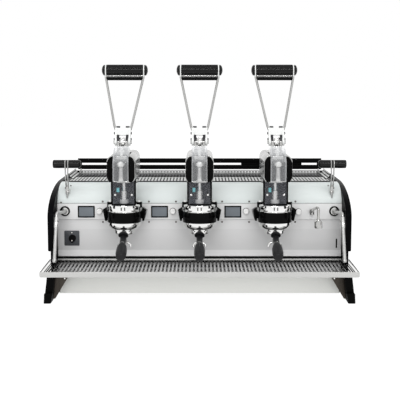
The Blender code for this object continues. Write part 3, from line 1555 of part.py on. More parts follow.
def guard_ring():
    """The black heat guard: a ring open at the back, with a cheek on each side."""
    inner = CORE_RADIUS + GAP
    outer = inner + GUARD_WALL
    profile = [
        (outer, GUARD_TOP_Z),
        (outer, GUARD_BOTTOM_Z),
        (inner, GUARD_BOTTOM_Z),
        (inner, GUARD_TOP_Z),
    ]
    ring = turned("guard_ring", profile, upright(0.0, GROUP_AXIS_Y), LARGE_SEGMENTS, ring=True)
    gap_half = NECK_HALF_WIDTH + 2 * INSET
    rear_gap = box(
        "rear_gap",
        (-gap_half, gap_half),
        (GROUP_AXIS_Y, GROUP_AXIS_Y + outer + OVERRUN),
        (GUARD_BOTTOM_Z - OVERRUN, GUARD_TOP_Z + OVERRUN),
    )
    ring = cut(ring, rear_gap)
    cheeks = []
    cheek_inner = RING_RADIUS + GAP
    for side in (-1, 1):
        cheeks.append(
            tapered_box(
                "cheek",
                sorted((side * cheek_inner, side * CHEEK_FOOT_X)),
                sorted((side * cheek_inner, side * CHEEK_OUTER_X)),
                (GROUP_AXIS_Y - CHEEK_FRONT_REACH, CONTROL_FACE_Y - GAP),
                (CHEEK_BOTTOM_Z, CHEEK_FRONT_TOP_Z),
                CHEEK_BACK_TOP_Z,
            )
        )
    return joined(ring, *cheeks)


def tunnel_outline(wall):
    """The housing tunnel's cross-section in X and Z, drawn in by wall."""
    half = TUNNEL_HALF_WIDTH - wall
    top, bottom = TUNNEL_TOP_Z - wall, TUNNEL_BOTTOM_Z + wall
    crown, foot = TUNNEL_TOP_ROUND - wall, TUNNEL_BOTTOM_ROUND - wall
    right = arc((half - foot, bottom + foot), (foot, foot), -90, 0, 1)
    right += arc((half - crown, top - crown), (crown, crown), 0, 90, ARC_STEPS)
    return right + [(-x, z) for x, z in reversed(right)]


def pivot_lug():
    """One of the two lugs that carry the lever pin, as an outline in Y and Z."""
    boss = arc((PIVOT_Y, PIVOT_Z), (LUG_BOSS_RADIUS,) * 2, 0, 180, 2 * ARC_STEPS)
    foot = SEAT_BOTTOM_Z + SEAT_THICKNESS / 2
    outline = [
        (LUG_BACK_Y, foot),
        (LUG_BACK_Y, LUG_SHOULDER_Z),
        *boss,
        (PIVOT_Y - LUG_BOSS_RADIUS, foot),
    ]
    return outline


def housing():
    """The black lever housing that stands on the group body."""
    tunnel = plate(
        "housing",
        tunnel_outline(0.0),
        TUNNEL_BACK_Y - TUNNEL_FRONT_Y,
        FACE_XZ,
        -TUNNEL_BACK_Y,
    )
    hollow = plate(
        "hollow",
        tunnel_outline(TUNNEL_WALL),
        TUNNEL_BACK_Y - TUNNEL_FRONT_Y - 2 * TUNNEL_WALL,
        FACE_XZ,
        -TUNNEL_BACK_Y + TUNNEL_WALL,
    )
    opening = COVER_HALF_WIDTH + GAP
    slot = box(
        "slot",
        (-opening, opening),
        (TUNNEL_FRONT_Y - OVERRUN, LUG_BACK_Y + INSET),
        (TUNNEL_BOTTOM_Z + TUNNEL_WALL, TUNNEL_TOP_Z + OVERRUN),
    )
    tunnel = cut(tunnel, hollow, slot)
    column_foot = BARREL_TOP_Z + GAP
    column_top = TUNNEL_BOTTOM_Z + TUNNEL_WALL / 3
    parts = []
    for side in (-1, 1):
        parts.append(
            box(
                "column_side",
                sorted((side * COLUMN_WINDOW_HALF, side * COLUMN_HALF_WIDTH)),
                (COLUMN_FRONT_Y, COLUMN_BACK_Y),
                (column_foot, column_top),
            )
        )
    parts.append(
        box(
            "column_back",
            (-COLUMN_HALF_WIDTH + INSET, COLUMN_HALF_WIDTH - INSET),
            (COLUMN_BACK_Y - COLUMN_WALL, COLUMN_BACK_Y - INSET / 2),
            (column_foot + INSET, column_top - INSET / 5),
        )
    )
    parts.append(
        box(
            "column_foot",
            (-COLUMN_HALF_WIDTH + INSET, COLUMN_HALF_WIDTH - INSET),
            (COLUMN_FRONT_Y + INSET, COLUMN_BACK_Y - INSET),
            (column_foot, column_foot + COLUMN_WALL),
        )
    )
    seat_top = SEAT_BOTTOM_Z + SEAT_THICKNESS
    parts.append(
        box(
            "spring_seat",
            (-SEAT_HALF_WIDTH, SEAT_HALF_WIDTH),
            (SEAT_FRONT_Y, SEAT_BACK_Y),
            (SEAT_BOTTOM_Z, seat_top),
        )
    )
    lug_width = LUG_OUTER_X - LUG_INNER_X
    parts.append(plate("lug", pivot_lug(), lug_width, FACE_YZ, LUG_INNER_X))
    parts.append(plate("lug", pivot_lug(), lug_width, FACE_YZ, -LUG_OUTER_X))
    parts.append(
        cylinder(
            "damper",
            DAMPER_RADIUS,
            (0.0, DAMPER_Y, TUNNEL_BOTTOM_Z + TUNNEL_WALL / 2),
            (0.0, DAMPER_Y, DAMPER_TOP_Z),
            MIDDLE_SEGMENTS,
        )
    )
    body = joined(tunnel, *parts)
    rod_hole = cylinder(
        "rod_hole",
        ROD_RADIUS + GAP,
        (0.0, GROUP_AXIS_Y, TUNNEL_BOTTOM_Z - OVERRUN),
        (0.0, GROUP_AXIS_Y, seat_top + OVERRUN / 2),
        MIDDLE_SEGMENTS,
    )
    gland_hole = cylinder(
        "gland_hole",
        GLAND_RADIUS + RUNNING_GAP,
        (0.0, GROUP_AXIS_Y, column_foot - OVERRUN),
        (0.0, GROUP_AXIS_Y, column_foot + COLUMN_WALL + OVERRUN),
        MIDDLE_SEGMENTS,
    )
    pin_hole = cylinder(
        "pin_hole",
        PIN_RADIUS + GAP,
        (-LUG_OUTER_X - OVERRUN, PIVOT_Y, PIVOT_Z),
        (LUG_OUTER_X + OVERRUN, PIVOT_Y, PIVOT_Z),
        MIDDLE_SEGMENTS,
    )
    return cut(body, rod_hole, gland_hole, pin_hole)


def clear_cover():
    """The clear nose: a front wall, a slope and two sides, open below and behind."""
    bottom = TUNNEL_BOTTOM_Z + TUNNEL_WALL + GAP
    slope = (COVER_CREST_Z - COVER_BEND_Z) / (COVER_CREST_Y - COVER_FRONT_Y)
    outline = [
        (COVER_FRONT_Y, bottom),
        (COVER_CREST_Y, bottom),
        (COVER_CREST_Y, COVER_CREST_Z),
        (COVER_FRONT_Y, COVER_BEND_Z),
    ]
    cover = plate("clear_cover", outline, 2 * COVER_HALF_WIDTH, FACE_YZ, -COVER_HALF_WIDTH)

    def on_front_corner(edge):
        first, second = (vertex.co for vertex in edge.verts)
        same_side = abs(first.x - second.x) < WELD
        on_front = max(first.y, second.y) < COVER_FRONT_Y + WELD
        on_slope = min(first.z, second.z) > bottom + WELD and abs(first.z - second.z) > WELD
        return same_side and (on_front or on_slope) and first.y + second.y < 2 * COVER_CREST_Y - WELD

    cover = bevelled(cover, COVER_EDGE_ROUND, 2, on_front_corner)
    wall = COVER_WALL
    inner_front = COVER_FRONT_Y + wall
    far_y = COVER_CREST_Y + OVERRUN
    inner_bend = COVER_BEND_Z - wall * (1.0 - slope / 2)
    hollow = [
        (inner_front, bottom - OVERRUN),
        (far_y, bottom - OVERRUN),
        (far_y, inner_bend + slope * (far_y - inner_front)),
        (inner_front, inner_bend),
    ]
    inside = plate(
        "inside", hollow, 2 * (COVER_HALF_WIDTH - wall), FACE_YZ, -COVER_HALF_WIDTH + wall
    )
    return cut(cover, inside)


def spring_span():
    """The heights between which the spring lies at rest."""
    collar_top = TUNNEL_BOTTOM_Z + TUNNEL_WALL + RUNNING_GAP + COLLAR_THICKNESS
    return collar_top + GAP, SEAT_BOTTOM_Z - GAP


def spring():
    """The return spring as a coil of round wire."""
    low, high = spring_span()
    low += SPRING_WIRE_RADIUS
    high -= SPRING_WIRE_RADIUS
    count = SPRING_TURNS * SPRING_POINTS_PER_TURN
    points = []
    for index in range(count + 1):
        angle = 2 * math.pi * index / SPRING_POINTS_PER_TURN
        height = low + (high - low) * index / count
        points.append(
            (
                SPRING_MEAN_RADIUS * math.cos(angle),
                GROUP_AXIS_Y + SPRING_MEAN_RADIUS * math.sin(angle),
                height,
            )
        )
    return tube("spring", points, SPRING_WIRE_RADIUS, 1)


def rack_outline():
    """The rack's profile in Y and Z, with its teeth towards the lever pivot."""
    pitch_y = PIVOT_Y + PITCH_RADIUS
    root_y = pitch_y + DEDENDUM_SHARE * MODULE
    tip_y = pitch_y - ADDENDUM_SHARE * MODULE
    half_pitch = TOOTH_PITCH / 4 - BACKLASH
    lean = math.tan(PRESSURE_ANGLE)
    half_root = half_pitch + DEDENDUM_SHARE * MODULE * lean
    half_tip = half_pitch - ADDENDUM_SHARE * MODULE * lean
    top = PIVOT_Z + RACK_TOP_ABOVE_PIVOT
    bottom = top - RACK_LENGTH
    outline = [(GROUP_AXIS_Y, bottom), (GROUP_AXIS_Y, top), (root_y, top)]
    for index in range(RACK_TEETH):
        middle = PIVOT_Z + TOOTH_PITCH * (0.5 - index)
        outline += [
            (root_y, middle + half_root),
            (tip_y, middle + half_tip),
            (tip_y, middle - half_tip),
            (root_y, middle - half_root),
        ]
    outline.append((root_y, bottom))
    return outline


def piston():
    """Piston, rod, spring collar and rack as one moving piece."""
    top = PIVOT_Z + RACK_TOP_ABOVE_PIVOT
    piston_top = PISTON_BOTTOM_Z + PISTON_THICKNESS
    collar_top = spring_span()[0] - GAP
    collar_bottom = collar_top - COLLAR_THICKNESS
    profile = [
        (0.0, top),
        (ROD_RADIUS, top),
        (ROD_RADIUS, collar_top),
        (COLLAR_RADIUS, collar_top),
        (COLLAR_RADIUS, collar_bottom),
        (ROD_RADIUS, collar_bottom),
        (ROD_RADIUS, piston_top),
        (PISTON_RADIUS, piston_top),
        (PISTON_RADIUS, PISTON_BOTTOM_Z),
        (0.0, PISTON_BOTTOM_Z),
    ]
    rod = turned("piston", profile, upright(0.0, GROUP_AXIS_Y), MIDDLE_SEGMENTS)
    rack = plate("rack", rack_outline(), 2 * SECTOR_HALF_WIDTH, FACE_YZ, -SECTOR_HALF_WIDTH)
    return joined(rod, rack)


def involute(angle):
    return math.tan(angle) - angle


def sector_outline():
    """The toothed sector in the lever's own Y and Z, with involute flanks."""
    base = PITCH_RADIUS * math.cos(PRESSURE_ANGLE)
    tip = PITCH_RADIUS + ADDENDUM_SHARE * MODULE
    root = PITCH_RADIUS - DEDENDUM_SHARE * MODULE
    half_at_pitch = math.pi / (2 * TEETH) - BACKLASH / PITCH_RADIUS

    def half_angle(radius):
        return half_at_pitch + involute(PRESSURE_ANGLE) - involute(math.acos(base / radius))

    flank = [(root, half_angle(base)), (PITCH_RADIUS, half_at_pitch), (tip, half_angle(tip))]
    points = []
    for tooth in range(SECTOR_FIRST_TOOTH, SECTOR_LAST_TOOTH + 1):
        middle = 2 * math.pi * tooth / TEETH + LEVER_LEAN
        points += [(radius, middle - half) for radius, half in flank]
        points += [(radius, middle + half) for radius, half in reversed(flank)]
    last = points[-1][1]
    turn = 2 * math.pi - (last - points[0][1])
    for step in range(1, 2 * ARC_STEPS):
        points.append((SECTOR_HUB_RADIUS, last + turn * step / (2 * ARC_STEPS)))
    return [(radius * math.cos(angle), radius * math.sin(angle)) for radius, angle in points]


def yoke_cheek_outline():
    """A yoke side plate in the lever's own Y and Z, round about the pin."""
    foot = arc((0.0, 0.0), (YOKE_FOOT, YOKE_FOOT), 180, 360, 2 * ARC_STEPS)
    return [*foot, (YOKE_BACK, YOKE_PLATE_BOTTOM), (YOKE_BACK, YOKE_TOP), (-YOKE_FRONT, YOKE_TOP),
            (-YOKE_FRONT, YOKE_PLATE_BOTTOM)]


def end_plate_outline():
    """A teardrop plate round the grip's spindle, in the lever's own Y and Z."""
    crown = arc((0.0, ARM_LENGTH), (END_PLATE_RADIUS,) * 2, -30, 210, 2 * ARC_STEPS + 2)
    tail = ARM_LENGTH - END_PLATE_TAIL
    return [*crown, (-ARM_RADIUS, tail), (ARM_RADIUS, tail)]


def lever_fork():
    """Pin, toothed sector, yoke, arms, cross bar and end plates, drawn with the lever upright."""
    pin_half = YOKE_HALF_WIDTH + PIN_HEAD_THICKNESS
    pin = cylinder("lever_fork", PIN_RADIUS, (-pin_half, 0.0, 0.0), (pin_half, 0.0, 0.0), SMALL_SEGMENTS)
    parts = [
        plate("sector", sector_outline(), 2 * SECTOR_HALF_WIDTH, FACE_YZ, -SECTOR_HALF_WIDTH)
    ]
    cheek_width = YOKE_HALF_WIDTH - CHEEK_PLATE_INNER
    spindle_hole = ring_points((0.0, ARM_LENGTH), SPINDLE_RADIUS + GAP, MIDDLE_SEGMENTS)
    for side in (-1, 1):
        head_start = (side * (YOKE_HALF_WIDTH - INSET), 0.0, 0.0)
        parts.append(
            cylinder("head", PIN_HEAD_RADIUS, head_start, (side * (pin_half - INSET / 2), 0.0, 0.0),
                     SMALL_SEGMENTS)
        )
        cheek_start = CHEEK_PLATE_INNER if side > 0 else -YOKE_HALF_WIDTH
        parts.append(plate("cheek", yoke_cheek_outline(), cheek_width, FACE_YZ, cheek_start))
        path = [
            (side * ARM_ROOT_X, -INSET, ARM_ROOT),
            (side * ARM_KNEE_X, -INSET, ARM_KNEE),
            (side * END_PLATE_X, 0.0, ARM_END),
        ]
        parts.append(tube("arm", path, ARM_RADIUS))
        plate_start = side * END_PLATE_X - END_PLATE_THICKNESS / 2
        parts.append(
            plate(
                "end_plate",
                end_plate_outline(),
                END_PLATE_THICKNESS,
                FACE_YZ,
                plate_start,
                [spindle_hole],
            )
        )
    parts.append(
        box(
            "yoke_plate",
            (-YOKE_HALF_WIDTH + INSET, YOKE_HALF_WIDTH - INSET),
            (-YOKE_FRONT - INSET / 2, -YOKE_FRONT + YOKE_PLATE_THICKNESS),
            (YOKE_PLATE_BOTTOM, YOKE_PLATE_TOP),
        )
    )
    bar_half = END_PLATE_X - END_PLATE_THICKNESS
    bar_z = ARM_LENGTH - TIE_BAR_BELOW
    parts.append(
        cylinder("tie_bar", TIE_BAR_RADIUS, (-bar_half, 0.0, bar_z), (bar_half, 0.0, bar_z),
                 SMALL_SEGMENTS)
    )
    return joined(pin, *parts)


def lever_grip():
    """The ribbed barrel with its spindle and two domed end caps, drawn with the lever upright."""
    barrel_half = END_PLATE_X - END_PLATE_THICKNESS / 2 - GAP
    outline = []
    count = 3 * GRIP_FLUTES
    for index in range(count):
        angle = 2 * math.pi * index / count
        radius = GRIP_RADIUS - (GRIP_FLUTE_DEPTH if index % 3 == 0 else 0.0)
        outline.append((radius * math.cos(angle), ARM_LENGTH + radius * math.sin(angle)))
    barrel = plate("lever_grip", outline, 2 * barrel_half, FACE_YZ, -barrel_half)
    cap_start = END_PLATE_X + END_PLATE_THICKNESS / 2 + GAP
    end = cap_start + GRIP_CAP_LENGTH
    shoulder = cap_start + GRIP_CAP_LENGTH / 2
    profile = [
        (0.0, end),
        (GRIP_CAP_RADIUS / 2, end - INSET),
        (GRIP_CAP_RADIUS, shoulder),
        (GRIP_CAP_RADIUS, cap_start),
        (SPINDLE_RADIUS, cap_start),
        (SPINDLE_RADIUS, -cap_start),
        (GRIP_CAP_RADIUS, -cap_start),
        (GRIP_CAP_RADIUS, -shoulder),
        (GRIP_CAP_RADIUS / 2, -end + INSET),
        (0.0, -end),
    ]
    place = Matrix.Translation((0.0, 0.0, ARM_LENGTH)) @ FACE_YZ
    return joined(barrel, turned("spindle", profile, place, SMALL_SEGMENTS + 2))


def handle_direction():
    """Unit vector along the portafilter handle, away from the group."""
    return Vector((0.0, -math.cos(HANDLE_TILT), -math.sin(HANDLE_TILT)))


def along_handle(distance):
    root = Vector((0.0, GROUP_AXIS_Y, HANDLE_ROOT_Z))
    return root + handle_direction() * distance


def portafilter():
    """Bowl with its basket seat, handle boss and stem, and a double spout."""
    rim_top = GASKET_Z - GAP
    profile = [
        (0.0, BASKET_FLOOR_Z),
        (BASKET_FOOT_RADIUS, BASKET_FLOOR_Z + INSET),
        (BASKET_TOP_RADIUS, rim_top),
        (RIM_RADIUS, rim_top),
        (RIM_RADIUS, RIM_BOTTOM_Z),
        (BOWL_WAIST_RADIUS, BOWL_WAIST_Z),
        (BOWL_FOOT_RADIUS, BOWL_FOOT_Z),
        (0.0, BOWL_BOTTOM_Z),
    ]
    bowl = turned("portafilter", profile, upright(0.0, GROUP_AXIS_Y), MIDDLE_SEGMENTS + 2)
    boss_end = STEM_START + BOSS_LENGTH
    boss = cylinder("boss", BOSS_RADIUS, along_handle(STEM_START), along_handle(boss_end),
                    SMALL_SEGMENTS + 2)
    stem = cylinder("stem", STEM_RADIUS, along_handle(STEM_START + INSET),
                    along_handle(boss_end + HANDLE_BORE_DEPTH - INSET), SMALL_SEGMENTS)
    block = cylinder("block", SPOUT_BLOCK_RADIUS, (0.0, GROUP_AXIS_Y, SPOUT_BLOCK_Z),
                     (0.0, GROUP_AXIS_Y, BOWL_FOOT_Z), SMALL_SEGMENTS)
    middle_z = SPOUT_BLOCK_Z + SPOUT_ARM_RADIUS
    path = []
    for side in (-1, 1):
        arm = [
            (side * SPOUT_ARM_SPREAD, GROUP_AXIS_Y, SPOUT_ARM_END_Z),
            (side * SPOUT_ARM_SPREAD * ARM_BEND_SHARE, GROUP_AXIS_Y, (middle_z + SPOUT_ARM_END_Z) / 2),
            (side * SPOUT_ARM_SPREAD / 2, GROUP_AXIS_Y, middle_z - SPOUT_ARM_RADIUS / 2),
        ]
        path += arm if side < 0 else reversed(arm)
    arms = tube("spout_arms", path, SPOUT_ARM_RADIUS, 1)
    return joined(bowl, boss, stem, block, arms)


def portafilter_handle():
    """The black turned handle, bored for the stem."""
    length = HANDLE_LENGTH - BOSS_LENGTH
    bore = STEM_RADIUS + GAP
    collar_start, collar_end = HANDLE_COLLAR_SHARES
    profile = [
        (0.0, HANDLE_BORE_DEPTH),
        (bore, HANDLE_BORE_DEPTH),
        (bore, 0.0),
        (HANDLE_FERRULE_RADIUS, 0.0),
        (HANDLE_COLLAR_RADIUS, collar_start * length),
        (HANDLE_COLLAR_RADIUS, collar_end * length),
        (HANDLE_NECK_RADIUS, HANDLE_NECK_SHARE * length),
        (HANDLE_BULB_RADIUS, HANDLE_BULB_SHARE * length),
        (HANDLE_END_RADIUS, HANDLE_TAPER_SHARE * length),
        (HANDLE_TIP_RADIUS, HANDLE_TIP_SHARE * length),
        (0.0, length),
    ]
    root = along_handle(STEM_START + BOSS_LENGTH + GAP)
    turn = handle_direction().to_track_quat("Z", "Y").to_matrix().to_4x4()
    place = Matrix.Translation(root) @ turn
    return turned("portafilter_handle", profile, place, SMALL_SEGMENTS + 2)


def publish_casing():
    """The fixed pieces shared by the whole machine."""
    right_legs = leg_frame()
    publish("leg_frame_left", mirrored(right_legs, "leg_frame_left"), BLACK_PAINT)
    publish("leg_frame_right", right_legs, BLACK_PAINT)
    publish("base_frame", base_frame(), DARK_FRAME)
    publish("steam_boiler", steam_boiler(), BRASS)
    publish("kick_panel", kick_panel(), PALE_PANEL)
    publish("drip_tray", drip_tray(), SATIN_STEEL)
    publish("drip_grate", drip_grate(), POLISHED)
    right_side = side_panel()
    publish("side_panel_left", mirrored(right_side, "side_panel_left"), BLACK_PAINT)
    publish("side_panel_right", right_side, BLACK_PAINT)
    publish("lower_front_panel", lower_front_panel(), PALE_PANEL)
    publish("control_panel", control_panel(), PALE_PANEL)
    publish("upper_front_panel", upper_front_panel(), PALE_PANEL)
    publish("rear_casing", rear_casing(), SATIN_STEEL)
    publish("cup_tray", cup_tray(), POLISHED)
    publish("cup_rail", cup_rail(), BLACK_PAINT)


def publish_controls():
    """Steam levers, wands, hot water spout, switch and hot water button."""
    lever_axis = (STEAM_X, STEAM_PIVOT_Y, STEAM_PIVOT_Z)
    wand_axis = (WAND_BALL_X, CONTROL_FACE_Y - WAND_BALL_FORWARD, WAND_BALL_Z)
    pairs = (
        ("steam_lever", steam_lever(), POLISHED, lever_axis),
        ("steam_grip", steam_grip(), BLACK_PLASTIC, lever_axis),
        ("steam_wand", steam_wand(), POLISHED, wand_axis),
    )
    for name, item, material, axis in pairs:
        left_axis = (-axis[0], *axis[1:])
        publish(name + "_left", mirrored(item, name + "_left"), material, left_axis)
        publish(name + "_right", item, material, axis)
    publish("hot_water_spout", hot_water_spout(), POLISHED, (SPOUT_X, CONTROL_FACE_Y, SPOUT_Z))
    publish("power_switch_knob", power_switch_knob(), BLACK_PLASTIC, (SWITCH_X, PANEL_FACE_Y, SWITCH_Z))
    hot_axis = (HOT_BUTTON_X, CONTROL_FACE_Y, HOT_BUTTON_Z)
    publish("hot_water_button", push_button(HOT_BUTTON_X, HOT_BUTTON_Z), POLISHED, hot_axis)


def publish_groups():
    """The three groups, each from the same shapes."""
    axis = (0.0, GROUP_AXIS_Y, 0.0)
    still = (
        ("group_body", group_body(), POLISHED, axis),
        ("housing", housing(), BLACK_PAINT, axis),
        ("clear_cover", clear_cover(), CLEAR_PLASTIC, axis),
        ("spring", spring(), SPRING_STEEL, axis),
        ("piston", piston(), POLISHED, axis),
        ("guard_ring", guard_ring(), BLACK_PLASTIC, axis),
        ("portafilter", portafilter(), POLISHED, axis),
        ("portafilter_handle", portafilter_handle(), BLACK_PLASTIC, axis),
        ("display", display(), DARK_GLASS, (DISPLAY_OFFSET_X, CONTROL_FACE_Y, DISPLAY_Z)),
        ("brew_button", push_button(BUTTON_OFFSET_X, BUTTON_Z), POLISHED,
         (BUTTON_OFFSET_X, CONTROL_FACE_Y, BUTTON_Z)),
    )
    fork, grip = lever_fork(), lever_grip()
    for index in range(GROUP_COUNT):
        number = str(index + 1)
        x = group_x(index)
        for name, item, material, origin in still:
            publish(name + "_" + number, item, material, origin, shift=(x, 0.0, 0.0))
        pivot = bpy.data.objects.new("lever_pivot_" + number, None)
        pivot.location = (x, PIVOT_Y, PIVOT_Z)
        pivot.rotation_euler = (-LEVER_LEAN, 0.0, 0.0)
        MACHINE.objects.link(pivot)
        publish("lever_fork_" + number, fork, POLISHED, parent=pivot)
        publish("lever_grip_" + number, grip, BLACK_PLASTIC, parent=pivot)


publish_casing()
publish_controls()
publish_groups()
for leftover in list(WORKSHOP.objects):
    bpy.data.objects.remove(leftover, do_unlink=True)
bpy.data.collections.remove(WORKSHOP)
bpy.context.view_layer.update()
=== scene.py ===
import json
import math

import bmesh
import bpy
import numpy as np
from bpy.props import FloatProperty, FloatVectorProperty, IntProperty, PointerProperty
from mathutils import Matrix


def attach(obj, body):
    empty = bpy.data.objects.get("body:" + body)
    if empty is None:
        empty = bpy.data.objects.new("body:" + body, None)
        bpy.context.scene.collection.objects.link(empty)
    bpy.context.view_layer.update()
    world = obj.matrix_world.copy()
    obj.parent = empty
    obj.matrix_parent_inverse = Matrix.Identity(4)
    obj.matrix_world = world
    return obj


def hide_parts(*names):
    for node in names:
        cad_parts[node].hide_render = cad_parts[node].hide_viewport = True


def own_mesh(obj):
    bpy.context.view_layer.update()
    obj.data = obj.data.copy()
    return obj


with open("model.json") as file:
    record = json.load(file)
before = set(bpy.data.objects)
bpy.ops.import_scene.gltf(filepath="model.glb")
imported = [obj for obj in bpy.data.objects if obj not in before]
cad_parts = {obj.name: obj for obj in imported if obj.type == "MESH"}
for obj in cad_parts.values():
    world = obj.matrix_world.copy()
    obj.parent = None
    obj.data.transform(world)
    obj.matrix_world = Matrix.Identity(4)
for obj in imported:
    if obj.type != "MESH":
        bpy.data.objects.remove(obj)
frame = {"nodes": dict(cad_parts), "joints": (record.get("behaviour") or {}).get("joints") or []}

bl_info = {
    "name": "Lever espresso machine",
    "version": (1, 0, 0),
    "blender": (4, 5, 0),
    "location": "3D View > Sidebar > Espresso",
    "description": "Dresses the packed three-group lever espresso machine in finished pieces",
    "category": "Object",
}

JOINTS = {joint["name"]: joint for joint in frame["joints"]}
GROUP_COUNT = 3
GROUP_AXIS_Y = JOINTS["portafilter_lock_1"]["pos_m"][1]
PIVOT = JOINTS["lever_pivot_2"]["pos_m"]
GROUP_X = [JOINTS[f"portafilter_lock_{n + 1}"]["pos_m"][0] for n in range(GROUP_COUNT)]


# ---------------------------------------------------------------- sizes a user would change


def length(name, default, words):
    """A length in metres."""
    return FloatProperty(name=name, description=words, default=default, unit="LENGTH", precision=4, step=0.01)


def colour(name, default, words):
    """A linear colour."""
    return FloatVectorProperty(
        name=name, description=words, default=default, size=3, subtype="COLOR", min=0.0, max=1.0
    )


class GroupSizes(bpy.types.PropertyGroup):
    """Sizes of the brewing groups' castings."""

    barrel_radius: length("Barrel radius", 0.0546, "Radius of the polished ring on top of the group")
    barrel_top: length("Barrel top", 0.3372, "Height of the top of the polished ring")
    barrel_bottom: length("Barrel bottom", 0.3140, "Height of the lower edge of the polished ring")
    core_radius: length("Core radius", 0.0558, "Radius of the casting inside the heat guard")
    skirt_radius: length("Skirt radius", 0.0366, "Radius of the skirt that takes the portafilter")
    skirt_bottom: length("Skirt bottom", 0.2480, "Height of the lower edge of the skirt")
    flange_radius: length("Flange radius", 0.0425, "Radius of the black flange on the ring")
    guard_radius: length("Guard radius", 0.0578, "Outer radius of the black heat guard")
    cheek_inner: length("Cheek distance", 0.0610, "Distance of the guard's cheeks from the group's axis")
    nut_offset: length("Nut offset", 0.0500, "Distance of the domed nuts from the group's axis")


class HousingSizes(bpy.types.PropertyGroup):
    """Sizes of the lever housings."""

    column_half: length("Column half width", 0.0430, "Half the width of the column under the tunnel")
    column_front: length("Column front", -0.2180, "Y of the column's front face")
    column_edge: length("Column edge", 0.0058, "Width of the black edges beside the window")
    stud_offset: length("Stud offset", 0.0284, "Distance of the window's studs from the middle")
    stud_radius: length("Stud radius", 0.0040, "Radius of the window's studs")
    tunnel_half: length("Tunnel half width", 0.0465, "Half the width of the spring tunnel")
    tunnel_top: length("Tunnel top", 0.5160, "Height of the tunnel's crown")
    tunnel_bottom: length("Tunnel bottom", 0.4277, "Height of the tunnel's floor")
    tunnel_front: length("Tunnel front", -0.3300, "Y of the tunnel's front rim")
    cover_half: length("Cover half width", 0.0258, "Half the width of the clear nose cover")
    gear_module: length("Gear module", 0.0020, "Module of the rack and of the toothed sector")
    coil_turns: IntProperty(name="Coil turns", description="Turns of the return spring", default=5, min=2, max=12)
    coil_radius: length("Coil radius", 0.0145, "Mean radius of the return spring")
    coil_wire: length("Coil wire radius", 0.0024, "Radius of the spring's wire")


class LeverSizes(bpy.types.PropertyGroup):
    """Sizes of the levers."""

    arm_radius: length("Arm radius", 0.0040, "Radius of the two slim lever arms")
    arm_spread: length("Arm spread", 0.0660, "Half the distance between the arms at the grip")
    arm_top: length("Arm top", 0.2525, "Height of the arms' ends above the pivot")
    bar_radius: length("Bar radius", 0.0060, "Radius of the bar under the grip")
    grip_radius: length("Grip radius", 0.0194, "Radius of the ribbed grip")
    grip_height: length("Grip height", 0.2760, "Height of the grip's axis above the pivot")
    grip_half: length("Grip half length", 0.0637, "Half the length of the ribbed barrel")
    grip_ribs: IntProperty(name="Grip ribs", description="Ribs round the grip", default=12, min=6, max=40)
    rib_depth: length("Rib depth", 0.0024, "Depth of the grooves between the ribs")
    lean: FloatProperty(
        name="Lean", description="How far the lever leans back at rest", default=math.radians(28.8), subtype="ANGLE"
    )


class HandleSizes(bpy.types.PropertyGroup):
    """Sizes of the portafilters."""

    rim_radius: length("Rim radius", 0.0340, "Radius of the portafilter's rim")
    rim_top: length("Rim top", 0.2572, "Height of the portafilter's rim")
    bowl_bottom: length("Bowl bottom", 0.2355, "Height of the bowl's underside")
    collar_y: length("Collar Y", -0.2400, "Y of the middle of the handle collar's rim")
    collar_z: length("Collar height", 0.2350, "Height of the middle of the handle collar's rim")
    collar_dip: FloatProperty(
        name="Collar dip", description="How far the handle's collar points down", default=math.radians(50.0),
        subtype="ANGLE"
    )
    handle_length: length("Handle length", 0.1540, "Length of the black handle")
    handle_start: length("Handle start", 0.0400, "Distance of the handle's front ring from the group's axis")
    spout_spread: length("Spout spread", 0.0215, "Half the distance between the two spouts")
    handle_dip: FloatProperty(
        name="Handle dip", description="How far the handle points down", default=math.radians(18.6), subtype="ANGLE"
    )


class CasingSizes(bpy.types.PropertyGroup):
    """Sizes of the casing."""

    panel_half: length("Panel half width", 0.5047, "Half the width of the front panels")
    side_thickness: length("Side panel thickness", 0.0200, "Thickness of the black side panels")
    face: length("Panel face", -0.0870, "Y of the front panels")
    control_face: length("Control strip face", -0.0910, "Y of the control strip")
    shoulder: length("Shoulder", 0.3913, "Height of the casing's flat top")
    sheet: length("Sheet", 0.0015, "Thickness of the panels")
    screw_radius: length("Screw radius", 0.0034, "Radius of the panel screws' heads")


class TraySizes(bpy.types.PropertyGroup):
    """Sizes of the drip tray, its grate, the cup tray and the rail."""

    tray_half: length("Tray half width", 0.5350, "Half the width of the drip tray")
    tray_front: length("Tray front", -0.3300, "Y of the drip tray's fascia")
    tray_top: length("Tray top", 0.1260, "Height of the drip tray's rim")
    tray_bottom: length("Tray bottom", 0.1080, "Height of the drip tray's underside")
    grate_columns: IntProperty(
        name="Grate columns", description="Slots across the grate", default=76, min=10, max=200
    )
    grate_rows: IntProperty(name="Grate rows", description="Rows of slots in the grate", default=3, min=1, max=12)
    cup_columns: IntProperty(name="Cup tray columns", description="Slots across the cup tray", default=79, min=10)
    cup_rows: IntProperty(name="Cup tray rows", description="Rows of slots in the cup tray", default=4, min=1)
    grate_half: length("Grate half width", 0.5020, "Half the width of the drip grate")
    slot_share: FloatProperty(
        name="Slot share", description="Part of the grate's pitch that is slot", default=0.48, min=0.1, max=0.9
    )
    cup_half: length("Cup tray half width", 0.4980, "Half the width of the cup tray")
    rail_half: length("Rail half width", 0.4800, "Half the width of the cup rail")


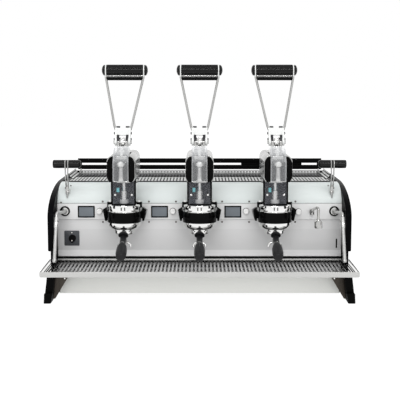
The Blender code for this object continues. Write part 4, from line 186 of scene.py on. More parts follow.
class ControlSizes(bpy.types.PropertyGroup):
    """Sizes of the buttons, displays, wands and steam levers."""

    button_radius: length("Button radius", 0.0103, "Radius of the round buttons")
    display_half: length("Display half width", 0.0300, "Half the width of a display")
    display_rise: length("Display half height", 0.0210, "Half the height of a display")
    switch_half: length("Switch plate half width", 0.0270, "Half the width of the square switch plate")
    wand_radius: length("Wand radius", 0.00575, "Radius of the steam wands' pipe")
    grip_radius: length("Steam grip radius", 0.0148, "Radius of the steam levers' black grips")
    grip_half: length("Steam grip half length", 0.0495, "Half the length of the steam levers' grips")


class LegSizes(bpy.types.PropertyGroup):
    """Sizes of the side leg frames."""

    inner: length("Leg inner X", 0.4965, "Distance of the posts' inner faces from the middle")
    outer: length("Leg outer X", 0.5240, "Distance of the posts' outer faces from the middle")
    front: length("Front leg Y", -0.2300, "Y of the front posts' front faces")
    rear: length("Rear leg Y", 0.2400, "Y of the rear posts' front faces")
    depth: length("Leg depth", 0.0700, "Depth of a post")
    splay: length("Leg splay", 0.0130, "How far the posts lean outwards at the floor")
    boot_height: length("Boot height", 0.0350, "Height of the rubber boots")


class Finishes(bpy.types.PropertyGroup):
    """Colours of the finishes."""

    chrome: colour("Chrome", (0.86, 0.86, 0.85), "Polished metal")
    satin: colour("Satin steel", (0.62, 0.62, 0.61), "Brushed metal")
    arm: colour("Arm steel", (0.50, 0.50, 0.49), "Lever arms and the steam levers' rods")
    yoke: colour("Yoke steel", (0.64, 0.65, 0.64), "Yoke plates, the grips' end plates and the cup tray's floor")
    panel: colour("Upper panel", (0.650, 0.692, 0.684), "Curved upper front panel")
    strip: colour("Control strip", (0.735, 0.737, 0.737), "Control strip")
    lower: colour("Lower panel", (0.800, 0.800, 0.802), "Lower front panel")
    kick: colour("Kick panel", (0.820, 0.828, 0.797), "Kick panel under the drip tray")
    fascia: colour("Fascia", (0.47, 0.47, 0.46), "Front of the drip tray")
    paint: colour("Black paint", (0.0018, 0.0018, 0.0018), "Black enamel on the housings and legs")
    plastic: colour("Black plastic", (0.014, 0.014, 0.015), "Portafilter handles")
    gloss: colour("Gloss plastic", (0.0020, 0.0020, 0.0020), "Heat guards, lever and steam grips, and knobs")
    side: colour("Side panel", (0.0018, 0.0018, 0.0022), "Black side panels")
    display: colour("Display", (0.165, 0.185, 0.205), "Sleeping displays")
    switch: colour("Switch plate", (0.060, 0.064, 0.070), "Square switch plate")
    button: colour("Button", (0.84, 0.84, 0.83), "Round brew and hot water buttons")
    gusset: colour("Gusset", (0.050, 0.042, 0.034), "Gusset plates of the legs")
    accent: colour("Accent", (0.20, 0.68, 0.74), "Small block behind each column window")


class StageSettings(bpy.types.PropertyGroup):
    """Camera and light."""

    lens: FloatProperty(name="Lens", description="Focal length in millimetres", default=90.8, min=20.0)
    camera_x: length("Camera X", 0.0015, "Camera's distance to the right of the machine's middle")
    camera_y: length("Camera Y", -3.6412, "Camera's distance in front of the machine")
    camera_z: length("Camera height", 0.7729, "Camera's height over the floor")
    pitch: FloatProperty(name="Pitch", description="Downward tilt", default=math.radians(6.957), subtype="ANGLE")
    key: FloatProperty(name="Key", description="Power of the front lamp in watts", default=60.0, min=0.0)
    top: FloatProperty(name="Top", description="Power of the top lamp in watts", default=30.0, min=0.0)
    strip: FloatProperty(
        name="Strip", description="Power in watts of the narrow lamp that draws highlights on the blacks",
        default=37.0, min=0.0
    )
    ambient: FloatProperty(name="Ambient", description="Strength of the room's soft light", default=0.75, min=0.0)
    floor_glow: FloatProperty(
        name="Floor glow", description="White that the camera sees of the floor", default=0.97, min=0.0
    )
    floor_bounce: FloatProperty(
        name="Floor bounce", description="White that the pieces see of the floor", default=1.05, min=0.0
    )
    floor_shadow: FloatProperty(
        name="Floor shadow", description="Part of the floor that takes shadows", default=0.16, min=0.0
    )
    card_azimuth: FloatProperty(
        name="Card azimuth", description="Direction of the two front dark cards", default=math.radians(72.0),
        subtype="ANGLE"
    )
    rear_azimuth: FloatProperty(
        name="Rear card azimuth", description="Direction of the two rear dark cards", default=math.radians(140.0),
        subtype="ANGLE"
    )
    card_width: length("Card width", 0.9, "Width of the two front dark cards")


# ---------------------------------------------------------------- surfaces


def unit(vectors):
    """Each row over its own length."""
    return vectors / np.maximum(np.linalg.norm(vectors, axis=-1, keepdims=True), 1e-12)


def distinct(points, closed=True):
    """The line without a point that repeats the one before it."""
    keep = np.linalg.norm(points - np.roll(points, 1, 0), axis=1) > 1e-7
    keep[0] |= not closed
    return points[keep]


def fillet(corners, radius, steps=5, closed=True):
    """Rounded corners: from A = C + cut*back to B = C + cut*ahead the line is (1-t)^2 A + 2t(1-t) C + t^2 B,
    where cut = radius / tan(half the corner's angle)."""
    corners = np.asarray(corners, float)
    before, after = np.roll(corners, 1, 0) - corners, np.roll(corners, -1, 0) - corners
    reach = np.minimum(np.linalg.norm(before, axis=1), np.linalg.norm(after, axis=1))
    back, ahead = unit(before), unit(after)
    half = 0.5 * np.arccos(np.clip((back * ahead).sum(1), -1.0, 1.0))
    cut = np.minimum(np.broadcast_to(radius, len(corners)) / np.tan(np.maximum(half, 1e-3)), 0.48 * reach)
    if not closed:
        cut[[0, -1]] = 0.0
    cut = cut[:, None]
    t = np.linspace(0.0, 1.0, steps + 1)[None, :, None]
    start, end = (corners + cut * back)[:, None], (corners + cut * ahead)[:, None]
    points = (1 - t) ** 2 * start + 2 * t * (1 - t) * corners[:, None] + t**2 * end
    return distinct(points.reshape(-1, corners.shape[1]), closed)


def arc(centre, radii, start, stop, steps):
    """Part of an ellipse: centre + (a cos t, b sin t), t in degrees."""
    t = np.radians(np.linspace(start, stop, steps + 1))
    return np.column_stack((centre[0] + radii[0] * np.cos(t), centre[1] + radii[1] * np.sin(t)))


def block(low, high):
    """The four corners of a rectangle."""
    return [(low[0], low[1]), (high[0], low[1]), (high[0], high[1]), (low[0], high[1])]


def grid(points, wrap_rows=False, wrap_columns=False):
    """Skin on a table of points: face (i, j) joins (i, j), (i+1, j), (i+1, j+1) and (i, j+1)."""
    rows, columns = points.shape[:2]
    i = np.arange(rows if wrap_rows else rows - 1)[:, None]
    j = np.arange(columns if wrap_columns else columns - 1)[None, :]
    below, beside = (i + 1) % rows, (j + 1) % columns
    faces = (i * columns + j, below * columns + j, below * columns + beside, i * columns + beside)
    return points.reshape(-1, 3), [np.stack(faces, -1).reshape(-1, 4)]


def loft(loops, ends=True):
    """Skin through closed loops of equal count, with a face on each end."""
    loops = np.asarray(loops, float)
    points, faces = grid(loops, wrap_columns=True)
    if ends:
        count = loops.shape[1]
        faces = faces + [np.arange(count)[None, ::-1], np.arange(count)[None] + len(points) - count]
    return points, faces


def turned(profile, sides=64, closed=False, span=(0.0, 360.0)):
    """Lathe: point (t, a) is (r(t) cos a, r(t) sin a, z(t)); a closed profile may stop short of a full turn."""
    profile = np.asarray(profile, float)
    whole = span[1] - span[0] >= 360.0
    a = np.radians(np.linspace(span[0], span[1], sides + 1))[: sides if whole else None]
    r, z = profile[:, :1], profile[:, 1:]
    points = np.stack((r * np.cos(a), r * np.sin(a), np.broadcast_to(z, (len(r), len(a)))), -1)
    if whole:
        return grid(points, wrap_rows=closed, wrap_columns=True)
    return loft(points.transpose(1, 0, 2))


def joined(*shells):
    """One shell from several."""
    points, faces, base = [], [], 0
    for shell_points, shell_faces in shells:
        points.append(shell_points)
        faces += [rows + base for rows in shell_faces]
        base += len(shell_points)
    return np.concatenate(points), faces


def moved(shell, x=0.0, y=0.0, z=0.0):
    """The shell shifted by (x, y, z)."""
    return shell[0] + np.array((x, y, z)), shell[1]


def mirrored(shell):
    """The shell with x turned to -x."""
    return shell[0] * np.array((-1.0, 1.0, 1.0)), shell[1]


def both_sides(shell):
    """The shell and its mirror image in x."""
    return joined(shell, mirrored(shell))


def unturned(shell):
    """The shell as it is, for the right side."""
    return shell


HANDED = (("right", 1.0, unturned), ("left", -1.0, mirrored))


def along_x(shell):
    """(x, y, z) goes to (z, x, y): an outline in Y and Z gets its thickness along X."""
    return shell[0][:, [2, 0, 1]], shell[1]


def along_y(shell):
    """(x, y, z) goes to (x, z, y): an outline in X and Z gets its thickness along Y."""
    return shell[0][:, [0, 2, 1]], shell[1]


def facing_front(shell):
    """(x, y, z) goes to (x, -z, y): an outline in X and Z grows towards the front."""
    x, y, z = shell[0].T
    return np.column_stack((x, -z, y)), shell[1]


def aimed(shell, along, place):
    """The shell with its Z axis turned to w = `along`, X to u = w x Z and Y to w x u, then carried to a place."""
    w = unit(np.asarray(along, float))
    u = unit(np.cross(w, (0.0, 0.0, 1.0)))
    return shell[0] @ np.stack((u, np.cross(w, u), w)) + np.asarray(place, float), shell[1]


def leaning(shell, angle, pivot):
    """The shell turned by angle about the X axis, then carried to the pivot."""
    c, s = math.cos(angle), math.sin(angle)
    x, y, z = shell[0].T
    return np.column_stack((x, c * y - s * z, s * y + c * z)) + np.array(pivot), shell[1]


def anticlockwise(outline):
    """The outline in anticlockwise order, from the sign of its area."""
    x, y = outline.T
    area = (x * np.roll(y, -1) - y * np.roll(x, -1)).sum()
    return outline if area > 0 else outline[::-1]


def inset(outline, distance):
    """Closed outline drawn in: each point moves along the mean inward normal n of its two edges by distance / (n .
    edge normal)."""
    ahead = unit(np.roll(outline, -1, 0) - outline)
    ahead = np.column_stack((-ahead[:, 1], ahead[:, 0]))
    mean = unit(ahead + np.roll(ahead, 1, 0))
    return outline + mean * distance / np.maximum((mean * ahead).sum(1, keepdims=True), 0.35)


def rounding(bevel, steps=3):
    """Quarter circle as pairs (drawn in, risen): b(1 - sin a), b(1 - cos a)."""
    a = np.linspace(0.0, np.pi / 2, steps + 1)
    return list(zip(bevel * (1 - np.sin(a)), bevel * (1 - np.cos(a))))


def slab(outline, low, high, bevel=0.0006, steps=2):
    """Plate with rounded edges between two heights."""
    outline = anticlockwise(np.asarray(outline, float))
    levels = [(draw, low + rise) for draw, rise in rounding(bevel, steps)]
    levels += [(draw, high - rise) for draw, rise in reversed(rounding(bevel, steps))]
    return loft([np.column_stack((inset(outline, draw), np.full(len(outline), z))) for draw, z in levels])


def brick(low, high, bevel=0.0008, corner=0.001, steps=2):
    """Block with rounded edges."""
    return slab(fillet(block(low[:2], high[:2]), corner, 3), low[2], high[2], bevel, steps)


def rim(outline, width, low, high, bevel=0.0004):
    """Flat frame: the outline and itself drawn in by width, joined over the top and underneath."""
    outline = anticlockwise(np.asarray(outline, float))
    section = (
        (0.0, low), (0.0, high - bevel), (bevel, high), (width - bevel, high), (width, high - bevel), (width, low),
    )
    loops = [np.column_stack((inset(outline, draw), np.full(len(outline), z))) for draw, z in section]
    return grid(np.array(loops), wrap_rows=True, wrap_columns=True)


def tube(path, radius, sides=18, across=(1.0, 0.0, 0.0), edge=0.0):
    """Bar along a path: point (s, a) is P(s) + r(s)(u cos a + v sin a), u square to the path and nearest to
    `across`, v square to both. Each end is rounded over `edge`."""
    path = distinct(np.asarray(path, float), False)
    radius = np.array(np.broadcast_to(radius, len(path)), float)
    along = unit(np.gradient(path, axis=0))
    if edge:
        draw, rise = (np.array(column)[:, None] for column in zip(*rounding(edge)))
        path = np.concatenate((path[:1] + along[:1] * rise, path[1:-1], path[-1:] - along[-1:] * rise[::-1]))
        radius = np.concatenate((radius[0] - draw[:, 0], radius[1:-1], radius[-1] - draw[::-1, 0]))
        along = np.concatenate(
            (np.repeat(along[:1], len(draw), 0), along[1:-1], np.repeat(along[-1:], len(draw), 0))
        )
    across = np.broadcast_to(np.asarray(across, float), along.shape)
    u = unit(across - along * (across * along).sum(1, keepdims=True))
    v = np.cross(along, u)
    a = np.arange(sides) * (2 * np.pi / sides)
    ring = u[:, None] * np.cos(a)[None, :, None] + v[:, None] * np.sin(a)[None, :, None]
    return loft(path[:, None] + radius[:, None, None] * ring)


def rod(start, end, radius, sides=24, edge=0.0004):
    """Straight round bar with rounded ends."""
    across = (
        0.0, 1.0, 0.0
    ) if abs(end[0] - start[0]) > abs(end[1] - start[1]) + abs(end[2] - start[2]) else (1.0, 0.0, 0.0)
    return tube([start, end], radius, sides, across, edge)


def folded(path, thickness):
    """Bent sheet as a closed outline: the path, and back along the path shifted by thickness to its right."""
    path = np.asarray(path, float)
    along = unit(np.gradient(path, axis=0))
    return np.concatenate((path, (path + thickness * np.column_stack((along[:, 1], -along[:, 0])))[::-1]))


def slotted(centres, cell, slot, corner, low, high, bevel=0.0004):
    """Plate with a slot in each cell. In quarter q, loop point k is at the slot's corner + r(cos t, sin t), and
    the cell's
    border point is its middle carried round the corner, so that neighbours share their border points."""
    share, turn = np.array((1, 3, 5)) / 6.0, np.radians((0.0, 45.0, 90.0))
    border = np.column_stack((np.minimum(1.0, 2 - 2 * share), np.minimum(1.0, 2 * share)))
    bend = np.column_stack((np.cos(turn), np.sin(turn)))
    signs = np.array(((1, 1), (-1, 1), (-1, -1), (1, -1)), float)
    order = (slice(None), slice(None, None, -1), slice(None), slice(None, None, -1))
    centres, cell = np.asarray(centres, float)[:, None], np.asarray(cell, float) / 2
    slot = np.broadcast_to(np.asarray(slot, float) / 2, (len(centres), 2))[:, None]
    outer = np.concatenate([(border * s)[o] for s, o in zip(signs, order)])[None] * cell + centres
    nook = slot - corner

    def hole(grow):
        """Slot loop, larger by grow."""
        return centres + np.concatenate(
            [(nook * s + (bend * (corner + grow) * s))[:, o] for s, o in zip(signs, order)], axis=1
        )

    levels = ((outer, high), (hole(bevel), high), (hole(0.0), high - bevel), (hole(0.0), low), (outer, low))
    table = np.stack([np.dstack((loop, np.full(loop.shape[:2], z))) for loop, z in levels], axis=1)
    count, rows, columns = table.shape[:3]
    _, faces = grid(table[0], wrap_columns=True)
    faces = (faces[0][None] + (np.arange(count) * rows * columns)[:, None, None]).reshape(-1, 4)
    return table.reshape(-1, 3), [faces]


def helix(radius, wire, low, high, turns, sides=10, per_turn=28):
    """Coil: (R cos a, R sin a, z(a)), with a flat half turn at each end."""
    steps = int((turns + 1) * per_turn)
    a = np.linspace(0.0, 2 * np.pi * (turns + 1), steps + 1)
    share = np.clip((a - np.pi) / (2 * np.pi * turns), 0.0, 1.0)
    z = low + wire + (high - low - 2 * wire) * share
    path = np.column_stack((radius * np.cos(a), radius * np.sin(a), z))
    return tube(path, wire, sides, (0.0, 0.0, 1.0), wire * 0.3)


def screw_head(radius, height, recess=0.45):
    """Low domed head with a round recess, standing on z = 0."""
    dome = arc((0.0, 0.0), (radius, height), 0, 62, 4)
    inner = recess * radius
    return turned(
        np.concatenate((dome, [(inner, dome[-1, 1]), (inner * 0.92, height * 0.35), (0.0, height * 0.3)])), 20
    )


def dome(radius, height):
    """Profile of a low dome standing on z = 0."""
    return np.concatenate(([(0.0, 0.0)], arc((0.0, 0.0), (radius, height), 0, 90, 6)))


def disc_profile(radius, height):
    """Flat disc with a rounded edge."""
    return [(0.0, 0.0), (radius, 0.0), (radius, height * 0.6), (radius * 0.9, height), (0.0, height)]


# ---------------------------------------------------------------- materials


def new_material(name):
    """Empty node material and its Principled shader."""
    material = bpy.data.materials.new(name)
    material.use_nodes = True
    tree = material.node_tree
    tree.nodes.clear()
    output = tree.nodes.new("ShaderNodeOutputMaterial")
    shader = tree.nodes.new("ShaderNodeBsdfPrincipled")
    tree.links.new(shader.outputs["BSDF"], output.inputs["Surface"])
    return material, tree, shader


def object_noise(tree, scale, size=1.0, detail=4.0):
    """Noise on Object coordinates stretched by scale."""
    place = tree.nodes.new("ShaderNodeTexCoord")
    mapping = tree.nodes.new("ShaderNodeMapping")
    mapping.inputs["Scale"].default_value = scale
    noise = tree.nodes.new("ShaderNodeTexNoise")
    noise.inputs["Scale"].default_value = size
    noise.inputs["Detail"].default_value = detail
    tree.links.new(place.outputs["Object"], mapping.inputs["Vector"])
    tree.links.new(mapping.outputs["Vector"], noise.inputs["Vector"])
    return noise


def spread(tree, source, low, high):
    """Maps a 0.3 to 0.7 value onto low to high."""
    node = tree.nodes.new("ShaderNodeMapRange")
    node.inputs["From Min"].default_value = 0.3
    node.inputs["From Max"].default_value = 0.7
    node.inputs["To Min"].default_value = low
    node.inputs["To Max"].default_value = high
    tree.links.new(source, node.inputs["Value"])
    return node.outputs["Result"]


def paint_light_bands(tree, tone, painted_light_bands, axis, step):
    """Painted light and shade: the tone times a ramp through (place in metres along an axis of Object, strength)."""
    place, split = tree.nodes.new("ShaderNodeTexCoord"), tree.nodes.new("ShaderNodeSeparateXYZ")
    scaled, ramp, mix = (tree.nodes.new(f"ShaderNode{kind}") for kind in ("MapRange", "ValToRGB", "MixRGB"))
    places = [at for at, _ in painted_light_bands]
    scaled.inputs["From Min"].default_value, scaled.inputs["From Max"].default_value = places[0], places[-1]
    ramp.color_ramp.interpolation = "CONSTANT" if step else "LINEAR"
    for number, (at, strength) in enumerate(painted_light_bands):
        share = (at - places[0]) / (places[-1] - places[0])
        mark = ramp.color_ramp.elements[number] if number < 2 else ramp.color_ramp.elements.new(share)
        mark.position, mark.color = share, (strength, strength, strength, 1.0)
    mix.blend_type = "MULTIPLY"
    mix.inputs["Fac"].default_value = 1.0
    tree.links.new(place.outputs["Object"], split.inputs["Vector"])
    tree.links.new(split.outputs[axis], scaled.inputs["Value"])
    tree.links.new(scaled.outputs["Result"], ramp.inputs["Fac"])
    tree.links.new(tone, mix.inputs["Color1"])
    tree.links.new(ramp.outputs["Color"], mix.inputs["Color2"])
    return mix.outputs["Color"]


def finish(name, tone, metal=0.0, rough=(0.3, 0.4), grain=(90.0, 90.0, 90.0), variation=0.04, bump=0.0,
           distance=0.0002, specular=0.5, painted_light_bands=None, axis="Z", step=False):
    """Colour shifts slowly over the piece, roughness follows a finer grain, and bump the same grain. Painted light
    bands give the tone's strength at places along one axis of Object: painted shade and painted reflections."""
    material, tree, shader = new_material(name)
    shader.inputs["Metallic"].default_value = metal
    shader.inputs["Specular IOR Level"].default_value = specular
    cloud = object_noise(tree, (9.0, 9.0, 9.0))
    ramp = tree.nodes.new("ShaderNodeValToRGB")
    dark = [max(0.0, c * (1 - variation)) for c in tone]
    light = [min(1.0, c * (1 + variation)) for c in tone]
    ramp.color_ramp.elements[0].position = 0.3
    ramp.color_ramp.elements[0].color = (*dark, 1.0)
    ramp.color_ramp.elements[1].position = 0.7
    ramp.color_ramp.elements[1].color = (*light, 1.0)
    tree.links.new(cloud.outputs["Fac"], ramp.inputs["Fac"])
    colour_out = ramp.outputs["Color"]
    if painted_light_bands:
        colour_out = paint_light_bands(tree, colour_out, painted_light_bands, axis, step)
    tree.links.new(colour_out, shader.inputs["Base Color"])
    fine = object_noise(tree, grain)
    tree.links.new(spread(tree, fine.outputs["Fac"], *rough), shader.inputs["Roughness"])
    if bump:
        node = tree.nodes.new("ShaderNodeBump")
        node.inputs["Strength"].default_value = bump
        node.inputs["Distance"].default_value = distance
        tree.links.new(fine.outputs["Fac"], node.inputs["Height"])
        tree.links.new(node.outputs["Normal"], shader.inputs["Normal"])
    return material


def clear_finish(name, tone, edge, base_alpha, edge_alpha, rough=0.06):
    """Clear sheet: nearly see-through face on; where it turns away from the camera it grows lighter and more opaque,
    a painted sheen.
    """
    material, tree, shader = new_material(name)
    weight = tree.nodes.new("ShaderNodeLayerWeight")
    weight.inputs["Blend"].default_value = 0.35
    ramp = tree.nodes.new("ShaderNodeValToRGB")
    ramp.color_ramp.elements[0].position = 0.05
    ramp.color_ramp.elements[0].color = (*tone, 1.0)
    ramp.color_ramp.elements[1].position = 0.85
    ramp.color_ramp.elements[1].color = (*edge, 1.0)
    alpha = tree.nodes.new("ShaderNodeMapRange")
    alpha.inputs["To Min"].default_value = base_alpha
    alpha.inputs["To Max"].default_value = edge_alpha
    cloud = object_noise(tree, (60.0, 60.0, 60.0))
    tree.links.new(weight.outputs["Facing"], ramp.inputs["Fac"])
    tree.links.new(weight.outputs["Facing"], alpha.inputs["Value"])
    tree.links.new(ramp.outputs["Color"], shader.inputs["Base Color"])
    tree.links.new(alpha.outputs["Result"], shader.inputs["Alpha"])
    tree.links.new(spread(tree, cloud.outputs["Fac"], rough, rough + 0.06), shader.inputs["Roughness"])
    shader.inputs["Specular IOR Level"].default_value = 0.25
    return material


LOOKS = {}


def make_finishes(tones):
    """Fills LOOKS with every finish of the machine."""
    fine = (900.0, 900.0, 900.0)
    soft = (300.0, 300.0, 300.0)
    LOOKS.update(
        chrome=finish("polished_chrome", tones.chrome, 1.0, (0.03, 0.08), (40.0, 40.0, 40.0), 0.03),
        satin=finish("satin_steel", tones.satin, 1.0, (0.24, 0.40), (5.0, 700.0, 700.0), 0.05, 0.12, distance=0.0001),
        bright=finish("bright_steel", tones.chrome, 1.0, (0.07, 0.13), (5.0, 500.0, 500.0), 0.04),
        arm=finish("arm_steel", tones.arm, 1.0, (0.16, 0.26), (60.0, 60.0, 9.0), 0.05),
        yoke=finish("yoke_steel", tones.yoke, 0.0, (0.30, 0.42), (5.0, 400.0, 400.0), 0.03),
        panel=finish("pale_panel", tones.panel, 0.0, (0.30, 0.42), (7.0, 300.0, 300.0), 0.012, specular=0.12),
        strip=finish("brushed_panel", tones.strip, 0.0, (0.34, 0.46), (5.0, 500.0, 500.0), 0.012, specular=0.12),
        # Lower panel: darker between 0.16 and 0.235 m high, painted reflection bands in the steel.
        lower=finish("lower_panel_steel", tones.lower, 0.0, (0.34, 0.46), (5.0, 500.0, 500.0), 0.008, specular=0.12,
                     painted_light_bands=[
                         (0.135, 1.0), (0.1595, 1.0), (0.1605, 0.80), (0.2350, 0.80), (0.2358, 0.845), (0.270, 0.85)
                     ]),
        # Kick panel: darker towards the floor, painted shade that evens out the light under the tray.
        kick=finish("kick_panel_steel", tones.kick, 0.0, (0.40, 0.52), (5.0, 500.0, 500.0), 0.008, specular=0.10,
                    painted_light_bands=[(0.013, 0.76), (0.060, 0.84), (0.108, 1.0)]),
        fascia=finish(
            "fascia_steel", tones.fascia, 0.25, (0.34, 0.46), (5.0, 500.0, 500.0), 0.03, 0.05, distance=0.0001
        ),
        paint=finish(
            "black_paint", tones.paint, 0.0, (0.26, 0.36), fine, 0.15, 0.04, distance=0.0001, specular=0.035
        ),
        plastic=finish(
            "black_plastic", tones.plastic, 0.0, (0.32, 0.44), soft, 0.12, 0.06, distance=0.0001, specular=0.13
        ),
        gloss=finish("gloss_plastic", tones.gloss, 0.0, (0.14, 0.22), (200.0,) * 3, 0.1, specular=0.05),
        grip=finish("grip_rubber", tones.gloss, 0.0, (0.17, 0.20), (200.0,) * 3, 0.05, specular=0.26),
        # Drip pan: darker towards the rear, painted shade under the groups and the panel.
        pan=finish("pan_steel", tones.chrome, 0.0, (0.24, 0.40), (5.0, 500.0, 500.0), 0.05, axis="Y",
                   painted_light_bands=[
                       (-0.330, 1.0), (-0.275, 0.90), (-0.262, 0.45), (-0.205, 0.35), (-0.190, 0.05), (-0.087, 0.04)
                   ]),
        side=finish("side_panel_black", tones.side, 0.0, (0.30, 0.38), fine, 0.12, specular=0.02),
        rubber=finish(
            "boot_rubber", (0.0020, 0.0020, 0.0020), 0.0, (0.5, 0.7), fine, 0.2, 0.1, distance=0.0002, specular=0.04
        ),
        display=finish("sleeping_display", tones.display, 0.0, (0.12, 0.20), (60.0,) * 3, 0.05, specular=0.2),
        switch=finish("switch_plate_grey", tones.switch, 0.0, (0.30, 0.45), (120.0,) * 3, 0.12, specular=0.3),
        spring=finish("spring_steel", (0.42, 0.42, 0.43), 1.0, (0.22, 0.36), soft, 0.08),
        brass=finish("boiler_brass", (0.55, 0.38, 0.18), 1.0, (0.28, 0.42), (60.0,) * 3, 0.1),
        frame=finish(
            "frame_paint", (0.030, 0.030, 0.031), 0.0, (0.4, 0.55), fine, 0.15, 0.15, distance=0.0001, specular=0.3
        ),
        # Black for the dark panel joints, and for insets standing in for holes: painted shade of the openings.
        dark=finish("dark_hollow", (0.003, 0.003, 0.003), 0.0, (0.5, 0.6), fine, 0.1, specular=0.1),
        accent=finish("accent_block", tones.accent, 0.0, (0.35, 0.45), (120.0,) * 3, 0.06, specular=0.2),
        sleeve=finish("pale_sleeve", (0.74, 0.73, 0.70), 0.0, (0.35, 0.5), (200.0,) * 3, 0.05),
        pale=finish("pale_button", tones.button, 0.0, (0.22, 0.32), (200.0,) * 3, 0.03),
        screw=finish("screw_steel", (0.16, 0.145, 0.135), 1.0, (0.30, 0.45), (200.0,) * 3, 0.15),
        gusset=finish("gusset_steel", tones.gusset, 0.4, (0.34, 0.5), (8.0, 200.0, 200.0), 0.12, specular=0.3),
        # Drip grate: its rear rows are darker, painted shade under the groups; the rear strip is light again.
        grate=finish("grate_steel", tones.chrome, 1.0, (0.09, 0.15), (5.0, 500.0, 500.0), 0.04, axis="Y",
                     painted_light_bands=[
                         (-0.330, 1.0), (-0.275, 0.95), (-0.262, 0.62), (-0.202, 0.55), (-0.190, 0.12),
                         (-0.1076, 0.08), (-0.1066, 0.85), (-0.085, 0.85)
                     ]),
        mesh=finish("tray_mesh_steel", (0.055, 0.055, 0.058), 1.0, (0.30, 0.45), soft, 0.1),
        # Nose cover: lighter and more opaque where it turns away from the camera, a painted sheen.
        cover=clear_finish("clear_cover", (0.50, 0.51, 0.52), (0.90, 0.91, 0.92), 0.14, 0.86),
        # Column window: its grey-blue tone is a painted reflection in the glass, and it is lighter at a slant, a
        # painted sheen.
        window=clear_finish("column_glass", (0.28, 0.29, 0.32), (0.42, 0.43, 0.46), 0.13, 0.55, 0.04),
    )


def make_piece(name, shell, look, body="machine", replaces=(), crease=38.0):
    """Puts a shell into a mesh, merges its doubles, turns its faces outwards, hangs it on its body and hides the CAD
    parts it replaces.
    """
    points, faces = shell
    mesh = bpy.data.meshes.new(name)
    mesh.from_pydata(points.tolist(), [], [face for rows in faces for face in rows.tolist()])
    work = bmesh.new()
    work.from_mesh(mesh)
    bmesh.ops.remove_doubles(work, verts=work.verts, dist=2e-6)
    bmesh.ops.dissolve_degenerate(work, dist=1e-7, edges=work.edges)
    bmesh.ops.recalc_face_normals(work, faces=work.faces)
    work.to_mesh(mesh)
    work.free()
    mesh.shade_smooth()
    mesh.set_sharp_from_angle(angle=math.radians(crease))
    mesh.materials.append(LOOKS[look])
    piece = bpy.data.objects.new(name, mesh)
    bpy.context.scene.collection.objects.link(piece)
    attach(piece, body)
    if replaces:
        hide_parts(replaces)
    return piece


def at_groups(name, shell, look, replaces=None, body="machine", crease=38.0):
    """The same piece at each group; {} in a name stands for the group's number."""
    for number, x in enumerate(GROUP_X, 1):
        make_piece(
            f"{name}_{number}", moved(shell, x), look, body.format(number),
            replaces.format(number) if replaces else (), crease=crease,
        )


def coat_node(node, look):
    """Gives a carried-over CAD node one of the finishes."""
    slots = frame["nodes"][node].material_slots
    for place in slots:
        place.material = LOOKS[look]
    if not len(slots):
        frame["nodes"][node].data.materials.append(LOOKS[look])


# ---------------------------------------------------------------- brewing groups


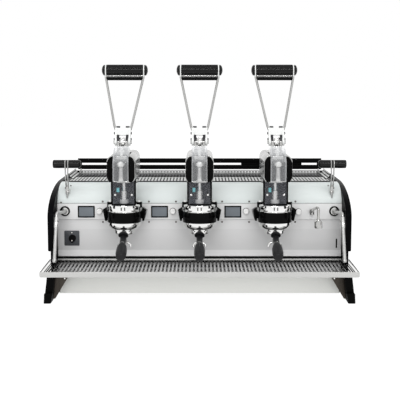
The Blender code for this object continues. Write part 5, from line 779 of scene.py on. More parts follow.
class ESPRESSO_OT_group_castings(bpy.types.Operator):
    """Chromed group casting, flange with domed nuts and black heat guard of each group"""

    bl_idname = "espresso.group_castings"
    bl_label = "Group castings"

    def execute(self, context):
        g = context.scene.espresso_group
        top, low, core, skirt = g.barrel_top, g.barrel_bottom, g.core_radius, g.skirt_radius
        bell_top, bell_foot = 0.2720, 0.2518
        bell = arc((skirt, bell_top), (core - skirt, bell_top - bell_foot), 0, -90, 14)
        bore, throat, mouth, shaft = 0.0293, 0.3250, 0.2575, 0.0093
        profile = [
            (shaft, 0.3850), (0.0120, 0.3850), (0.0130, 0.3840), (0.0130, top + 0.0018),
            (g.barrel_radius - 0.0026, top),
            (g.barrel_radius - 0.0007, top - 0.0008), (g.barrel_radius, top - 0.0026),
            (g.barrel_radius, low + 0.0022),
            (g.barrel_radius - 0.0009, low + 0.0006), (core, low), *bell, (skirt, g.skirt_bottom + 0.0008),
            (skirt - 0.0008, g.skirt_bottom), (0.0350, g.skirt_bottom), (0.0350, mouth), (bore, mouth),
            (bore, throat), (shaft, throat),
        ]
        casting = moved(turned(profile, 96, closed=True), 0, GROUP_AXIS_Y)
        neck = along_y(slab(fillet(block((-0.0400, 0.2755), (0.0400, 0.3225)), 0.006), -0.1480, -0.0762, 0.001))
        collar = along_y(slab(fillet(block((-0.0445, 0.2710), (0.0445, 0.3268)), 0.008), -0.0965, -0.0912, 0.001))
        at_groups("group_casting", joined(casting, neck, collar), "chrome", "group_body_{}")

        face = GROUP_AXIS_Y - g.barrel_radius
        slots = [
            moved(
                facing_front(slab(
                    fillet(block((-0.0017, 0.3210), (0.0017, 0.3318)), 0.0012), -0.0020, 0.0004, 0.0002
                )),
                x, face
            )
            for x in (-0.0060, 0.0056)
        ]
        vents = []
        for x, z, radius in ((-0.0313, 0.2667, 0.0034), (-0.0262, 0.2567, 0.0025)):
            rise = (bell_top - z) / (bell_top - bell_foot)
            reach = skirt + (core - skirt) * math.sqrt(1 - rise * rise)
            y = -math.sqrt(reach * reach - x * x)
            vents.append(aimed(screw_head(radius, 0.0010), (x / reach, y / reach, -rise), (x, GROUP_AXIS_Y + y, z)))
        # The slots and vents are dark insets: painted shade of the openings.
        at_groups("casting_openings", joined(*slots, *vents), "dark")

        nut_y, ledge = -0.1680, g.flange_radius
        flange = moved(
            turned([(0.0335, top), (ledge, top), (ledge + 0.0010, top + 0.0009), (ledge + 0.0006, top + 0.0034),
                    (ledge - 0.0007, top + 0.0042), (0.0335, top + 0.0042)], 96, closed=True), 0, GROUP_AXIS_Y)
        ear = moved(
            turned([(0.0, 0.3235), (0.0100, 0.3235), (0.0108, 0.3250), (0.0108, top + 0.0046), (0.0099, top + 0.0056),
                    (0.0, top + 0.0056)], 32), g.nut_offset, nut_y)
        at_groups("barrel_flange", joined(flange, both_sides(ear)), "paint")
        nut = moved(
            turned([(0.0, top + 0.0050), (0.0056, top + 0.0050), (0.0056, top + 0.0064),
                    *arc((0.0, top + 0.0066), (0.0050, 0.0046), 0, 90, 7)], 32), g.nut_offset, nut_y)
        at_groups("barrel_nuts", both_sides(nut), "pale")

        band_low, band_high, thick = 0.2762, 0.3134, g.guard_radius - core - 0.0001
        wall = [
            (g.guard_radius - thick, band_high), (g.guard_radius - 0.0006, band_high),
            (g.guard_radius, band_high - 0.0008),
            (g.guard_radius, band_low + 0.0012), (g.guard_radius - 0.0006, band_low),
            (g.guard_radius - thick, band_low),
        ]
        gap = 40.0
        band = moved(turned(wall, 88, True, (90 + gap, 450 - gap)), 0, GROUP_AXIS_Y)
        front, back, inner = -0.1800, -0.0918, g.cheek_inner
        foot_z, foot_wide, top_wide = 0.2775, 0.0068, 0.0145
        cheek = np.array([
            (0.0, front + 0.0012), (0.15, front), (0.85, front), (1.0, front + 0.0016), (1.0, back), (0.0, back)
        ])
        run = (cheek[:, 1] - front) / (back - front)
        levels = []
        for share, draw in ((0.0, 0.10), (0.03, 0.0), (0.97, 0.0), (1.0, 0.10)):
            wide = foot_wide + (top_wide - foot_wide) * share
            side = draw + cheek[:, 0] * (1 - 2 * draw)
            crown = 0.3262 - 0.0110 * run - cheek[:, 0] * 0.0085
            levels.append(np.column_stack((inner + side * wide, cheek[:, 1], foot_z + (crown - foot_z) * share)))
        web = brick((core - 0.0010, -0.1640, 0.2840), (inner + 0.0020, -0.1400, 0.3110), 0.0006)
        at_groups("heat_guard", joined(band, both_sides(joined(loft(levels), web))), "gloss", "guard_ring_{}")
        return {"FINISHED"}


class ESPRESSO_OT_housings(bpy.types.Operator):
    """Column, window, spring tunnel, front cheeks, spring seat, lugs and nose damper of each lever housing"""

    bl_idname = "espresso.housings"
    bl_label = "Lever housings"

    def execute(self, context):
        h = context.scene.espresso_housing
        half, front, back = h.column_half, h.column_front, -0.0950
        foot, head, edge = 0.3402, 0.4290, h.column_edge
        post = slab(
            fillet(block((half - edge, front), (half - 0.0004, front + 0.0090)), 0.0008, 3), foot, head, 0.0004
        )
        tail = slab(
            fillet(block((half - 0.0060, back - 0.0070), (half - 0.0004, back)), 0.0008, 3), foot, head, 0.0004
        )
        rear = brick((-half + 0.004, back - 0.0050, foot), (half - 0.004, back - 0.0005, head), 0.0005)
        base = slab(
            fillet(block((-half + 0.002, front + 0.001), (half - 0.002, back - 0.001)), 0.002), 0.3378, 0.3404, 0.0004
        )
        at_groups("column_frame", joined(both_sides(joined(post, tail)), rear, base), "paint", "housing_{}")
        wall = slab(block((half - 0.0044, front + 0.0092), (half - 0.0002, back - 0.0072)), foot, head, 0.0006)
        at_groups("column_sides", both_sides(wall), "bright", "housing_{}")
        pane = half - edge + 0.0010
        glass = brick((-pane, front + 0.0010, foot), (pane, front + 0.0030, head - 0.001), 0.0003, 0.0004)
        at_groups("column_window", glass, "window")
        top_bar = brick((-0.0230, front + 0.0060, 0.4130), (0.0230, front + 0.0120, 0.4200), 0.0008, 0.001)
        at_groups("window_bar", top_bar, "satin")
        stud = moved(facing_front(turned(dome(h.stud_radius, 0.0022), 24)), -h.stud_offset, front + 0.0012, 0.3727)
        at_groups("window_studs", both_sides(stud), "chrome")
        accent = brick((-0.0238, front + 0.0060, 0.3815), (-0.0144, front + 0.0120, 0.3962), 0.0008, 0.001)
        at_groups("indicator_block", accent, "accent")
        gland = turned(
            [(
                0.0093, 0.3406
            ), (0.0145, 0.3406), (0.0150, 0.3412), (0.0150, 0.3535), (0.0142, 0.3543), (0.0110, 0.3549),
             (0.0105, 0.3557), (0.0105, 0.3740), (0.0098, 0.3748)], 48, closed=True)
        at_groups("rod_gland", moved(gland, 0, GROUP_AXIS_Y), "pale")

        th, top, low, nose = h.tunnel_half, h.tunnel_top, h.tunnel_bottom, h.tunnel_front
        cut, bend, sill = h.cover_half + 0.0004, 0.0220, 0.0120
        right = np.concatenate((
            [(0.0, low)], arc((th - sill, low + sill), (sill, sill), -90, 0, 5),
            arc((th - bend, top - bend), (bend, bend), 0, 72, 8), [(cut, top - 0.0012)],
        ))
        skin = anticlockwise(np.concatenate((right, (right * (-1, 1))[::-1][:-1])))
        sheet = folded(distinct(np.concatenate(((right * (-1, 1))[::-1], right[1:])), False), -0.0030)
        shell = along_y(slab(sheet, nose + 0.0072, -0.0530, 0.0004))
        roof = np.array([
            (cut + 0.002, top - 0.0018), (cut + 0.002, top - 0.0004), (-cut - 0.002, top - 0.0004),
            (-cut - 0.002, top - 0.0018)
        ])
        roof = along_y(slab(roof, -0.1710, -0.0530, 0.0003))
        lug = np.concatenate((
            [(-0.1720, 0.5030), (-0.1720, 0.5300)], arc(PIVOT[1:], (0.0110, 0.0110), 0, 180, 14),
            [(PIVOT[1] - 0.0110, 0.5030)]
        ))
        lugs = both_sides(along_x(slab(lug, 0.0100, 0.0180, 0.0008)))
        at_groups("tunnel_shell", joined(shell, roof), "arm", "housing_{}")
        at_groups("pivot_lugs", lugs, "arm", "housing_{}")
        back_plate = along_y(slab(skin, -0.0560, -0.0500, 0.0012))
        seat = brick((-0.0415, -0.2450, 0.5005), (0.0415, -0.1600, 0.5055), 0.0008, 0.002)
        screen = along_y(slab(inset(skin, 0.0034), -0.2560, -0.2530, 0.0003))
        at_groups("tunnel_inside", joined(back_plate, seat, screen), "frame", "housing_{}")

        y = -0.3180
        damper = turned(
            [(0.0, 0.4300), (0.0090, 0.4300), (0.0096, 0.4308), (0.0096, 0.4780), (0.0088, 0.4792), (0.0, 0.4792)], 40
        )
        at_groups("nose_damper", moved(damper, 0, y), "satin")
        ring = turned(
            [(0.0, 0.4815), (0.0190, 0.4815), (0.0196, 0.4822), (0.0196, 0.4905), (0.0188, 0.4912), (0.0, 0.4912)], 48
        )
        at_groups("damper_ring", moved(ring, 0, y + 0.004), "satin")
        cap = turned(
            [
                (0.0, 0.4800), (0.0088, 0.4800), (0.0092, 0.4806), (0.0092, 0.4900),
                *arc((0.0, 0.4900), (0.0088, 0.0062), 0, 90, 7)
            ],
            40
        )
        at_groups("damper_cap", moved(cap, 0, y - 0.0130), "pale")
        block_top = brick((-0.0190, -0.3020, 0.5010), (0.0190, -0.2900, 0.5120), 0.0010, 0.002)
        at_groups("damper_head", block_top, "satin")
        link = joined(brick((-0.0078, -0.2920, 0.5240), (0.0078, -0.2850, 0.5315), 0.0012, 0.001),
                      rod((0, -0.2885, 0.5120), (0, -0.2885, 0.5250), 0.0050, 20),
                      rod((0, -0.2840, 0.5290), (0, -0.2700, 0.5370), 0.0040, 18))
        at_groups("damper_link", link, "pale")

        outline = [
            (cut, 0.5116), (th - 0.0022, 0.4962), (th - 0.0008, 0.4930), (th - 0.0008, 0.4420),
            (th - 0.0085, low), (cut, low),
        ]
        cheeks = both_sides(along_y(slab(fillet(outline, 0.0012, 3), nose, nose + 0.0075, 0.0009)))
        at_groups("front_cheeks", cheeks, "paint", "housing_{}")
        return {"FINISHED"}


class ESPRESSO_OT_nose_covers(bpy.types.Operator):
    """Clear nose cover over each spring and lever root"""

    bl_idname = "espresso.nose_covers"
    bl_label = "Nose covers"

    def execute(self, context):
        w = context.scene.espresso_housing.cover_half
        foot, back, bend, lap, thick = 0.4316, -0.2622, 0.0050, 0.0080, 0.0020
        path = fillet(
            [(-0.3440, foot), (-0.3450, 0.4945), (-0.3220, 0.5180), (-0.2900, 0.5375), (back, 0.5428)],
            (0.001, 0.014, 0.02, 0.02, 0.001), 6, False)
        outer = arc((w - bend, bend), (bend, bend), -90, 0, 5)
        hollow = arc((w - bend, bend), (bend - thick, bend - thick), 0, -90, 5)
        half = np.concatenate((outer, [(w, lap), (w - thick, lap)], hollow))
        section = np.concatenate((half, (half * (-1, 1))[::-1]))
        along = unit(np.gradient(path, axis=0))
        into = np.column_stack((along[:, 1], -along[:, 0]))
        table = np.stack((
            np.broadcast_to(section[None, :, 0], (len(path), len(section))),
            path[:, None, 0] + into[:, None, 0] * section[None, :, 1],
            path[:, None, 1] + into[:, None, 1] * section[None, :, 1],
        ), -1)
        side = np.concatenate((path + into * (lap - 0.0015), [(back, foot)]))
        sides = both_sides(along_x(slab(side, w - thick, w, 0.0)))
        at_groups("nose_cover", joined(loft(table), sides), "cover", "clear_cover_{}")
        return {"FINISHED"}


class ESPRESSO_OT_pistons(bpy.types.Operator):
    """Piston, rod, spring collar and toothed rack of each group, and its return spring"""

    bl_idname = "espresso.pistons"
    bl_label = "Pistons and springs"

    def execute(self, context):
        h = context.scene.espresso_housing
        rod_radius, crown, seat = 0.0090, 0.5620, 0.4347
        profile = [
            (0.0, 0.2620), (0.0262, 0.2620), (0.0288, 0.2645), (0.0288, 0.2672), (0.0276, 0.2676), (0.0276, 0.2698),
            (0.0288, 0.2702), (0.0288, 0.2760), (0.0280, 0.2770), (0.0110, 0.2770), (rod_radius, 0.2790),
            (rod_radius, seat - 0.0035), (0.0157, seat - 0.0035), (0.0165, seat - 0.0027), (0.0165, seat - 0.0007),
            (0.0157, seat), (rod_radius, seat), (rod_radius, crown - 0.0015), (rod_radius - 0.0010, crown),
            (0.0, crown),
        ]
        pitch, teeth = math.pi * h.gear_module, 8
        top = PIVOT[2] + 0.008
        start = top - teeth * pitch
        slope = math.tan(math.radians(20.0))
        deep, tall = 1.25 * h.gear_module, 0.9 * h.gear_module
        root, tip = pitch / 4 + deep * slope, pitch / 4 - tall * slope
        z = start + (np.arange(teeth)[:, None] + 0.5) * pitch + np.array((-root, -tip, tip, root))
        y = np.broadcast_to(-0.2160 + np.array((deep, -tall, -tall, deep)), z.shape)
        spine = -0.1990
        rack = np.concatenate((
            [(spine, start - 0.003), (y[0, 0], start - 0.003)], np.column_stack((y.ravel(), z.ravel())),
            [(y[0, 0], top), (spine, top)],
        ))
        rack = along_x(slab(distinct(rack), -0.0070, 0.0070, 0.0003))
        rod_shape = moved(turned(profile, 40), 0, GROUP_AXIS_Y)
        at_groups("piston_rod", joined(rod_shape, rack), "chrome", "piston_{}", "piston_{}")
        spring_top = 0.5002
        coil = moved(helix(h.coil_radius, h.coil_wire, seat + 0.0003, spring_top, h.coil_turns), 0, GROUP_AXIS_Y)
        for number, x in enumerate(GROUP_X, 1):
            piece = make_piece(f"return_coil_{number}", moved(coil, x), "spring", replaces=f"spring_{number}")
            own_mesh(piece)
        return {"FINISHED"}


class ESPRESSO_OT_lever_forks(bpy.types.Operator):
    """Yoke, slim arms, cross bar, pin and toothed sector of each lever"""

    bl_idname = "espresso.lever_forks"
    bl_label = "Lever forks"

    def execute(self, context):
        v = context.scene.espresso_lever
        module = context.scene.espresso_housing.gear_module

        def lean(shell):
            """From the lever's own upright frame to its place."""
            return leaning(shell, -v.lean, (0.0, *PIVOT[1:]))

        cheek_in, cheek_out = 0.0190, 0.0270
        cheek = np.concatenate((
            arc((0.0, 0.0), (0.0120, 0.0120), 180, 360, 16), [(0.0080, 0.0400), (0.0050, 0.0520), (-0.0070, 0.0520)]))
        cheeks = both_sides(along_x(slab(fillet(cheek, 0.002, 3), cheek_in, cheek_out, 0.0010)))
        plate = along_y(slab(fillet(block((-0.0262, 0.0225), (0.0262, 0.0510)), 0.0030), -0.0070, -0.0030, 0.0008))
        at_groups("yoke_plate", lean(joined(cheeks, plate)), "yoke", "lever_fork_{}", "lever_{}")
        tab = along_y(slab(fillet(block((0.0095, 0.0512), (0.0228, 0.0572)), 0.001), -0.0062, -0.0022, 0.0005))
        web = along_y(slab(
            fillet(block((0.0085, -0.0040), (cheek_in + 0.001, 0.0230)), 0.001), 0.0118, 0.0140, 0.0004
        ))
        strap = along_y(slab(
            fillet(block((0.0110, -0.0020), (cheek_in + 0.001, 0.0225)), 0.001), -0.0110, -0.0070, 0.0005
        ))
        heads = [rod((cheek_out - 0.0002, -0.001, z), (cheek_out + 0.0035, -0.001, z), r, 20, 0.0010)
                 for z, r in ((0.0110, 0.0040), (0.0330, 0.0046))]
        at_groups("yoke_tabs", lean(both_sides(joined(tab, web, strap, *heads))), "mesh", "lever_fork_{}", "lever_{}")
        arm = fillet(
            [(0.0245, -0.001, 0.044), (0.0285, -0.001, 0.056), (v.arm_spread, 0.0, v.arm_top)], 0.02, 8, False
        )
        arms = both_sides(tube(arm, v.arm_radius, 24, (0.0, 1.0, 0.0), 0.0010))
        pin = rod((-0.0185, 0, 0), (0.0185, 0, 0), 0.0050, 28)
        pin_heads = both_sides(rod((cheek_out - 0.0002, 0, 0), (cheek_out + 0.0038, 0, 0), 0.0060, 6, 0.0006))
        spindle = rod((-0.0800, 0.0, v.grip_height), (0.0800, 0.0, v.grip_height), 0.0060, 20)
        tie = rod((-v.arm_spread + 0.003, 0.0, 0.2536), (v.arm_spread - 0.003, 0.0, 0.2536), 0.0030, 16)
        at_groups("lever_arms", lean(joined(arms, pin, pin_heads, spindle, tie)), "arm", "lever_fork_{}", "lever_{}")
        foot = v.grip_height - 0.028
        disc = np.concatenate((
            arc((0.0, v.grip_height), (0.0195, 0.0195), -35, 215, 30), [(-0.0045, foot), (0.0045, foot)]
        ))
        discs = both_sides(along_x(slab(disc, v.arm_spread - 0.0016, v.arm_spread + 0.0020, 0.0006)))
        at_groups("end_plates", lean(discs), "yoke", "lever_fork_{}", "lever_{}")
        bar_z = 0.2430
        bar = rod((-v.arm_spread + 0.003, 0.0, bar_z), (v.arm_spread - 0.003, 0.0, bar_z), v.bar_radius, 28, 0.0012)
        at_groups("lever_bar", lean(bar), "gloss", "lever_fork_{}", "lever_{}")

        teeth, pitch_radius = 16, 8 * module
        step = 2 * np.pi / teeth
        centre = math.pi / 2 + (np.arange(teeth)[:, None] - 7) * step
        angle = centre + np.array((-1.45, -0.62, 0.62, 1.45)) * step / 4
        radius = np.broadcast_to(pitch_radius + np.array((-1.25, 0.9, 0.9, -1.25)) * module, angle.shape)
        gear = np.column_stack(((radius * np.cos(angle)).ravel(), (radius * np.sin(angle)).ravel()))
        hub = along_x(turned(
            [(0.0051, -0.0078), (0.0105, -0.0078), (0.0105, 0.0078), (0.0051, 0.0078)], 32, closed=True
        ))
        wheel = along_x(slab(distinct(gear), -0.0070, 0.0070, 0.0003))
        at_groups("toothed_sector", lean(joined(hub, wheel)), "bright", "lever_fork_{}", "lever_{}")
        return {"FINISHED"}


class ESPRESSO_OT_lever_grips(bpy.types.Operator):
    """Ribbed black grip with domed end caps on each lever"""

    bl_idname = "espresso.lever_grips"
    bl_label = "Lever grips"

    def execute(self, context):
        v = context.scene.espresso_lever
        count = v.grip_ribs * 16
        a = np.arange(count) * (2 * np.pi / count)
        groove = 1.0 - np.clip(np.cos((a - np.pi / 2 - v.lean) * v.grip_ribs) * 1.3 + 0.1, 0.0, 1.0)
        half, radius = v.grip_half, v.grip_radius
        share = np.array((0.0, 0.0, 0.004, 0.010, 0.5, 0.990, 0.996, 1.0, 1.0))
        draw = np.array((0.55, 0.90, 0.965, 1.0, 1.0, 1.0, 0.965, 0.90, 0.55))
        depth = np.array((0.0, 0.0, 0.5, 1.0, 1.0, 1.0, 0.5, 0.0, 0.0))
        r = radius * draw[:, None] - v.rib_depth * depth[:, None] * groove[None]
        barrel = np.stack((
            np.broadcast_to((-half + 2 * half * share)[:, None], r.shape), r * np.sin(a),
            v.grip_height + r * np.cos(a),
        ), -1)
        start, cap_radius = v.arm_spread + 0.0022, 0.0185
        profile = np.concatenate((
            [(0.0, start), (cap_radius - 0.0007, start), (cap_radius, start + 0.0008), (cap_radius, start + 0.0030)],
            arc((0.0, start + 0.0030), (cap_radius, 0.0088), 0, 90, 10)[1:],
        ))
        cap = moved(along_x(turned(profile, 48)), 0.0, 0.0, v.grip_height)
        shape = leaning(joined(loft(barrel), both_sides(cap)), -v.lean, (0.0, *PIVOT[1:]))
        at_groups("ribbed_grip", shape, "grip", "lever_grip_{}", "lever_{}", crease=30.0)
        return {"FINISHED"}


class ESPRESSO_OT_portafilters(bpy.types.Operator):
    """Portafilter bowl, double spout and black handle of each group"""

    bl_idname = "espresso.portafilters"
    bl_label = "Portafilters"

    def execute(self, context):
        p = context.scene.espresso_handle
        rim_r, top, low = p.rim_radius, p.rim_top, p.bowl_bottom
        bowl = [
            (0.0305, top), (rim_r - 0.0006, top), (rim_r, top - 0.0006), (rim_r, low + 0.0040),
            *arc((rim_r - 0.0050, low + 0.0040), (0.0050, 0.0045), 0, -90, 6)[1:], (0.0165, low - 0.0020),
            (0.0155, low - 0.0035), (0.0150, low - 0.0115), (0.0120, low - 0.0140), (0.0095, low - 0.0150),
            (0.0095, 0.2060), (0.0080, 0.2048), (0.0, 0.2048), (0.0, low + 0.0020), (0.0270, low + 0.0020),
            (0.0290, low + 0.0040),
        ]
        body = moved(turned(bowl, 80, closed=True), 0, GROUP_AXIS_Y)
        spread = p.spout_spread
        arm = fillet(
            [(0.0, 0.0, 0.2055), (0.0110, 0.0, 0.2040), (spread - 0.0010, 0.0, 0.1960), (spread, 0.0, 0.1880)], 0.010,
            6, False
        )
        arms = moved(both_sides(tube(arm, 0.0042, 20, (0.0, 1.0, 0.0), 0.0008)), 0, GROUP_AXIS_Y)

        def on_axis(profile, dip, origin, sides=48):
            """Lathe whose axis points forwards and down by dip."""
            run = np.array((0.0, -math.cos(dip), -math.sin(dip)))
            return aimed(turned(profile, sides), run, origin)

        root = (0.0, GROUP_AXIS_Y, 0.2435)
        stem = on_axis([(0.0, 0.0300), (0.0050, 0.0300), (0.0050, 0.0318), (0.0088, 0.0318), (0.0095, 0.0325),
                        (0.0095, 0.0440), (0.0085, 0.0450), (0.0, 0.0450)], p.handle_dip, root, 32)
        at_groups("portafilter_bowl", joined(body, arms, stem), "chrome", "portafilter_{}", "portafilter_{}")
        station = np.array((
            0.0, 0.0, 0.03, 0.30, 0.38, 0.42, 0.46, 0.52, 0.60, 0.72, 0.84, 0.92, 0.96, 0.985, 1.0, 1.0
        ))
        radius = np.array((
            0.0, 0.0100, 0.0107, 0.0107, 0.0110, 0.0118, 0.0135, 0.0162, 0.0178, 0.0184, 0.0182, 0.0172, 0.0155,
            0.0120, 0.0060, 0.0
        ))
        fine = np.linspace(0.03, 0.96, 40)
        station, radius = (
            np.concatenate((column[:2], np.interp(fine, station[2:], column[2:]), column[-3:]))
            for column in (station, radius))
        radius[4:-4] = np.convolve(radius, np.ones(5) / 5, "same")[4:-4]
        shape = on_axis(np.column_stack((radius, p.handle_start + p.handle_length * station)), p.handle_dip, root, 56)
        collar = on_axis(
            np.concatenate((
                [(0.0, -0.0010), (0.0150, -0.0012), (0.0172, 0.0)], arc((0.0, 0.0), (0.0175, -0.0140), 0, 90, 9)[1:]
            )),
            p.collar_dip, (0.0, p.collar_y, p.collar_z))
        at_groups(
            "handle_body", joined(shape, collar), "plastic", "portafilter_handle_{}", "portafilter_{}", crease=60.0
        )
        glint = p.handle_start + 0.40 * p.handle_length
        ferrule = on_axis(
            [(0.0100, glint), (0.0122, glint + 0.0004), (0.0122, glint + 0.0020), (0.0100, glint + 0.0024)],
            p.handle_dip, root
        )
        at_groups("handle_ring", ferrule, "bright", None, "portafilter_{}")
        return {"FINISHED"}


# ---------------------------------------------------------------- casing


def panel_sheet(path, half, sheet, bevel=0.0004):
    """Bent sheet across the machine, from its path in Y and Z."""
    return along_x(slab(folded(path, sheet), -half, half, bevel))


class ESPRESSO_OT_front_panels(bpy.types.Operator):
    """Lower front panel, control strip, curved upper panel and their screws"""

    bl_idname = "espresso.front_panels"
    bl_label = "Front panels"

    def execute(self, context):
        c = context.scene.espresso_casing
        y, half, sheet, back = c.face, c.panel_half, c.sheet, -0.0750
        low, high = 0.1370, 0.2688
        path = fillet([(back, low), (y, low), (y, high), (back, high)], 0.0010, 4, False)
        make_piece("lower_panel_sheet", panel_sheet(path, half, sheet), "lower", replaces="lower_front_panel")
        low, high = 0.2696, 0.3264
        path = fillet([(back, low), (c.control_face, low), (c.control_face, high), (back, high)], 0.0012, 4, False)
        make_piece("control_strip_sheet", panel_sheet(path, half, sheet), "strip", replaces="control_panel")
        start, depth = 0.3275, 0.1175
        curve = arc((y + depth, start), (depth, c.shoulder - start), 180, 90, 28)
        hem = fillet(np.concatenate(([(back, start)], curve[:2])), 0.0015, 3, False)
        upper = np.concatenate((hem[:-1], curve[1:], [(0.0480, c.shoulder)]))
        make_piece(
            "upper_panel_sheet", panel_sheet(distinct(upper, False), half, sheet), "panel",
            replaces="upper_front_panel"
        )
        strips = [brick((-half, -0.0840, z), (half, -0.0780, z + 0.0010), 0.0) for z in (low - 0.0011, high + 0.0001)]
        strips.append(brick((-half, -0.0862, 0.1272), (half, -0.0800, 0.1352), 0.0))
        make_piece("panel_gaskets", joined(*strips), "dark")
        head = facing_front(screw_head(c.screw_radius, 0.0016))
        rows = (0.3338, 0.2606)
        places = [(gx + dx, z) for gx in GROUP_X for dx in (-0.0840, 0.0800) for z in rows]
        places.append((-c.panel_half + 0.0130, 0.3300))
        make_piece("panel_screws", joined(*[moved(head, x, y, z) for x, z in places]), "screw")
        return {"FINISHED"}


class ESPRESSO_OT_side_panels(bpy.types.Operator):
    """Thick black side panels, the rear casing with its louvres and the kick panel"""

    bl_idname = "espresso.side_panels"
    bl_label = "Side, rear and kick panels"

    def execute(self, context):
        c = context.scene.espresso_casing
        inner, foot, back = c.panel_half + 0.0003, 0.1080, 0.3730
        outline = np.concatenate((
            [(-0.198, 0.176)], arc((0.114, 0.289), (0.312, 0.1025), 180, 90, 40),
            arc((0.343, 0.3615), (0.030, 0.030), 90, 0, 8),
            [(back, 0.173), (-0.195, 0.173)],
        ))
        notch = fillet(
            [
                (-0.197, 0.1263), (c.face, 0.1263), (c.face, foot), (back - 0.001, foot), (back - 0.001, 0.1770),
                (-0.197, 0.1770)
            ],
            0.002, 3
        )
        shape = joined(
            along_x(slab(outline, inner, inner + c.side_thickness, 0.0040, 5)),
            along_x(slab(notch, inner + 0.0005, inner + 0.0105, 0.0008)))
        make_piece("side_shell_right", shape, "side", replaces="side_panel_right", crease=30.0)
        make_piece("side_shell_left", mirrored(shape), "side", replaces="side_panel_left", crease=30.0)

        top, low, face, half = c.shoulder - 0.0040, 0.0800, 0.3732, c.panel_half
        hem, sheet, rows, columns, pitch = 0.3525, c.sheet, 6, 3, 0.014
        band_low, x0, x1 = 0.193, 0.190, 0.370
        band_high = band_low + rows * pitch

        def wall(low_xz, high_xz):
            """Flat piece of the back wall."""
            return along_y(slab(block(low_xz, high_xz), face - sheet, face, 0.0))

        def edge(path):
            """Folded edge of the back wall."""
            return along_x(slab(folded(fillet(path, 0.003, 4, False), -sheet), -half, half, 0.0))

        width = (x1 - x0) / columns
        cells = [
            (s * (x0 + (k + 0.5) * width), band_low + (r + 0.5) * pitch) for s in (-1, 1) for k in range(columns)
            for r in range(rows)
        ]
        louvres = along_y(slotted(cells, (width, pitch), (width - 0.010, 0.006), 0.0029, face - sheet, face))
        make_piece("rear_sheet", joined(
            edge([(hem, low), (face, low), (face, low + 0.01)]), edge([(face, top - 0.01), (face, top), (hem, top)]),
            wall((-half, low + 0.01), (half, band_low)), wall((-half, band_high), (half, top - 0.01)),
            wall((-x0, band_low), (x0, band_high)), wall((x1, band_low), (half, band_high)),
            wall((-half, band_low), (-x1, band_high)),
            louvres), "satin", replaces="rear_casing", crease=30.0)
        head = along_y(screw_head(0.0036, 0.0018))
        make_piece(
            "rear_screws",
            joined(*[moved(head, x, face, z) for x in (-0.485, -0.165, 0.165, 0.485) for z in (0.100, 0.366)]),
            "screw"
        )

        kick_y, kick_low, kick_high = -0.1400, 0.0135, 0.1076
        path = fillet(
            [(kick_y + 0.012, kick_low), (kick_y, kick_low), (kick_y, kick_high), (kick_y + 0.012, kick_high)],
            0.0020, 4, False
        )
        make_piece("kick_sheet", panel_sheet(path, 0.4955, sheet), "kick", replaces="kick_panel")
        return {"FINISHED"}


class ESPRESSO_OT_leg_frames(bpy.types.Operator):
    """Black side leg frames with gussets, bolts and rubber boots"""

    bl_idname = "espresso.leg_frames"
    bl_label = "Leg frames"

    def execute(self, context):
        leg = context.scene.espresso_leg
        splay_top, front_toe, corner_radius = 0.1067, 0.020, 0.004

        def section(y0, z, grow, toe=0.0):
            """Rounded rectangle of the splayed post at height z, reaching forward by toe."""
            out = leg.splay * (splay_top - z) / splay_top
            low, high = (leg.inner + out - grow, y0 - grow - toe), (leg.outer + out + grow, y0 + leg.depth + grow)
            loop = fillet(block(low, high), corner_radius, 4)
            return np.column_stack((loop, np.full(len(loop), z)))

        posts, boots = [], []
        for y0 in (leg.front, leg.rear):
            posts.append(loft([
                section(y0, z, grow)
                for z, grow in ((0.0320, 0.0), (0.0600, 0.0), (0.0900, 0.0), (0.1065, 0.0), (0.1070, -0.0006))
            ]))
            boot = leg.boot_height
            toe = front_toe if y0 < 0 else 0.0
            boots.append(loft([section(y0, z, grow, toe) for z, grow in (
                (0.0, -0.0030), (0.0010, -0.0012), (0.0200, -0.0004), (boot - 0.0022, 0.0008), (boot, -0.0006),
                (boot, -0.0020))]))
        rail = brick(
            (leg.inner + 0.0003, leg.front + 0.001, 0.0877), (leg.outer - 0.0002, 0.3090, 0.1077), 0.0016, 0.003, 3
        )
        shape = joined(*posts, rail)
        gussets, bolts = [], []
        reach, thick = 0.4585, 0.0040
        for y, top in ((leg.front + leg.depth / 2, 0.1072), (leg.rear + leg.depth / 2, 0.0874)):
            corner = [
                (reach, top), (leg.inner + 0.0137, top), (leg.outer - 0.0008, 0.006), (leg.inner + 0.006, 0.006),
                (reach, 0.080)
            ]
            plate = along_y(slab(fillet(corner, (0.002, 0.002, 0.002, 0.004, 0.016), 8), y, y + thick, 0.0006))
            rib = along_y(slab(
                block((leg.inner - 0.0120, 0.0300), (leg.inner - 0.0095, top - 0.001)), y - 0.0016, y + 0.001, 0.0004
            ))
            gussets += [plate, rib]
            bolts.append(moved(facing_front(screw_head(0.0036, 0.0022)), reach + 0.0105, y, top - 0.0290))
        for side, _, turn in HANDED:
            make_piece(f"leg_posts_{side}", turn(shape), "paint", replaces=f"leg_frame_{side}")
            make_piece(f"leg_boots_{side}", turn(joined(*boots)), "rubber", replaces=f"leg_frame_{side}")
            make_piece(f"leg_gussets_{side}", turn(joined(*gussets)), "gusset")
            make_piece(f"gusset_bolts_{side}", turn(joined(*bolts)), "chrome")
        return {"FINISHED"}


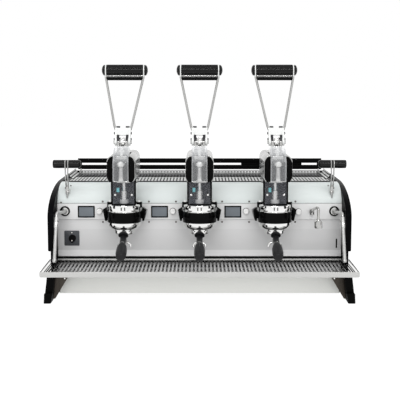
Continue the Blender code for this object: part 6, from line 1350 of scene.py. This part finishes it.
class ESPRESSO_OT_drip_tray(bpy.types.Operator):
    """Drip tray pan with its fascia, and the slotted drip grate"""

    bl_idname = "espresso.drip_tray"
    bl_label = "Drip tray and grate"

    def execute(self, context):
        t = context.scene.espresso_tray
        half, top, low, front, back, corner = t.tray_half, t.tray_top, t.tray_bottom, t.tray_front, -0.0873, 0.0060
        skin = fillet([(-half, top), (-half, low), (half, low), (half, top)], (0, corner, corner, 0), 6, False)
        pan = along_y(slab(folded(skin, -0.0020), front + 0.0012, back, 0.0003))
        face = fillet([(-half, top), (-half, low), (half, low), (half, top)], (0.0030, corner, corner, 0.0030), 6)
        fascia = along_y(slab(face, front, front + 0.0022, 0.0009, 3))
        back_rim = brick((-half + 0.0060, back - 0.0020, low + 0.0010), (half - 0.0060, back, 0.1284), 0.0006)
        inner, line = t.grate_half + 0.0003, 0.0052
        # The pan's finish is darker towards the rear: painted shade.
        make_piece("tray_pan", pan, "pan", replaces="drip_tray")
        make_piece("tray_rear_rim", back_rim, "fascia", replaces="drip_tray")
        make_piece("tray_fascia", fascia, "fascia", replaces="drip_tray")
        shelf = joined(*[brick((a, front + 0.0015, top - 0.0022), (b, back - 0.0005, top - 0.0002), 0.0003)
                         for a, b in (
                             (inner + 0.0030, inner + 0.0075), (inner + 0.0120, inner + 0.0150),
                             (inner + 0.0185, half - line)
                         )])
        well = brick((inner, front + 0.0015, top - 0.0042), (half - line, back - 0.0005, top - 0.0030), 0.0003)
        make_piece("tray_shelves", both_sides(shelf), "bright", replaces="drip_tray")
        outer_edge = brick(
            (half - line, front + 0.0022, top - 0.0030), (half - 0.0004, back - 0.0022, top - 0.0001), 0.0006
        )
        make_piece("tray_wells", both_sides(well), "gloss", replaces="drip_tray")
        make_piece("tray_edges", both_sides(outer_edge), "paint", replaces="drip_tray")

        gx, y0, y1, gz, deep = t.grate_half, -0.3277, -0.0896, 0.1255, 0.0016
        side_band, front_band, rear_band, bridge = 0.0060, 0.0050, 0.0170, 0.0080
        lap, under = 0.004, 0.00002
        width = (2 * gx - 2 * side_band) / t.grate_columns
        depth = (y1 - y0 - front_band - rear_band) / t.grate_rows
        across = -gx + side_band + (np.arange(t.grate_columns) + 0.5) * width
        rows = y0 + front_band + (np.arange(t.grate_rows) + 0.5) * depth
        cells = np.stack(np.meshgrid(across, rows), -1).reshape(-1, 2)
        slot = width * t.slot_share
        plate = slotted(cells, (width, depth), (slot, depth - bridge), slot * 0.48, gz - deep, gz, 0.0005)
        border = rim(
            fillet(block((-gx, y0), (gx, y1)), 0.001, 2), min(side_band, front_band) + 0.0001, gz - 0.0030, gz, 0.0004
        )
        rear_strip = brick((-gx + lap, y1 - rear_band, gz - deep), (gx - lap, y1 - lap, gz - under), 0.0)
        side_strip = brick((gx - side_band, y0 + lap, gz - deep), (gx - lap, y1 - lap, gz - under), 0.0)
        # The grate's finish is darker over its rear rows: painted shade.
        make_piece(
            "grate_plate", joined(plate, border, rear_strip, both_sides(side_strip)), "grate", "drip_grate",
            "drip_grate", crease=30.0
        )
        return {"FINISHED"}


class ESPRESSO_OT_cup_tray(bpy.types.Operator):
    """Slotted cup tray with curved ends, and the black slotted rail behind it"""

    bl_idname = "espresso.cup_tray"
    bl_label = "Cup tray and rail"

    def execute(self, context):
        t = context.scene.espresso_tray
        half, y0, y1, z0, z1, rear_top = t.cup_half, 0.0310, 0.3520, 0.3917, 0.3931, 0.4040
        bend, thick, middle = 0.0200, 0.0015, 0.1880
        flat = half - bend
        width = 2 * flat / t.cup_columns
        across = -flat + (np.arange(t.cup_columns) + 0.5) * width

        def floor(rows, share, bridge):
            """Slotted part of the floor between pairs of Y."""
            parts = []
            for a, b in rows:
                cells = np.column_stack((across, np.full(len(across), (a + b) / 2)))
                parts.append(slotted(
                    cells, (width, b - a), (width * share, b - a - bridge), width * share * 0.45, z0, z1, 0.0003
                ))
            return joined(*parts)

        make_piece(
            "cup_tray_sheet", floor([(y0 + 0.0020, middle)], 0.40, 0.0060), "yoke", replaces="cup_tray",
            crease=30.0
        )
        bounds = np.linspace(middle, y1 - 0.0015, t.cup_rows)
        make_piece("cup_tray_grid", floor(
            list(zip(bounds[:-1], bounds[1:])), 0.66, 0.0140
        ), "mesh", replaces="cup_tray",
                   crease=30.0)
        # Black sheet just under the slotted floor: painted shade seen through the slots.
        shade_sheet = brick((-flat, y0 + 0.004, z0 - 0.0020), (flat, y1 - 0.004, z0 - 0.0010), 0.0)
        lip = brick((-flat, y0, z0 + 0.0002), (flat, y0 + thick, 0.3951), 0.0004)
        gap = both_sides(brick((flat - 0.001, y1 - thick, z0 + 0.0010), (half - 0.0070, y1, rear_top), 0.0003))
        slats = []
        wall_front, lip_end, end_x = 0.1300, 0.4123, half - 0.0060
        centre = (end_x - bend, z0 + bend)
        curve = np.concatenate((arc(centre, (bend, bend), -90, 0, 8), [(end_x, lip_end)]))
        end = along_y(slab(folded(curve, -thick), wall_front, y1, 0.0002))
        for start, stop in ((-78, -58), (-44, -24), (-10, 2)):
            strip = arc(centre, (bend - thick - 0.0002,) * 2, start, stop, 4)
            slats.append(along_y(slab(folded(strip, -0.0010), wall_front + 0.006, y1 - 0.008, 0.0002)))
        make_piece(
            "cup_tray_shield", joined(shade_sheet, lip, gap, both_sides(end)), "paint", replaces="cup_tray",
        )
        lip_cells = np.column_stack((across, np.full(len(across), (z1 + rear_top) / 2)))
        rear = along_y(slotted(
            lip_cells, (width, rear_top - z0), (width * 0.28, 0.0050), width * 0.12, y1 - thick, y1, 0.0003
        ))
        make_piece(
            "cup_tray_lips", joined(rear, both_sides(joined(*slats))), "yoke", replaces="cup_tray",
            crease=30.0
        )

        rail, low, high, y, slot_low, slot_high = t.rail_half, 0.4108, 0.4542, 0.3300, 0.4283, 0.4360
        limits = (-1.0, -0.967, -0.573, -0.510, -0.031, 0.031, 0.341, 0.838, 0.963, 1.0)
        pieces = [
            brick((-rail, y - 0.0022, low), (rail, y + 0.0022, slot_low), 0.0010, 0.001),
            brick((-rail, y - 0.0022, slot_high), (rail, y + 0.0022, high), 0.0010, 0.001),
        ]
        for a, b in zip(limits[::2], limits[1::2]):
            pieces.append(brick(
                (a * rail, y - 0.0018, slot_low - 0.001), (b * rail, y + 0.0018, slot_high + 0.001), 0.0004, 0.0008
            ))
        make_piece("rail_bar", joined(*pieces), "paint", replaces="cup_rail")
        posts = [
            rod((share * rail, y, 0.3881), (share * rail, y, low + 0.004), 0.0028, 16)
            for share in (-0.975, -0.5417, 0.5417, 0.975)
        ]
        make_piece("rail_posts", joined(*posts), "chrome", replaces="cup_rail")
        return {"FINISHED"}


# ---------------------------------------------------------------- controls


class ESPRESSO_OT_controls(bpy.types.Operator):
    """Displays, round buttons, switch plate with its knob, and the sight slot"""

    bl_idname = "espresso.controls"
    bl_label = "Controls"

    def execute(self, context):
        k, face = context.scene.espresso_control, -context.scene.espresso_casing.control_face
        w, r, border, display_z, display_offset = k.display_half, k.display_rise, 0.0044, 0.2980, 0.1420
        for number, gx in enumerate(GROUP_X, 1):
            x = gx - display_offset
            bezel = rim(
                fillet(block((x - w, display_z - r), (x + w, display_z + r)), 0.0015, 4), border, face, face + 0.0028,
                0.0006
            )
            make_piece(f"display_frame_{number}", facing_front(bezel), "gloss", replaces=f"display_{number}")
            pane = fillet(
                block(
                    (x - w + border - 0.0002, display_z - r + border - 0.0002),
                    (x + w - border + 0.0002, display_z + r - border + 0.0002)
                ),
                0.001, 3
            )
            make_piece(
                f"display_glass_{number}", facing_front(slab(pane, face, face + 0.0012, 0.0003)), "display",
                replaces=f"display_{number}"
            )
        radius = k.button_radius
        button = facing_front(turned([
            (0.0, -0.0100), (0.0040, -0.0100), (0.0040, 0.0), (radius - 0.0005, 0.0), (radius, 0.0008),
            (radius, 0.0062),
            *arc((radius - 0.0034, 0.0062), (0.0034, 0.0036), 0, 80, 5)[1:], (radius * 0.40, 0.0092),
            (0.0, 0.0086)], 48))
        well = facing_front(turned(
            [(0.0045, 0.0), (radius + 0.0010, 0.0), (radius + 0.0010, 0.0006), (0.0045, 0.0008)], 48, closed=True
        ))
        proud, brew_offset, brew_z, hot_x, hot_z = 0.0042, 0.0950, 0.3000, 0.3505, 0.2980
        for number, gx in enumerate(GROUP_X, 1):
            x, name = gx - brew_offset, f"brew_button_{number}"
            make_piece(f"brew_button_cap_{number}", moved(button, x, -face - proud, brew_z), "pale", name, name)
            make_piece(f"button_bezel_{number}", moved(well, x, -face, brew_z), "gloss")
        make_piece(
            "hot_water_button_cap", moved(button, hot_x, -face - proud, hot_z), "pale", "hot_water_button",
            "hot_water_button"
        )
        make_piece("button_bezel_hot", moved(well, hot_x, -face, hot_z), "gloss")

        x, z, side, front = -0.4550, 0.2025, k.switch_half, -context.scene.espresso_casing.face
        plate = facing_front(slab(
            fillet(block((x - side, z - side), (x + side, z + side)), 0.004, 4), front, front + 0.0024, 0.0008
        ))
        make_piece("switch_plate", plate, "switch")
        mark = facing_front(turned(disc_profile(0.0020, 0.0005), 16))
        make_piece("switch_mark", moved(mark, x + 0.0002, -front - 0.0023, z + 0.0200), "sleeve")
        knob_x = JOINTS["power_switch_turn"]["pos_m"][0]
        knob = turned(
            [(0.0, 0.0), (0.0130, 0.0), (0.0130, 0.0012), (0.0120, 0.0105), (0.0108, 0.0120), (0.0, 0.0120)], 48
        )
        bar = slab(fillet(block((-0.0042, -0.0150), (0.0042, 0.0150)), 0.0038, 4), 0.0090, 0.0160, 0.0014)
        make_piece(
            "switch_knob", moved(facing_front(joined(knob, bar)), knob_x, -front - 0.0028, z), "gloss",
            "power_switch_knob", "power_switch_knob"
        )
        make_piece("knob_mark", moved(mark, knob_x, -front - 0.0187, z - 0.0060), "sleeve", "power_switch_knob")
        sight = slab(
            fillet(block((0.4855, 0.1663), (0.4905, 0.2006)), 0.0024, 5), front - 0.0002, front + 0.0010, 0.0003
        )
        make_piece("sight_slot", facing_front(sight), "gloss")
        return {"FINISHED"}


class ESPRESSO_OT_steam_wands(bpy.types.Operator):
    """Steam wand with its ball, ring, sleeve and tip on each side"""

    bl_idname = "espresso.steam_wands"
    bl_label = "Steam wands"

    def execute(self, context):
        k = context.scene.espresso_control
        x, ball_y, z = 0.478, -0.099, 0.300
        top, tip = np.array((0.4938, -0.1940, 0.2880)), np.array((0.4972, -0.2350, 0.1412))
        path = fillet([(x, ball_y, z), (x, -0.115, z), (0.4915, -0.178, 0.3060), (0.4936, -0.1905, 0.3020), top, tip],
                      (0.0, 0.010, 0.012, 0.010, 0.012, 0.0), 7, False)
        pipe = tube(path, k.wand_radius, 24, (1.0, 0.0, 0.0), 0.0006)
        ball = moved(turned(arc((0.0, 0.0), (0.0110, 0.0110), -90, 90, 16), 40), x, ball_y, z)
        ring = turned(
            [(0.0148, 0.0), (0.0176, 0.0), (0.0182, 0.0010), (0.0176, 0.0042), (0.0160, 0.0050), (0.0148, 0.0042)],
            56, closed=True
        )
        dish = turned(
            [(0.0100, 0.0), (0.0150, 0.0), (0.0150, 0.0020), (0.0128, 0.0066), (0.0110, 0.0072), (0.0100, 0.0060)],
            48, closed=True
        )
        face = context.scene.espresso_casing.control_face
        fall = (tip - top) / np.linalg.norm(tip - top)
        nozzle = aimed(turned(
            [(0.0, -0.0020), (0.0055, -0.0020), (0.0070, 0.0010), (0.0070, 0.0060), (0.0045, 0.0112), (0.0, 0.0115)],
            32
        ),
                       fall, tip - fall * 0.0110)
        r = k.wand_radius
        sleeve = aimed(turned(
            [
                (r, 0.0), (r + 0.0010, 0.0), (r + 0.0018, 0.0015), (r + 0.0018, 0.0350), (r + 0.0010, 0.0360),
                (r, 0.0360)
            ],
            32, closed=True
        ),
                       fall, top - fall * 0.0040)
        for side, _, turn in HANDED:
            body = f"steam_wand_{side}"
            make_piece(f"wand_pipe_{side}", turn(joined(pipe, ball, nozzle)), "satin", body, body)
            make_piece(f"wand_sleeve_{side}", turn(sleeve), "bright", body, body)
            make_piece(f"wand_socket_{side}", turn(moved(facing_front(dish), x, face, z)), "chrome")
            make_piece(f"socket_ring_{side}", turn(moved(facing_front(ring), x, face, z)), "gloss")
        return {"FINISHED"}


class ESPRESSO_OT_hot_water(bpy.types.Operator):
    """Hot water spout with its flange and bell-shaped nozzle"""

    bl_idname = "espresso.hot_water"
    bl_label = "Hot water spout"

    def execute(self, context):
        x, y, z = JOINTS["hot_water_swivel"]["pos_m"]
        fall_x, fall_y = 0.4045, -0.2390
        path = fillet([
            (x, y, z), (x, -0.1467, 0.314), (0.40125, -0.2270, 0.3300), (fall_x, fall_y, 0.3260),
            (fall_x, fall_y, 0.2895)
        ],
                      (0.0, 0.012, 0.010, 0.010, 0.0), 8, False)
        pipe = tube(path, 0.0050, 22, (1.0, 0.0, 0.0), 0.0005)
        swivel = moved(
            turned(
                [
                    (0.0, -0.0100), (0.0070, -0.0100), (0.0080, -0.0090), (0.0080, 0.0090), (0.0070, 0.0100),
                    (0.0, 0.0100)
                ],
                32
            ),
            x, y, z
        )
        bell = moved(turned([(
            0.0048, 0.2920
        ), (0.0068, 0.2920), (0.0075, 0.2905), (0.0080, 0.2870), (0.0100, 0.2845), (0.0128, 0.2825), (0.0135, 0.2790),
                             (0.0135, 0.2640), (0.0126, 0.2612), (0.0105, 0.2605), (0.0095, 0.2620), (0.0095, 0.2760),
                             (0.0048, 0.2790)], 44, closed=True), fall_x, fall_y)
        make_piece("spout_pipe", joined(pipe, swivel, bell), "arm", "hot_water_spout", "hot_water_spout")
        flange = facing_front(turned(
            [(0.0040, 0.0), (0.0092, 0.0), (0.0092, 0.0016), (0.0084, 0.0026), (0.0040, 0.0026)], 40, closed=True
        ))
        make_piece("spout_flange", moved(flange, x, context.scene.espresso_casing.control_face, z), "chrome")
        return {"FINISHED"}


class ESPRESSO_OT_steam_levers(bpy.types.Operator):
    """Steam levers with black bar grips, and the brackets that carry them"""

    bl_idname = "espresso.steam_levers"
    bl_label = "Steam levers"

    def execute(self, context):
        k = context.scene.espresso_control
        _, y, z = JOINTS["steam_lever_pivot_right"]["pos_m"]
        x, grip_y, grip_z = abs(JOINTS["steam_lever_pivot_right"]["pos_m"][0]), -0.0835, 0.4670
        hub = rod((-0.0040, y, z), (0.0040, y, z), 0.0048, 28, 0.0008)
        pin = rod((-0.0070, y, z), (0.0070, y, z), 0.0024, 20, 0.0005)
        clevis = loft([np.column_stack((fillet(block((-a, y - 0.0045), (a, y + 0.0045)), 0.002, 3), np.full(16, h)))
                       for a, h in (
                           (0.0036, z - 0.006), (0.0042, z - 0.002), (0.0050, z + 0.0200), (0.0044, z + 0.0230)
                       )])
        tail = tube(
            [(0, y, z), (0.0004, y - 0.0012, z - 0.0100), (0.0008, y - 0.003, z - 0.0235)], (0.0042, 0.0034, 0.0016),
            20, (1, 0, 0), 0.0006
        )
        line = fillet(
            [
                (0.0036, y, z + 0.010), (0.0042, grip_y - 0.0168, 0.4298), (0.0050, grip_y - 0.0168, 0.4740),
                (0.0050, grip_y - 0.0100, 0.4806), (0.0050, grip_y, 0.4806)
            ],
            0.008, 6, False
        )
        rods = both_sides(tube(line, 0.0023, 16, (1, 0, 0), 0.0005))
        metal = joined(hub, pin, clevis, tail, rods)
        r, half, end = k.grip_radius, k.grip_half, 0.0090
        profile = np.concatenate((
            [(0.0, -half)], arc((r - end, -half + end), (end, end), -90, 0, 6),
            [(r, -half + end + 0.002), (r, half - 0.006)],
            arc((r - 0.004, half - 0.004), (0.004, 0.004), 0, 90, 6), [(0.0, half)]))
        grip = moved(along_x(turned(distinct(profile), 48)), 0, grip_y, grip_z)
        ears = both_sides(along_x(slab(
            fillet(block((y - 0.006, z - 0.0065), (y + 0.040, z + 0.0065)), 0.003, 4), 0.0052, 0.0064, 0.0004
        )))
        base = brick((-0.0064, y + 0.012, z - 0.0065), (0.0064, y + 0.040, z - 0.0035), 0.0006, 0.002)
        studs = [
            moved(facing_front(screw_head(0.0026, 0.0016)), dx, y - 0.0010 + dy, dz)
            for dx, dy, dz in ((0.0085, 0.0330, z + 0.0175), (-0.0100, 0.0230, z + 0.0100))
        ]
        for side, sign, turn in reversed(HANDED):
            body = f"steam_lever_{side}"
            make_piece(f"lever_rods_{side}", moved(turn(metal), sign * x), "arm", body, body)
            make_piece(f"bar_grip_{side}", moved(turn(grip), sign * x), "grip", body, f"steam_grip_{side}")
            make_piece(f"lever_bracket_{side}", moved(turn(joined(ears, base)), sign * x), "satin")
            make_piece(f"bracket_screws_{side}", moved(mirrored(turn(joined(*studs))), sign * x), "screw")
        return {"FINISHED"}


class ESPRESSO_OT_inner_parts(bpy.types.Operator):
    """Finishes on the base frame and the boiler, which keep their CAD shape"""

    bl_idname = "espresso.inner_parts"
    bl_label = "Frame and boiler finishes"

    def execute(self, context):
        coat_node("base_frame", "frame")
        coat_node("steam_boiler", "brass")
        return {"FINISHED"}


# ---------------------------------------------------------------- stage


class ESPRESSO_OT_stage(bpy.types.Operator):
    """White floor, soft lamps, dark cards for the chrome, white room and the camera"""

    bl_idname = "espresso.stage"
    bl_label = "Stage"

    def execute(self, context):
        s = context.scene.espresso_stage
        scene = context.scene
        scene.view_settings.view_transform = "Standard"

        def flat(name, corners, material):
            """Four-cornered stage sheet."""
            mesh = bpy.data.meshes.new(name)
            mesh.from_pydata(corners, [], [(0, 1, 2, 3)])
            mesh.materials.append(material)
            sheet = bpy.data.objects.new(name, mesh)
            scene.collection.objects.link(sheet)
            return sheet

        def any_of(nodes, links, outputs):
            """Largest of several 0 or 1 values."""
            value = outputs[0]
            for other in outputs[1:]:
                node = nodes.new("ShaderNodeMath")
                node.operation = "MAXIMUM"
                links.new(value, node.inputs[0])
                links.new(other, node.inputs[1])
                value = node.outputs[0]
            return value

        material, tree, shader = new_material("white_floor")
        tree.nodes.remove(shader)
        bounce = tree.nodes.new("ShaderNodeEmission")
        bounce.inputs["Strength"].default_value = s.floor_bounce
        shadow = tree.nodes.new("ShaderNodeBsdfDiffuse")
        shadow.inputs["Color"].default_value = (s.floor_shadow,) * 3 + (1.0,)
        glow = tree.nodes.new("ShaderNodeEmission")
        glow.inputs["Strength"].default_value = s.floor_glow
        both = tree.nodes.new("ShaderNodeAddShader")
        path = tree.nodes.new("ShaderNodeLightPath")
        mix = tree.nodes.new("ShaderNodeMixShader")
        tree.links.new(shadow.outputs[0], both.inputs[0])
        tree.links.new(glow.outputs[0], both.inputs[1])
        tree.links.new(path.outputs["Is Camera Ray"], mix.inputs[0])
        tree.links.new(bounce.outputs[0], mix.inputs[1])
        tree.links.new(both.outputs[0], mix.inputs[2])
        output = next(node for node in tree.nodes if node.type == "OUTPUT_MATERIAL")
        tree.links.new(mix.outputs[0], output.inputs["Surface"])
        flat("white_floor", [(-12, -12, 0), (12, -12, 0), (12, 12, 0), (-12, 12, 0)], material)

        card, tree, shader = new_material("dark_card")
        shader.inputs["Base Color"].default_value = (0.015, 0.015, 0.015, 1.0)
        shader.inputs["Roughness"].default_value = 1.0
        shader.inputs["Specular IOR Level"].default_value = 0.0
        for name, azimuth, distance, width, high in (
            ("left_card", -s.card_azimuth, 3.0, s.card_width, 2.6),
            ("right_card", s.card_azimuth, 3.0, s.card_width, 2.6),
            ("rear_left_card", -s.rear_azimuth, 3.2, 1.2, 3.0), ("rear_right_card", s.rear_azimuth, 3.2, 1.2, 3.0),
        ):
            middle = np.array((math.sin(azimuth), -math.cos(azimuth))) * distance
            side = np.array((math.cos(azimuth), math.sin(azimuth))) * width / 2
            corners = [
                (*(middle - side), 0.0), (*(middle + side), 0.0), (*(middle + side), high), (*(middle - side), high)
            ]
            sheet = flat(name, corners, card)
            sheet.visible_camera = sheet.visible_shadow = sheet.visible_diffuse = sheet.visible_transmission = False

        world = bpy.data.worlds.new("soft_room")
        scene.world = world
        world.use_nodes = True
        nodes, links = world.node_tree.nodes, world.node_tree.links
        nodes.clear()
        out = nodes.new("ShaderNodeOutputWorld")
        room, white = (nodes.new("ShaderNodeBackground") for _ in range(2))
        for node, strength in ((room, s.ambient), (white, 1.0)):
            node.inputs["Color"].default_value = (1, 1, 1, 1)
            node.inputs["Strength"].default_value = strength
        path = nodes.new("ShaderNodeLightPath")
        blend = nodes.new("ShaderNodeMixShader")
        seen = any_of(nodes, links, [path.outputs[f"Is {ray} Ray"] for ray in ("Camera", "Glossy", "Transmission")])
        links.new(seen, blend.inputs[0])
        links.new(room.outputs[0], blend.inputs[1])
        links.new(white.outputs[0], blend.inputs[2])
        links.new(blend.outputs[0], out.inputs["Surface"])

        def lamp(name, place, aim, size, power, mirrored_in_gloss):
            """Soft rectangular lamp pointing at a spot."""
            data = bpy.data.lights.new(name, "AREA")
            data.shape, data.size, data.size_y, data.energy = "RECTANGLE", size[0], size[1], power
            item = bpy.data.objects.new(name, data)
            scene.collection.objects.link(item)
            away = np.array(place) - np.array(aim)
            item.location = place
            item.rotation_euler = (
                math.atan2(math.hypot(away[0], away[1]), away[2]), 0.0, math.atan2(away[1], away[0]) + math.pi / 2)
            item.visible_glossy = mirrored_in_gloss

        lamp("front_lamp", (0.0, -4.4, 0.95), (0, 0, 0.3), (4.0, 1.7), s.key, False)
        lamp("top_lamp", (-0.3, -1.0, 3.0), (0, 0, 0.2), (2.6, 1.2), s.top, False)
        lamp("strip_lamp", (0.0, -4.0, 2.7), (0, 0, 0.4), (3.4, 0.14), s.strip, True)

        camera = bpy.data.cameras.new("camera")
        camera.lens = s.lens
        camera.sensor_width = 36.0
        camera.clip_end = 60.0
        item = bpy.data.objects.new("camera", camera)
        item.location = (s.camera_x, s.camera_y, s.camera_z)
        item.rotation_euler = (math.pi / 2 - s.pitch, 0.0, 0.0)
        scene.collection.objects.link(item)
        scene.camera = item
        return {"FINISHED"}


SETTINGS = (
    ("espresso_group", GroupSizes), ("espresso_housing", HousingSizes), ("espresso_lever", LeverSizes),
    ("espresso_handle", HandleSizes), ("espresso_casing", CasingSizes), ("espresso_tray", TraySizes),
    ("espresso_control", ControlSizes), ("espresso_leg", LegSizes), ("espresso_finish", Finishes),
    ("espresso_stage", StageSettings),
)
MAKERS = (
    ESPRESSO_OT_stage, ESPRESSO_OT_inner_parts, ESPRESSO_OT_leg_frames, ESPRESSO_OT_drip_tray,
    ESPRESSO_OT_front_panels,
    ESPRESSO_OT_side_panels, ESPRESSO_OT_cup_tray, ESPRESSO_OT_controls, ESPRESSO_OT_steam_wands,
    ESPRESSO_OT_hot_water,
    ESPRESSO_OT_steam_levers, ESPRESSO_OT_group_castings, ESPRESSO_OT_housings, ESPRESSO_OT_nose_covers,
    ESPRESSO_OT_pistons, ESPRESSO_OT_lever_forks, ESPRESSO_OT_lever_grips, ESPRESSO_OT_portafilters,
)


class ESPRESSO_PT_pieces(bpy.types.Panel):
    """Sizes, colours and pieces of the lever espresso machine"""

    bl_idname = "ESPRESSO_PT_pieces"
    bl_label = "Espresso machine"
    bl_space_type = "VIEW_3D"
    bl_region_type = "UI"
    bl_category = "Espresso"

    def draw(self, context):
        for name, group in SETTINGS:
            box = self.layout.box()
            box.label(text=group.__doc__)
            for field in group.__annotations__:
                box.prop(getattr(context.scene, name), field)
        for maker in MAKERS:
            self.layout.operator(maker.bl_idname)


def register():
    """Registers the settings, the operators and the panel."""
    for name, group in SETTINGS:
        bpy.utils.register_class(group)
        setattr(bpy.types.Scene, name, PointerProperty(type=group))
    for maker in (*MAKERS, ESPRESSO_PT_pieces):
        bpy.utils.register_class(maker)


def unregister():
    """Takes everything that register added away again."""
    for maker in (ESPRESSO_PT_pieces, *reversed(MAKERS)):
        bpy.utils.unregister_class(maker)
    for name, group in reversed(SETTINGS):
        delattr(bpy.types.Scene, name)
        bpy.utils.unregister_class(group)


def main():
    """Makes every piece in order."""
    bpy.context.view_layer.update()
    register()
    make_finishes(bpy.context.scene.espresso_finish)
    for maker in MAKERS:
        area, name = maker.bl_idname.split(".")
        if getattr(getattr(bpy.ops, area), name)() != {"FINISHED"}:
            raise RuntimeError(f"{maker.bl_label} did not finish")


if __name__ == "__main__":
    main()
